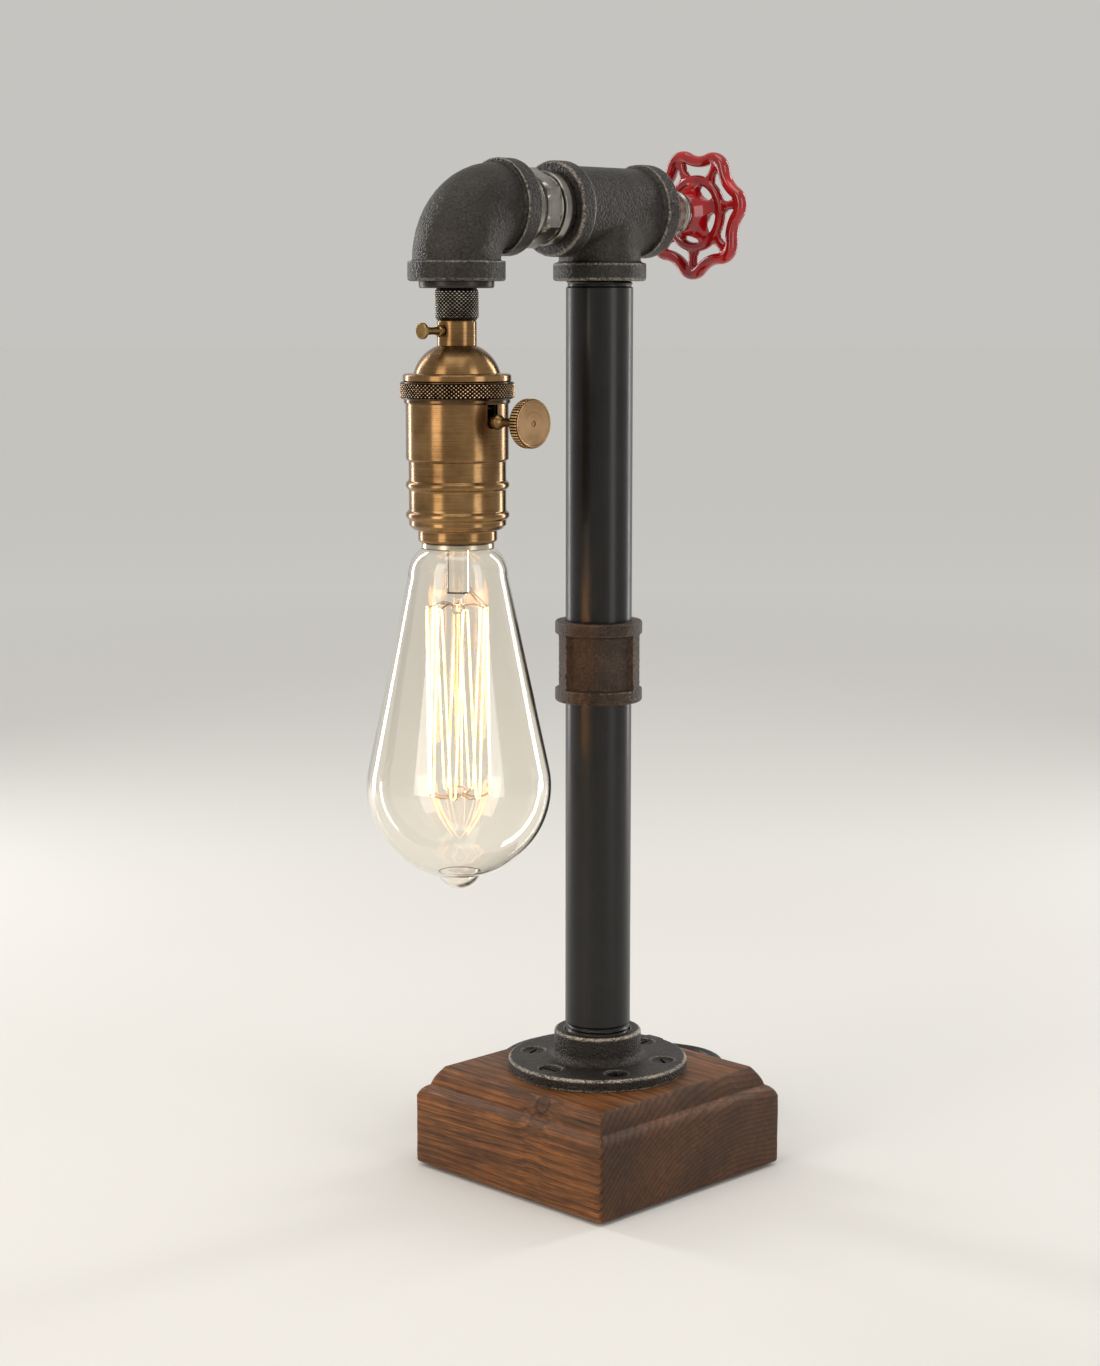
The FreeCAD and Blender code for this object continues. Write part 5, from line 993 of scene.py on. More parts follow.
@dataclass(frozen=True)
class RidgedSleeve:
    """A ring whose outside is cut by ridges: a diamond knurl, a straight knurl or a thread.

    Ridges counts those round the ring, and slope is how many pass each millimetre of height.
    """

    radius: float
    bore: float
    height: float
    ridges: int
    slope: float
    depth: float
    crossed: bool = True
    columns: int = 4
    rows: int = 4
    fade: float = 0.5

    def tree(self) -> bpy.types.GeometryNodeTree:
        """The node tree that bends a grid into a ridged ring, made once."""
        known = bpy.data.node_groups.get("ridged_sleeve")
        if known:
            return known
        tree = bpy.data.node_groups.new("ridged_sleeve", "GeometryNodeTree")
        for name, kind in (("Radius", "Float"), ("Bore", "Float"), ("Height", "Float"),
                           ("Ridges", "Float"),
                           ("Slope", "Float"), ("Depth", "Float"), ("Crossed", "Float"),
                           ("Fade", "Float"),
                           ("Columns", "Int"), ("Rows", "Int"), ("Surface", "Material")):
            tree.interface.new_socket(name, in_out="INPUT", socket_type=f"NodeSocket{kind}")
        tree.interface.new_socket("Geometry", in_out="OUTPUT", socket_type="NodeSocketGeometry")
        given = tree.nodes.new("NodeGroupInput").outputs
        tall = add(tree, "ShaderNodeMath", given["Rows"], 4.0, operation="ADD")
        wide = add(tree, "ShaderNodeMath", given["Columns"], 1.0, operation="ADD")
        grid = add(tree, "GeometryNodeMeshGrid", given["Columns"], tall, wide, tall)
        spot = add(tree, "GeometryNodeInputPosition")
        column = add(tree, "ShaderNodeSeparateXYZ", spot, output="X")
        row = add(tree, "ShaderNodeSeparateXYZ", spot, output="Y")
        share = add(tree, "ShaderNodeMath", column, given["Columns"], operation="DIVIDE")
        share = add(tree, "ShaderNodeMath", share, 0.5, operation="ADD")
        last = add(tree, "ShaderNodeMath", tall, 1.0, operation="SUBTRACT")
        row = add(tree, "ShaderNodeMath", row, tall, operation="DIVIDE")
        row = add(tree, "ShaderNodeMath", row, 0.5, operation="ADD")
        row = add(tree, "ShaderNodeMath", row, last, operation="MULTIPLY")
        level = add(tree, "ShaderNodeMath", row, 1.0, operation="SUBTRACT")
        level = add(tree, "ShaderNodeMath", level, given["Rows"], operation="DIVIDE")
        level = add(tree, "ShaderNodeClamp", level, 0.0, 1.0)
        # The last row lies on the first one, at the foot of the bore.
        wrapped = add(tree, "ShaderNodeMath", last, 0.5, operation="SUBTRACT")
        wrapped = add(tree, "ShaderNodeMath", row, wrapped, operation="GREATER_THAN")
        kept = add(tree, "ShaderNodeMath", 1.0, wrapped, operation="SUBTRACT")
        level = add(tree, "ShaderNodeMath", level, kept, operation="MULTIPLY")
        height = add(tree, "ShaderNodeMath", level, given["Height"], operation="MULTIPLY")
        around = add(tree, "ShaderNodeMath", share, given["Ridges"], operation="MULTIPLY")
        climb = add(tree, "ShaderNodeMath", height, given["Slope"], operation="MULTIPLY")
        first = add(tree, "ShaderNodeMath", around, climb, operation="ADD")
        first = add(tree, "ShaderNodeMath", first, operation="FRACT")
        second = add(tree, "ShaderNodeMath", around, climb, operation="SUBTRACT")
        # A whole number keeps the sum above zero and leaves its fraction as it is.
        second = add(tree, "ShaderNodeMath", second, 1000.0, operation="ADD")
        second = add(tree, "ShaderNodeMath", second, operation="FRACT")
        first = add(tree, "ShaderNodeMath", first, 2.0, -1.0, operation="MULTIPLY_ADD")
        first = add(tree, "ShaderNodeMath", first, operation="ABSOLUTE")
        second = add(tree, "ShaderNodeMath", second, 2.0, -1.0, operation="MULTIPLY_ADD")
        second = add(tree, "ShaderNodeMath", second, operation="ABSOLUTE")
        second = add(tree, "ShaderNodeMath", second, given["Crossed"], operation="MULTIPLY")
        groove = add(tree, "ShaderNodeMath", first, second, operation="MAXIMUM")
        edge = add(tree, "ShaderNodeMath", given["Height"], height, operation="SUBTRACT")
        edge = add(tree, "ShaderNodeMath", height, edge, operation="MINIMUM")
        edge = add(tree, "ShaderNodeMath", edge, given["Fade"], operation="DIVIDE")
        edge = add(tree, "ShaderNodeMath", edge, 1.0, operation="MINIMUM")
        tooth = add(tree, "ShaderNodeMath", 1.0, groove, operation="SUBTRACT")
        tooth = add(tree, "ShaderNodeMath", tooth, edge, operation="MULTIPLY")
        outside = add(tree, "ShaderNodeMath", given["Radius"], given["Depth"], operation="SUBTRACT")
        outside = add(tree, "ShaderNodeMath", tooth, given["Depth"], outside,
                      operation="MULTIPLY_ADD")
        foot = add(tree, "ShaderNodeMath", row, 0.5, operation="LESS_THAN")
        top = add(tree, "ShaderNodeMath", last, 1.5, operation="SUBTRACT")
        top = add(tree, "ShaderNodeMath", row, top, operation="GREATER_THAN")
        inner = add(tree, "ShaderNodeMath", foot, top, operation="MAXIMUM")
        reach = add(tree, "ShaderNodeMix", inner, outside, given["Bore"], data_type="FLOAT")
        angle = add(tree, "ShaderNodeMath", share, FULL_TURN, operation="MULTIPLY")
        across = add(tree, "ShaderNodeMath", angle, operation="COSINE")
        across = add(tree, "ShaderNodeMath", reach, across, operation="MULTIPLY")
        along = add(tree, "ShaderNodeMath", angle, operation="SINE")
        along = add(tree, "ShaderNodeMath", reach, along, operation="MULTIPLY")
        bent = add(tree, "ShaderNodeCombineXYZ", across, along, height)
        ring = add(tree, "GeometryNodeSetPosition", grid, None, bent)
        ring = add(tree, "GeometryNodeMergeByDistance", ring, named={"Distance": SAME_SOLID_POINT})
        ring = add(tree, "GeometryNodeRealizeInstances", ring)
        ring = add(tree, "GeometryNodeSetMaterial", ring, None, given["Surface"])
        tree.links.new(ring, tree.nodes.new("NodeGroupOutput").inputs["Geometry"])
        return tree

    def build(self, name: str, seat: Seat, finish: Finish) -> Piece:
        """The sleeve as a plain mesh, standing on its seat.

        Args:
            name: the piece's name.
            seat: where its foot stands.
            finish: its surface.

        Returns:
            The piece.
        """
        piece = bpy.data.objects.new(name, bpy.data.meshes.new(name))
        bpy.context.scene.collection.objects.link(piece)
        samples = 2 * self.columns
        rows = max(8, round(self.height * max(self.slope, 1 / self.height) * 2 * self.rows))
        values = {"Radius": self.radius * MM, "Bore": self.bore * MM, "Height": self.height * MM,
                  "Ridges": float(self.ridges), "Slope": self.slope / MM, "Depth": self.depth * MM,
                  "Crossed": float(self.crossed), "Fade": self.fade * MM,
                  "Columns": max(72, self.ridges * samples) + 1, "Rows": rows,
                  "Surface": finish.build()}
        apply_tree(piece, self.tree(), values)
        points = [tuple(vertex.co / MM) for vertex in piece.data.vertices]
        for vertex, spot in zip(piece.data.vertices, seat.placed(points)):
            vertex.co = spot
        work = bmesh.new()
        work.from_mesh(piece.data)
        bmesh.ops.recalc_face_normals(work, faces=work.faces)
        work.to_mesh(piece.data)
        work.free()
        return dressed(piece, finish, KNURL_SHARP)


def apply_tree(piece: Piece, tree: bpy.types.GeometryNodeTree, values: dict) -> None:
    """Runs a geometry tree on a piece and keeps the result as its plain mesh.

    Args:
        piece: the object that carries the tree.
        tree: the node tree.
        values: the tree's inputs by name.
    """
    modifier = piece.modifiers.new(tree.name, "NODES")
    modifier.node_group = tree
    for item in tree.interface.items_tree:
        if item.in_out == "INPUT" and item.name in values:
            modifier[item.identifier] = values[item.name]
    evaluated(piece)


def ring_of_copies(name: str, source: Piece, count: int, radius: float, height: float,
                   finish: Finish, seed: int) -> Piece:
    """Copies of a small piece on a circle round the Z axis, each turned on its own axis by chance.

    Args:
        name: the new piece's name.
        source: the piece to copy, which is removed.
        count: number of copies.
        radius: the circle's radius, in millimetres.
        height: the circle's height, in millimetres.
        finish: the copies' surface.
        seed: fixes the turns.

    Returns:
        All the copies as one plain mesh.
    """
    tree = bpy.data.node_groups.new("ring_of_copies", "GeometryNodeTree")
    for label, kind in (("Source", "Object"), ("Count", "Int"), ("Radius", "Float"),
                        ("Height", "Float"), ("Seed", "Int"), ("Surface", "Material")):
        tree.interface.new_socket(label, in_out="INPUT", socket_type=f"NodeSocket{kind}")
    tree.interface.new_socket("Geometry", in_out="OUTPUT", socket_type="NodeSocketGeometry")
    given = tree.nodes.new("NodeGroupInput").outputs
    circle = add(tree, "GeometryNodeMeshCircle", given["Count"], given["Radius"])
    lift = add(tree, "ShaderNodeCombineXYZ", 0.0, 0.0, given["Height"])
    circle = add(tree, "GeometryNodeSetPosition", circle, None, None, lift)
    chance = add(tree, "FunctionNodeRandomValue", 0.0, FULL_TURN, named={"Seed": given["Seed"]})
    turn = add(tree, "ShaderNodeCombineXYZ", 0.0, 0.0, chance)
    shape = add(tree, "GeometryNodeObjectInfo", given["Source"], output="Geometry")
    copies = add(tree, "GeometryNodeInstanceOnPoints", circle,
                 named={"Instance": shape, "Rotation": turn})
    copies = add(tree, "GeometryNodeRealizeInstances", copies)
    copies = add(tree, "GeometryNodeSetMaterial", copies, None, given["Surface"])
    tree.links.new(copies, tree.nodes.new("NodeGroupOutput").inputs["Geometry"])
    piece = bpy.data.objects.new(name, bpy.data.meshes.new(name))
    bpy.context.scene.collection.objects.link(piece)
    apply_tree(piece, tree, {"Source": source, "Count": count, "Radius": radius * MM,
                             "Height": height * MM, "Seed": seed, "Surface": finish.build()})
    bpy.data.objects.remove(source)
    return dressed(piece, finish)


# ---------------------------------------------------------------------------------- sub-assemblies


def fit(piece: Piece, body: str, *nodes: str, slot: str) -> Piece:
    """Lets a piece ride on a body in place of CAD nodes, and reports it.

    Args:
        piece: the finished piece.
        body: the body that carries it.
        nodes: the solid model's nodes that it stands for.
        slot: the model's material slot for it; not used.

    Returns:
        The piece.
    """
    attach(piece, body)
    if nodes:
        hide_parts(*nodes)
    LOG.info("%s rides on %s and stands for %s", piece.name, body, ", ".join(nodes) or "nothing")
    return piece


@dataclass
class Studio:
    """Camera, lamps and floor."""

    camera_place: Triple = (-0.7507, -0.7229, 0.356)
    pitch: float = 8.38
    heading: float = -45.0
    lens: float = 68.52
    sensor: float = 36.0
    clip: Point2 = (0.05, 20.0)
    aim_height: float = 0.22
    floor_half: float = 30.0
    world: str = "#c6c4c0"
    lamps: tuple = (
        ("left_panel", (-1.2, 0.0, 0.6), (0.45, 1.1), 5.2, "#fff3e4"),
        ("right_panel", (0.05, -1.2, 0.55), (0.4, 1.1), 3.4, "#ffffff"),
        ("left_rim", (-0.16, 1.0, 0.35), (0.14, 1.3), 5.6, "#ffffff"),
        ("right_rim", (1.0, -0.16, 0.35), (0.14, 1.3), 4.5, "#ffffff"),
        ("top_panel", (-0.2, -0.1, 1.35), (0.8, 0.8), 4.0, "#ffffff"),
    )

    def build(self) -> None:
        """Sets up the camera, the world, the lamps and the floor."""
        scene = bpy.context.scene
        camera = bpy.data.cameras.new("camera")
        camera.sensor_fit = "VERTICAL"
        camera.sensor_height = self.sensor
        camera.lens = self.lens
        camera.clip_start, camera.clip_end = self.clip
        holder = bpy.data.objects.new("camera", camera)
        holder.location = self.camera_place
        holder.rotation_euler = (math.radians(90 - self.pitch), 0.0, math.radians(self.heading))
        scene.collection.objects.link(holder)
        scene.camera = holder
        scene.view_settings.view_transform = "Standard"
        world = bpy.data.worlds.new("studio")
        scene.world = world
        world.use_nodes = True
        world.node_tree.nodes.clear()
        sky = add(world.node_tree, "ShaderNodeBackground", linear(self.world), 1.0)
        add(world.node_tree, "ShaderNodeOutputWorld", sky)
        for name, place, size, power, colour in self.lamps:
            self.lamp(name, place, size, power, colour)
        corners = ((-1, -1), (1, -1), (1, 1), (-1, 1))
        points = [Vector((x * self.floor_half, y * self.floor_half, 0.0)) for x, y in corners]
        floor = object_of("floor", points, [(0, 1, 2, 3)], StudioPaint("floor_paint"))

    def lamp(self, name: str, place: Triple, size: Point2, power: float, colour: str) -> None:
        """Adds one soft panel that faces the middle of the lamp.

        Args:
            name: the panel's name.
            place: where it stands, in metres.
            size: its width and height, in metres.
            power: its power in watts.
            colour: its light, as a hex colour.
        """
        light = bpy.data.lights.new(name, "AREA")
        light.shape = "RECTANGLE"
        light.size, light.size_y = size
        light.energy = power
        light.color = linear(colour)[:3]
        holder = bpy.data.objects.new(name, light)
        holder.location = place
        aim = UPWARD * self.aim_height - Vector(place)
        holder.rotation_euler = aim.to_track_quat("-Z", "Y").to_euler()
        bpy.context.scene.collection.objects.link(holder)


@dataclass
class FlexCord:
    """The free cord: out of the base, along the table, in a coil, and into its plug."""

    diameter: float = 5.2
    route: tuple[Triple, ...] = (CORD_EXIT, (92.0, 0.0, 15.0), (116.0, 18.5, 2.6),
                                 (130.5, 45.0, 2.6),
                                 (146.5, 65.5, 2.6), (141.2, 87.7, 2.6), (128.6, 102.5, 2.6))
    tail: tuple[Triple, ...] = ((52.5, 114.0, 7.4), (39.52, 106.51, 7.0))
    centre: Point2 = (86.0, 86.0)
    outer: float = 41.0
    inner: float = 20.5
    turns: float = 3.9375
    first_angle: float = 45.0
    per_turn: int = 18
    crossing: float = 120.0
    low: float = 2.6
    length: float = 1.8
    blade_offset: float = 6.35
    blade_hole: float = 51.0

    def coil(self) -> list[Triple]:
        """Turns of the coil: inwards on the table, up a layer, and outwards again."""
        points = []
        sweep = self.turns * 360
        total = sweep * 2 + self.crossing
        count = round(total / 360 * self.per_turn)
        for step in range(count + 1):
            swept_by = total * step / count
            angle = math.radians(self.first_angle + swept_by)
            inward = min(swept_by / sweep, 1.0)
            outward = max((swept_by - sweep - self.crossing) / sweep, 0.0)
            climbed = min(max((swept_by - sweep) / self.crossing, 0.0), 1.0)
            climbed = climbed * climbed * (3 - 2 * climbed)
            radius = self.outer + (self.inner - self.outer) * (inward - outward)
            points.append((self.centre[0] + radius * math.cos(angle),
                           self.centre[1] + radius * math.sin(angle),
                           self.low + self.diameter * climbed))
        return points

    def build(self) -> None:
        """The cord as one smooth spline, its strain relief, its tie and its plug."""
        points = [*self.route, *self.coil(), *self.tail]
        curve = bpy.data.curves.new("flex_cord", "CURVE")
        curve.dimensions = "3D"
        curve.bevel_depth = self.diameter / 2 * MM
        curve.bevel_resolution = 4
        curve.resolution_u = 6
        curve.use_fill_caps = True
        spline = curve.splines.new("NURBS")
        spline.points.add(len(points) - 1)
        for target, point in zip(spline.points, points):
            target.co = (*(value * MM for value in point), 1.0)
        spline.order_u = 3
        spline.use_endpoint_u = True
        cord = bpy.data.objects.new("flex_cord", curve)
        bpy.context.scene.collection.objects.link(cord)
        curve.materials.append(FLEX.build())
        plug = self.plug()
        blades = self.blades()
        tie = self.tie()
        relief = self.relief()
        fit(cord, "stand", "power_cord", "cord_coil", "plug_lead", slot="black_pvc")
        tuple(v * MM for v in self.route[0])

    def plug_frame(self) -> tuple[Vector, Vector, Vector]:
        """Where the plug starts, the direction of its blades and the direction across it."""
        start, end = Vector(self.tail[0]), Vector(self.tail[1])
        along = end - start
        along.z = 0.0
        along.normalize()
        return end, along, Vector((-along.y, along.x, 0.0))

    def plug(self) -> Piece:
        """Moulded plug with a waisted grip and a ribbed entry for the cord."""
        start, along, across = self.plug_frame()
        stations = ((0.0, 4.2, 4.2), (0.5, 4.4, 4.4), (2.0, 4.4, 4.4), (2.4, 3.7, 3.7),
                    (3.2, 3.7, 3.7), (3.6, 4.9, 4.6), (5.2, 5.1, 4.8), (5.6, 4.3, 4.2),
                    (6.4, 4.3, 4.2), (6.8, 6.0, 5.2), (9.5, 8.6, 6.0), (13.0, 11.4, 6.7),
                    (16.0, 11.9, 6.9), (22.0, 11.2, 6.4), (30.0, 11.3, 6.4),
                    (35.0, 11.9, 6.9), (37.8, 11.9, 6.95), (38.7, 11.7, 6.8), (39.0, 11.3, 6.5))
        centres = [start + along * station[0] for station in stations]
        sections = [(wide, high) for _, wide, high in stations]
        body = swept("plug", centres, [across] * len(centres), [UPWARD] * len(centres), sections,
                     RUBBER, closed=False, around=40, power=3.2)
        return fit(body, "stand", "plug_body", slot="black_pvc")

    def blades(self) -> Piece:
        """Two flat blades with rounded tips and a hole near each."""
        start, along, across = self.plug_frame()
        pieces = []
        for side in (1, -1):
            middle = start + across * side * self.blade_offset
            stations = ((31.2, 3.17), (54.0, 3.17), (55.6, 2.9), (56.4, 2.2), (56.6, 1.4))
            centres = [middle + along * station for station, _ in stations]
            sections = [(0.75, high) for _, high in stations]
            blade = swept("blade", centres, [across] * len(centres), [UPWARD] * len(centres),
                          sections, BLADE_BRASS, closed=False, around=24, power=8.0)
            drill = turned("drill", ((0, -3, 0), (1.6, -3, 0), (1.6, 3, 0), (0, 3, 0)), Seat(),
                           BLADE_BRASS, steps=24, closed=False)
            turn = UPWARD.rotation_difference(across)
            spot = (middle + along * self.blade_hole) * MM
            for vertex in drill.data.vertices:
                vertex.co = spot + turn @ vertex.co
            pieces.append(cut_out(blade, drill))
        return fit(joined("plug_blade_pair", pieces, BLADE_BRASS), "stand", "plug_blades",
                   slot="raw_brass")

    def tie(self) -> Piece:
        """Strap round the coil's turns."""
        middle = Vector((self.centre[0] + (self.outer + self.inner) / 2, self.centre[1], 5.65))
        outline = rounded([(-13.3, -5.25, 2.2), (13.3, -5.25, 2.2), (13.3, 5.25, 2.2),
                           (-13.3, 5.25, 2.2)])
        centres = [middle + Vector((x, 0, z)) for x, z in outline]
        count = len(centres)
        ups = []
        for index in range(count):
            along = (centres[(index + 1) % count] - centres[index - 1]).normalized()
            ups.append(along.cross(Vector((0, 1, 0))))
        strap = swept("cord_strap", centres, [Vector((0, 1, 0))] * count, ups,
                      [(4.3, 0.38)] * count, RUBBER, closed=True, around=20, power=5.0)
        return fit(strap, "stand", "cord_tie", slot="black_pvc")

    def relief(self) -> Piece:
        """Tapered sleeve with rings, where the cord leaves the base."""
        corners: list[Corner] = [(2.66, 0.0, 0.0), (4.7, 0.0, 0.3)]
        for index in range(5):
            place, radius = 3.0 + index * 3.1, 4.5 - index * 0.24
            corners += [(radius, place, 0.2), (radius - 0.75, place + 0.3, 0.15),
                        (radius - 0.75, place + 1.3, 0.15), (radius - 0.1, place + 1.6, 0.2)]
        corners += [(3.35, 19.7, 0.3), (3.1, 20.0, 0.2), (2.66, 20.0, 0.0)]
        sleeve = turned("strain_relief", corners, Seat(CORD_EXIT, Axis.RIGHT), RUBBER, steps=48)
        return fit(sleeve, "stand", "cord_strain_relief", slot="black_pvc")


@dataclass
class WoodenBase:
    """The square block with its bead and cove moulding."""

    half: float = 53.65
    low: float = 1.5
    face_top: float = 29.0
    high: float = 42.0
    along: int = 72
    corner: int = 6
    wear: float = 0.16

    def levels(self) -> list[tuple[float, float, float]]:
        """Rows of the block from the felt to the panel, as inset, height and corner radius."""
        rows = [(1.6, self.low, 1.6), (0.7, self.low + 0.05, 1.8), (0.25, self.low + 0.35, 2.0),
                (0.05, self.low + 0.9, 2.1)]
        foot = self.low + 0.9
        rows += [(0.0, foot + (self.face_top - foot) * k / 14, 2.1) for k in range(1, 15)]
        bead, cove = self.moulding()
        rows += [(inset, height, 1.5 - 0.5 * k / len(bead))
                 for k, (inset, height) in enumerate(bead)]
        rows += [(inset, height, 0.8) for inset, height in cove]
        rows += [(8.5, self.high - 0.25, 0.7), (8.75, self.high - 0.05, 0.7), (9.1, self.high, 0.7)]
        return rows

    def moulding(self) -> tuple[list[Point2], list[Point2]]:
        """The bead's and the cove's outlines as inset and height."""
        bead = [(0.12, 29.6), (0.42, 30.5), (0.95, 31.5), (1.7, 32.5), (2.6, 33.35), (3.6, 34.0),
                (4.35, 34.35)]
        cove = [(4.55, 34.75), (4.75, 35.4), (5.1, 36.4), (5.65, 37.6), (6.35, 38.8), (7.15, 40.0),
                (7.85, 41.0), (8.25, 41.5)]
        return bead, cove

    def loop(self, inset: float, radius: float) -> list[Point2]:
        """Points round one row, a square with rounded corners.

        Args:
            inset: how far the row lies inside the block's face.
            radius: its corners' radius.

        Returns:
            Its points in order, in millimetres.
        """
        half = self.half - inset
        straight = half - radius
        points = []
        for side in range(4):
            turn = side * math.pi / 2
            cosine, sine = math.cos(turn), math.sin(turn)
            local = [(half, -straight + 2 * straight * k / self.along) for k in range(self.along)]
            local += [(straight + radius * math.cos(a), straight + radius * math.sin(a))
                      for a in (math.pi / 2 * k / self.corner for k in range(self.corner))]
            points += [(x * cosine - y * sine, x * sine + y * cosine) for x, y in local]
        return points

    def build(self) -> None:
        """The block, slightly uneven where hands and sandpaper have been."""
        points = []
        rows = self.levels()
        count = 4 * (self.along + self.corner)
        for inset, height, radius in rows:
            for x, y in self.loop(inset, radius):
                spot = Vector((x, y, height))
                dent = noise.noise(spot / 9.0) + 0.5 * noise.noise(spot / 3.5)
                free = 0.0 if height <= self.low + 0.1 or height >= self.high - 0.1 else 1.0
                inward = Vector((x, y, 0.0)).normalized() * self.wear * free
                points.append(spot - inward * (0.7 + dent))
        faces = bands(len(rows), count, closed=False)
        for row, level in ((0, rows[0][1]), (len(rows) - 1, rows[-1][1])):
            points.append(Vector((0.0, 0.0, level)))
            hub = len(points) - 1
            faces += [(row * count + step, row * count + (step + 1) % count, hub)
                      for step in range(count)]
        block = object_of("base_wood", [point * MM for point in points], faces, PINE, 50.0)
        fit(block, "stand", "base_block", slot="walnut_stained_wood")


@dataclass
class Riser:
    """The flange with its screws, the two pipes and the coupling."""

    pipe_radius: float = 13.35
    bore_radius: float = 10.48
    thread_pitch: float = 1.814
    lower: Point2 = (45.35, 210.45)
    upper: Point2 = (213.45, 378.55)

    def build(self, frame: dict) -> None:
        """All the stand's iron and steel."""
        flange = cast(copy_of_node(frame, "floor_flange", "flange_cast"), FLANGE_IRON, voxel=0.405,
                      passes=2, grit=0.8, relief=0.035, seed=3.0)
        fit(flange, "stand", "floor_flange", slot="cast_iron")
        # The coupling's warmer colour partly paints the bulb's warm light on it.
        coupling = cast(copy_of_node(frame, "pipe_coupling", "coupling_cast"), BROWN_AND_BULB_LIT_IRON,
                        voxel=0.332, passes=3, grit=0.9, relief=0.06, seed=8.0)
        fit(coupling, "stand", "pipe_coupling", slot="cast_iron")
        self.pipe("lower", self.lower, thread_end=61.5, thread_start=208.0)
        self.pipe("upper", self.upper, thread_end=215.5, thread_start=361.2)
        self.screws()

    def pipe(self, name: str, ends: Point2, thread_end: float, thread_start: float) -> None:
        """One nipple: plain in its middle, threaded at both ends.

        Args:
            name: which of the two it is.
            ends: heights of its ends.
            thread_end: where its lower thread runs out.
            thread_start: where its upper thread begins.
        """
        root = self.pipe_radius - 0.75
        tube = turned(f"{name}_pipe_tube", (
            (self.bore_radius, ends[0], 0.3), (root - 0.1, ends[0], 0.3),
            (root - 0.05, thread_end - 0.4, 0.1), (self.pipe_radius, thread_end + 0.5, 0.5),
            (self.pipe_radius, thread_start - 0.4, 0.45), (root - 0.05, thread_start + 0.2, 0.1),
            (root - 0.1, ends[1], 0.3), (self.bore_radius, ends[1], 0.3),
        ), Seat(), PIPE, steps=128)
        pieces = [tube]
        for low, high in ((ends[0] + 0.4, thread_end), (thread_start, ends[1] - 0.4)):
            sleeve = RidgedSleeve(radius=self.pipe_radius - 0.1, bore=root - 1.0,
                                  height=high - low, ridges=1, slope=1 / self.thread_pitch,
                                  depth=0.7, crossed=False, columns=1, rows=4, fade=1.2)
            pieces.append(sleeve.build(f"{name}_thread", Seat((0.0, 0.0, low)), PIPE))
        fit(joined(f"{name}_pipe_threaded", pieces, PIPE), "stand", f"{name}_pipe",
            slot="black_steel")

    def screws(self) -> None:
        """Six slotted wood screws, each slot at its own angle."""
        screw = turned("screw", (
            (0.0, -17.7, 0.0), (1.0, -16.0, 0.3), (2.05, -12.0, 0.4), (2.05, -2.6, 0.3),
            (4.05, -0.35, 0.15), (3.95, 0.0, 0.2), (0.0, 0.12, 0.0),
        ), Seat(), SCREW_STEEL, steps=40, closed=False)
        slot_box = swept("slot", [Vector((-6, 0, 0)), Vector((6, 0, 0))], [Vector((0, 1, 0))] * 2,
                         [UPWARD] * 2, [(0.6, 1.05)] * 2, SCREW_STEEL, closed=False, around=24,
                         power=10.0)
        screw = cut_out(screw, slot_box)
        ring = ring_of_copies("flange_screw_ring", screw, count=6, radius=27.5, height=46.35,
                              finish=SCREW_STEEL, seed=5)
        fit(ring, "stand", "flange_screws", slot="zinc_steel")


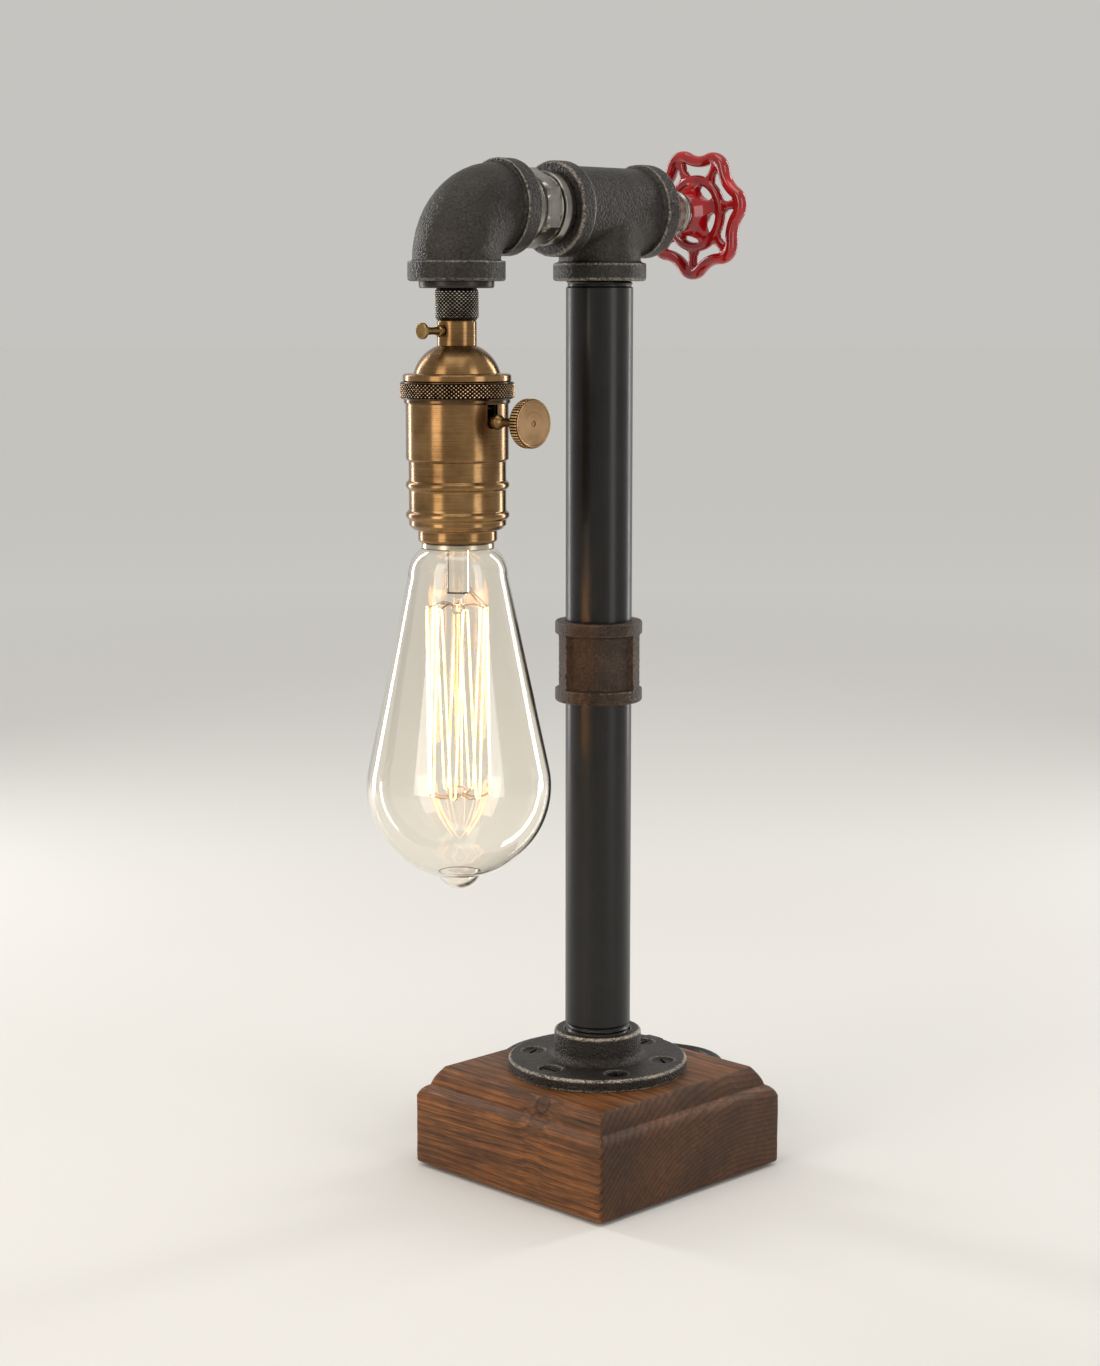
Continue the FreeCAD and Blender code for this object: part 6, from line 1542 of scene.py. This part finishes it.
@dataclass
class ValveArm:
    """The tee, the nickel nipple, the bonnet and the wheel on its stem."""

    lobes: int = 7
    first_lobe: float = 3.7
    windows: int = 5
    rim_plane: float = 56.7
    lobe_reach: float = 24.5
    valley_reach: float = 20.9
    lobe_radius: float = 5.75
    rim: Point2 = (2.35, 2.7)
    ring_reach: float = 13.55
    ring: Point2 = (2.05, 2.3)
    ring_steps: int = 72
    window_reach: float = 10.75
    window_half: Point2 = (1.85, 4.3)
    web_reaches: tuple[float, ...] = (13.4, 15.4, 17.2, 18.8, 20.6, 22.4, 23.8)
    web_sections: tuple[Point2, ...] = ((4.6, 1.5), (3.0, 1.6), (2.0, 1.7), (1.8, 1.8), (2.2, 1.8),
                                        (3.3, 1.8), (4.4, 1.7))

    def build(self, frame: dict) -> None:
        """The arm's pieces and the wheel's."""
        tee = cast(copy_of_node(frame, "pipe_tee", "tee_cast"), IRON, voxel=0.465, passes=3,
                   grit=1.0, relief=0.06, seed=21.0)
        fit(tee, "arm", "pipe_tee", slot="cast_iron")
        self.nipple()
        self.bonnet()
        self.wheel()
        self.stem()

    def nipple(self) -> None:
        """Hex nipple between the tee and the elbow, as seen from the tee's face outwards."""
        seat = Seat((-TEE_REACH, 0.0, ARM_HEIGHT), Axis.LEFT)
        body = turned("nipple_body", (
            (9.5, -13.0, 0.3), (13.3, -13.0, 0.6), (13.3, -0.1, 0.1), (14.3, 0.02, 0.5),
            (14.5, 2.6, 1.0), (14.3, 5.4, 0.5), (12.9, 5.6, 0.2), (12.75, 6.2, 0.2),
            (12.75, 15.4, 0.2), (13.2, 15.9, 0.2), (14.0, 16.3, 0.9), (14.0, 18.9, 0.9),
            (13.0, 19.3, 0.2), (12.8, 19.6, 0.1), (13.0, 21.8, 0.1), (13.3, 22.0, 0.1),
            (13.3, 32.3, 0.6), (9.5, 32.3, 0.3),
        ), seat, NICKEL, steps=128)
        nut = turned("nipple_hex", (
            (12.3, 6.8, 0.0), (13.4, 6.8, 0.2), (15.4, 8.0, 0.3), (15.4, 13.1, 0.3),
            (13.4, 14.3, 0.2), (12.3, 14.3, 0.0),
        ), seat, NICKEL, steps=240, limit=hexagon(26.6, math.radians(30)))
        fit(joined("hex_nipple_plated", [body, nut], None, 24.0), "arm", "hex_nipple",
            slot="nickel")

    def bonnet(self) -> None:
        """Bonnet and packing nut, plated like the nipple."""
        seat = Seat((TEE_REACH, 0.0, ARM_HEIGHT), Axis.RIGHT)
        bonnet = turned("bonnet_plated", (
            (3.24, -10.0, 0.2), (13.3, -10.0, 0.5), (13.3, -1.2, 0.3), (12.4, -0.5, 0.4),
            (10.4, -0.2, 0.6), (10.5, 1.0, 0.8), (10.2, 2.7, 1.0), (9.4, 3.4, 0.3), (6.9, 3.4, 0.0),
            (6.9, 15.2, 0.2), (3.24, 15.2, 0.2),
        ), seat, NICKEL, steps=96)
        fit(bonnet, "arm", "valve_bonnet", slot="nickel")
        nut = turned("packing_nut_plated", (
            (6.95, 3.4, 0.0), (8.2, 3.4, 0.4), (8.9, 4.5, 0.8), (8.8, 5.7, 0.8), (8.0, 6.2, 0.3),
            (7.9, 11.4, 0.3), (8.1, 14.8, 0.3), (8.8, 15.3, 0.7), (8.9, 16.6, 0.8),
            (8.2, 17.9, 0.6), (3.24, 17.9, 0.2), (3.24, 15.3, 0.0), (6.95, 15.3, 0.0),
        ), seat, NICKEL, steps=96)
        fit(nut, "arm", "packing_nut", slot="nickel")

    def lobed_line(self) -> tuple[list[Vector], list[Vector]]:
        """The rim's centre line in the wheel's plane, and the outward direction at each point."""
        step = math.pi / self.lobes
        centre = self.lobe_reach - self.lobe_radius
        across = centre * math.cos(step)
        bulge, dent = self.lobe_radius, self.valley_reach
        valley = ((centre ** 2 + dent ** 2 - 2 * dent * across - bulge ** 2)
                  / (2 * bulge - 2 * dent + 2 * across))
        points, sides = [], []
        for index in range(self.lobes):
            middle = math.radians(self.first_lobe) + 2 * step * index
            lobe = level_point(middle, centre)
            dip = level_point(middle + step, self.valley_reach + valley)
            following = level_point(middle + 2 * step, centre)
            previous = level_point(middle - step, self.valley_reach + valley)
            for hub, radius, start, end, count, outward in (
                (lobe, self.lobe_radius, previous - lobe, dip - lobe, 14, 1.0),
                (dip, valley, lobe - dip, following - dip, 10, -1.0),
            ):
                first, last = math.atan2(start.y, start.x), math.atan2(end.y, end.x)
                sweep = (last - first + math.pi) % FULL_TURN - math.pi
                if outward > 0 and sweep < 0:
                    sweep += FULL_TURN
                for k in range(count):
                    angle = first + sweep * k / count
                    direction = level_point(angle)
                    points.append(hub + direction * radius)
                    sides.append(direction * outward)
        return points, sides

    def wheel(self) -> None:
        """The cast wheel: lobed rim, webs, inner ring and a dished web with windows to the hub."""
        line, sides = self.lobed_line()
        lift = UPWARD * self.rim_plane
        parts = [swept("rim", [point + lift for point in line], sides, [UPWARD] * len(line),
                       [self.rim] * len(line), ENAMEL, closed=True, around=18, power=2.3)]
        outward = [level_point(FULL_TURN * k / self.ring_steps) for k in range(self.ring_steps)]
        parts.append(swept("ring", [direction * self.ring_reach + lift for direction in outward],
                           outward,
                           [UPWARD] * self.ring_steps, [self.ring] * self.ring_steps, ENAMEL,
                           closed=True, around=18, power=2.3))
        reaches = self.web_reaches
        for direction, side in self.spokes(self.lobes):
            parts.append(swept("web", [direction * reach + lift for reach in reaches],
                               [side] * len(reaches), [UPWARD] * len(reaches),
                               self.web_sections, ENAMEL, closed=False, around=16, power=2.6))
        hub = turned("hub", (
            (3.25, 46.5, 0.0), (7.6, 46.5, 0.8), (8.3, 48.2, 1.0), (9.2, 50.6, 1.5),
            (11.0, 53.2, 1.5), (13.2, 55.2, 0.6), (14.0, 56.7, 0.6), (12.8, 58.0, 0.5),
            (10.4, 56.6, 1.2), (8.9, 55.5, 0.6), (3.25, 55.5, 0.0),
        ), Seat(), ENAMEL, steps=96)
        hub = cut_out(hub, self.window_cutters())
        wheel = joined("wheel_enamelled", [*parts, hub], ENAMEL)
        for vertex, spot in zip(wheel.data.vertices,
                                ARM_SEAT.placed(tuple(v.co / MM) for v in wheel.data.vertices)):
            vertex.co = spot
        wheel = cast(wheel, ENAMEL, voxel=0.34, passes=7, grit=3.0, relief=0.0, seed=5.0)
        fit(wheel, "valve_wheel", "handwheel", slot="red_enamel")

    def window_cutters(self) -> Piece:
        """Oval bars that open the windows of the dished web."""
        bars = []
        for direction, side in self.spokes(self.windows):
            ends = [direction * self.window_reach + UPWARD * level for level in (47.0, 60.0)]
            bars.append(swept("window", ends, [direction] * 2, [side] * 2, [self.window_half] * 2,
                              ENAMEL, closed=False, around=32))
        return joined("windows", bars, ENAMEL)

    def spokes(self, count: int) -> list[tuple[Vector, Vector]]:
        """Directions spaced evenly round the wheel from its first lobe, each with its side."""
        angles = [math.radians(self.first_lobe) + FULL_TURN * k / count for k in range(count)]
        return [(level_point(a), Vector((-math.sin(a), math.cos(a), 0.0))) for a in angles]

    def stem(self) -> None:
        """Washer and nut on the end of the valve stem."""
        washer = turned("washer_plated", ((3.25, 55.5, 0.1), (5.95, 55.5, 0.25), (5.95, 56.5, 0.25),
                                          (3.25, 56.5, 0.1)), ARM_SEAT, ZINC, steps=64)
        fit(washer, "valve_wheel", "wheel_washer", slot="zinc_steel")
        nut = turned("nut_plated", (
            (3.25, 56.5, 0.2), (4.7, 56.5, 0.1), (5.75, 57.1, 0.15), (5.75, 60.3, 0.15),
            (4.7, 61.0, 0.1), (3.25, 61.0, 0.3),
        ), ARM_SEAT, ZINC, steps=120, limit=hexagon(10.0))
        fit(nut, "valve_wheel", "wheel_nut", slot="zinc_steel")


@dataclass
class Elbow:
    """The elbow, its bushing and the knurled coupler."""

    def build(self, frame: dict) -> None:
        """The pieces between the arm and the socket."""
        elbow = cast(copy_of_node(frame, "pipe_elbow", "elbow_cast"), IRON, voxel=0.4, passes=3,
                     grit=1.0, relief=0.06, seed=44.0)
        fit(elbow, "head", "pipe_elbow", slot="cast_iron")
        bushing = turned("bushing_turned", (
            (5.05, 360.4, 0.2), (13.9, 360.4, 0.5), (14.2, 361.2, 0.3), (14.25, 363.0, 0.2),
            (13.3, 363.02, 0.0), (13.3, 373.0, 0.5), (5.05, 373.0, 0.2),
        ), SOCKET_SEAT, BLACK_STEEL)
        fit(bushing, "head", "reducing_bushing", slot="black_steel")
        core = turned("coupler_core", (
            (5.05, 348.6, 0.1), (7.6, 348.6, 0.2), (7.7, 349.3, 0.1), (7.7, 359.7, 0.1),
            (7.6, 360.4, 0.2), (5.05, 360.4, 0.1),
        ), SOCKET_SEAT, GUNMETAL, steps=120)
        knurl = RidgedSleeve(radius=8.45, bore=7.0, height=10.6, ridges=30, slope=0.7, depth=0.6,
                             columns=3, rows=4, fade=0.35)
        sleeve = knurl.build("coupler_knurl", Seat((SOCKET_X, 0.0, 349.2)), GUNMETAL)
        fit(joined("coupler_knurled", [core, sleeve], GUNMETAL, KNURL_SHARP), "head",
            "knurled_coupler", slot="gunmetal")


@dataclass
class Socket:
    """The brass socket: neck, cap, knurled ring and shell."""

    shell_top: float = 325.6
    slot_half: float = 2.65

    def build(self) -> None:
        """The socket's outside, piece by piece."""
        neck = turned("neck_brushed", (
            (5.05, 338.9, 0.1), (7.5, 338.9, 0.2), (7.52, 347.9, 0.5), (7.1, 348.6, 0.3),
            (5.05, 348.6, 0.1),
        ), SOCKET_SEAT, AGED_BRASS)
        hole = turned("hole", ((0, 3, 0), (1.76, 3, 0), (1.76, 12, 0), (0, 12, 0)),
                      SCREW_SEAT, AGED_BRASS, steps=32, closed=False)
        neck = dressed(cut_out(neck, hole), AGED_BRASS)
        fit(neck, "head", "socket_neck", slot="antique_brass")
        self.thumb_screw()
        self.cap()
        self.ring()
        self.shell()

    def thumb_screw(self) -> None:
        """Thumbscrew in the neck's side, with a slim collar and a coined head."""
        shank = turned("thumb_shank", (
            (0.0, 5.1, 0.0), (1.65, 5.1, 0.2), (1.68, 7.9, 0.1), (2.2, 8.0, 0.3), (2.3, 9.4, 0.4),
            (1.5, 9.9, 0.3), (1.35, 13.0, 0.6), (1.7, 16.2, 0.4), (1.8, 16.8, 0.0),
            (0.0, 16.8, 0.0),
        ), SCREW_SEAT, SCREW_BRASS, steps=48, closed=False)
        head = turned("thumb_head", (
            (0.0, 16.7, 0.0), (2.7, 16.7, 0.35), (3.1, 17.1, 0.25), (3.1, 18.0, 0.25),
            (2.6, 18.4, 0.3), (0.0, 18.25, 0.0),
        ), SCREW_SEAT, SCREW_BRASS, steps=64, closed=False)
        fit(joined("thumb_screw_turned", [shank, head], SCREW_BRASS), "neck_screw", "thumb_screw",
            slot="raw_brass")

    def cap(self) -> None:
        """Spun cap: a dome over a flat rim."""
        dome_centre, dome_radius = self.dome()
        start = math.degrees(math.atan2(328.8 - dome_centre[1], 16.4 - dome_centre[0]))
        end = math.degrees(math.atan2(338.5 - dome_centre[1], 8.0 - dome_centre[0]))
        outside = arc(dome_centre, dome_radius, start, end, 18)
        inside = arc(dome_centre, dome_radius - 0.8, end, start, 18)
        corners = [(15.6, 325.65, 0.0), (20.2, 325.65, 0.3), (20.55, 326.1, 0.3),
                   (20.5, 328.0, 0.45), (19.9, 328.5, 0.3), (17.0, 328.55, 0.35), *outside,
                   (7.7, 338.88, 0.25), (5.05, 338.9, 0.0), (5.05, 337.4, 0.0), *inside]
        fit(turned("cap_spun", corners, SOCKET_SEAT, AGED_BRASS, steps=128), "head", "socket_cap",
            slot="antique_brass")

    def dome(self) -> tuple[Point2, float]:
        """Centre and radius of the dome's outline through its foot and its top."""
        foot, top, radius = Vector((16.4, 328.8)), Vector((7.7, 338.9)), 15.0
        chord = top - foot
        rise = math.sqrt(radius ** 2 - (chord.length / 2) ** 2)
        inward = Vector((-chord.y, chord.x)).normalized()
        return tuple(foot + chord / 2 + inward * rise), radius

    def ring(self) -> None:
        """Diamond-knurled ring that clamps the shell, with a plain lip below."""
        core = turned("ring_core", (
            (19.55, 317.4, 0.1), (20.0, 317.4, 0.2), (20.2, 318.0, 0.3), (20.15, 319.0, 0.2),
            (21.1, 319.2, 0.2), (21.25, 319.7, 0.1), (21.25, 325.1, 0.1), (21.1, 325.6, 0.2),
            (19.55, 325.6, 0.1),
        ), SOCKET_SEAT, BRONZE, steps=144)
        # The real ring has about 95 ridges. Fewer are drawn, so that they show.
        knurl = RidgedSleeve(radius=21.9, bore=20.4, height=5.7, ridges=78, slope=0.7, depth=0.55,
                             columns=3, rows=5, fade=0.3)
        sleeve = knurl.build("ring_knurl", Seat((SOCKET_X, 0.0, 319.55)), RING_BRONZE)
        fit(joined("union_ring_knurled", [core, sleeve], None, KNURL_SHARP), "head", "union_ring",
            slot="dark_bronze")

    def shell(self) -> None:
        """Spun shell with its beads and its mouth, and the slot for the key."""
        top, waist = self.shell_top, 18.5
        outside: list[Corner] = [(19.5, top, 0.0), (19.5, 296.6, 0.5), (19.0, 296.0, 0.3),
                                 (waist, 295.7, 0.3)]
        for middle in (286.7, 275.3):
            outside += [(waist, middle + 2.4, 0.25), (waist + 0.12, middle + 1.8, 0.2)]
            outside += arc((waist - 0.55, middle), 1.75, 62, -62, 10)
            outside += [(waist + 0.12, middle - 1.8, 0.2), (waist, middle - 2.4, 0.25)]
        outside += [(waist, 271.6, 0.6), (17.2, 270.1, 0.5), (16.6, 269.8, 0.2), (15.2, 269.7, 0.2),
                    (15.05, 269.2, 0.2), (15.05, 266.0, 0.5), (14.7, 265.2, 0.3)]
        inside: list[Corner] = [(14.25, 265.2, 0.2), (14.25, 270.6, 0.2), (16.1, 270.6, 0.2),
                                (17.7, 272.2, 0.2),
                                (17.7, 295.0, 0.2), (18.7, 296.2, 0.2), (18.7, top, 0.0)]
        shell = turned("shell_spun", [*outside, *inside], SOCKET_SEAT, AGED_BRASS, steps=160)
        half, foot = self.slot_half, KEY_HEIGHT
        outline = [(half, top + 2.0), (-half, top + 2.0)]
        outline += [(half * math.cos(a), foot + half * math.sin(a))
                    for a in (math.pi + math.pi * k / 20 for k in range(21))]
        points = [Vector((SOCKET_X + x, y, z)) * MM for y in (-25.0, -10.0) for x, z in outline]
        count = len(outline)
        faces = [tuple(range(count)), tuple(range(count, 2 * count))]
        faces += [(k, (k + 1) % count, (k + 1) % count + count, k + count) for k in range(count)]
        shell = cut_out(shell, object_of("slot", points, faces, AGED_BRASS))
        fit(dressed(shell, AGED_BRASS, 32.0), "head", "socket_shell", slot="antique_brass")


@dataclass
class KeySwitch:
    """The key: a knurled knob on a turned stem."""

    start: float = 37.0
    thickness: float = 4.3
    radius: float = 9.25

    def build(self) -> None:
        """Knob and stem."""
        end = self.start + self.thickness
        face = turned("knob_face", (
            (0.0, self.start, 0.0), (8.75, self.start, 0.15), (8.75, end, 0.15), (8.3, end, 0.1),
            (8.1, end - 0.12, 0.1), (1.15, end - 0.12, 0.1), (1.0, end - 0.9, 0.1),
            (0.55, end - 0.9, 0.05), (0.5, end - 0.2, 0.1), (0.0, end - 0.15, 0.0),
        ), KEY_SEAT, RAW_BRASS, steps=128, closed=False)
        # The real knob has about 70 ridges. Fewer are drawn, so that they show.
        knurl = RidgedSleeve(radius=self.radius, bore=8.0, height=self.thickness - 0.2, ridges=50,
                             slope=0.0, depth=0.5, crossed=False, columns=2, rows=4, fade=0.2)
        edge = knurl.build("knob_edge", Seat((SOCKET_X, -(self.start + 0.1), KEY_HEIGHT),
                                             Axis.FRONT), KNOB_BRASS)
        fit(joined("key_knob_turned", [face, edge], None, KNURL_SHARP), "key", "key_knob",
            slot="raw_brass")
        stem = turned("key_stem_turned", (
            (0.0, 6.0, 0.0), (1.8, 6.0, 0.2), (1.8, 18.9, 0.3), (2.3, 20.3, 0.4), (2.85, 21.3, 0.8),
            (2.85, 23.0, 0.8), (2.1, 24.2, 0.4), (1.65, 25.4, 0.6), (1.6, 31.0, 0.5),
            (1.85, 34.5, 0.5), (2.5, 36.5, 0.4), (2.5, 37.0, 0.0), (0.0, 37.0, 0.0),
        ), KEY_SEAT, STEM_BRASS, steps=56, closed=False)
        fit(stem, "key", "key_stem", slot="raw_brass")


@dataclass
class Bulb:
    """The tapered bulb's envelope; its stem, wires and filament are the solid model's own."""

    radius: float = 35.55
    taper: float = 12.0
    drop: float = 130.3
    neck: float = 13.3
    neck_drop: float = 2.2
    neck_bend: float = 13.0
    cone_drop: float = 13.0
    throat: float = 12.6
    throat_rise: float = 11.0
    foot: float = 8.35
    tip_drop: float = 5.9
    tip_bend: float = 10.0
    wall: float = 0.8

    def outline(self, shrink: float) -> list[Corner]:
        """The glass from its throat down to its tip, moved inwards by a thickness."""
        slope, level = math.cos(math.radians(self.taper)), math.sin(math.radians(self.taper))
        ball, centre = self.radius - shrink, MOUTH_HEIGHT - self.drop + self.radius
        cone_top = MOUTH_HEIGHT - self.cone_drop - shrink * level
        cone_radius = (ball - (cone_top - centre) * level) / slope
        neck, foot = self.neck - shrink, self.foot - shrink
        start = Vector((neck, MOUTH_HEIGHT - self.neck_drop))
        end = Vector((cone_radius, cone_top))
        throat = self.throat - shrink
        corners = [(throat, MOUTH_HEIGHT + self.throat_rise, 0.0), (throat, MOUTH_HEIGHT, 0.0)]
        corners += self.bend(start, end, self.neck_bend - shrink, 14)
        corners.append((ball * slope, centre + ball * level, 0.0))
        foot_angle = math.degrees(math.acos(foot / ball))
        corners += arc((0.0, centre), ball, self.taper - 4.0, -foot_angle, 40)
        foot_point = Vector((foot, centre - math.sqrt(ball ** 2 - foot ** 2)))
        tip = Vector((0.0, foot_point.y - self.tip_drop + shrink * 0.6))
        corners += self.bend(foot_point, tip, self.tip_bend - shrink, 12)[1:]
        return corners

    @staticmethod
    def bend(start: Vector, end: Vector, radius: float, steps: int) -> list[Corner]:
        """Points of an arc from one point to another that bulges away from the axis.

        Args:
            start: its first point, as radius and height.
            end: its last point.
            radius: the arc's radius.
            steps: the number of its parts.

        Returns:
            Its points as corners without rounding.
        """
        chord = end - start
        rise = math.sqrt(radius ** 2 - (chord.length / 2) ** 2)
        inward = Vector((chord.y, -chord.x)).normalized()
        centre = start + chord / 2 + inward * rise
        if centre.x > max(start.x, end.x):
            centre = start + chord / 2 - inward * rise
        first = math.atan2(start.y - centre.y, start.x - centre.x)
        last = math.atan2(end.y - centre.y, end.x - centre.x)
        sweep = (last - first + math.pi) % FULL_TURN - math.pi
        return [(max(centre.x + radius * math.cos(first + sweep * k / steps), 0.0),
                 centre.y + radius * math.sin(first + sweep * k / steps), 0.0)
                for k in range(steps + 1)]

    def build(self) -> None:
        """The envelope as one closed skin, outside and inside."""
        outside, inside = self.outline(0.0), self.outline(self.wall)
        outside[-1] = (0.0, outside[-1][1], 0.0)
        inside[-1] = (0.0, inside[-1][1], 0.0)
        glass = turned("bulb_envelope", [*outside, *reversed(inside)], SOCKET_SEAT, GLASS,
                       steps=144)
        fit(glass, "bulb", "bulb_glass", slot="clear_glass")


NODE_FINISHES: dict[str, Finish] = {
    "base_felt": FELT, "cord_gland": RUBBER, "riser_cable": FLEX, "gland_packing": RUBBER,
    "arm_cable": FLEX,
    "wheel_stem": ZINC, "threaded_tube": ZINC, "insulating_liner": FIBRE, "socket_core": PHENOLIC,
    "screw_shell": SCREW_BRASS, "centre_contact": SCREW_BRASS, "terminal_screws": SCREW_BRASS,
    "switch_contact": SCREW_BRASS, "head_cable": FLEX, "socket_leads": LEAD_SLEEVE,
    "switch_cam": PHENOLIC,
    "bulb_cap": CAP_METAL, "bulb_insulator": BLACK_GLASS, "bulb_contact": CAP_METAL,
    "bulb_stem": STEM_GLASS,
    "bulb_filament": GLOW, "filament_supports": NICKEL_WIRE, "bulb_leads": NICKEL_WIRE,
}


def dress_nodes(frame: dict) -> None:
    """Gives each CAD node that stays in view its own finish."""
    for node, finish in NODE_FINISHES.items():
        piece = frame["nodes"][node]
        for slot in piece.material_slots:
            slot.material = finish.build()
        LOG.info("%s keeps its solid shape in %s", node, finish.name)


def main() -> None:
    """Builds the lamp's looks in order."""
    logging.basicConfig(level=logging.INFO, format="%(name)s: %(message)s")
    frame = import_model()
    Studio().build()
    FlexCord().build()
    WoodenBase().build()
    Riser().build(frame)
    ValveArm().build(frame)
    Elbow().build(frame)
    Socket().build()
    KeySwitch().build()
    Bulb().build()
    dress_nodes(frame)


if __name__ == "__main__":
    main()
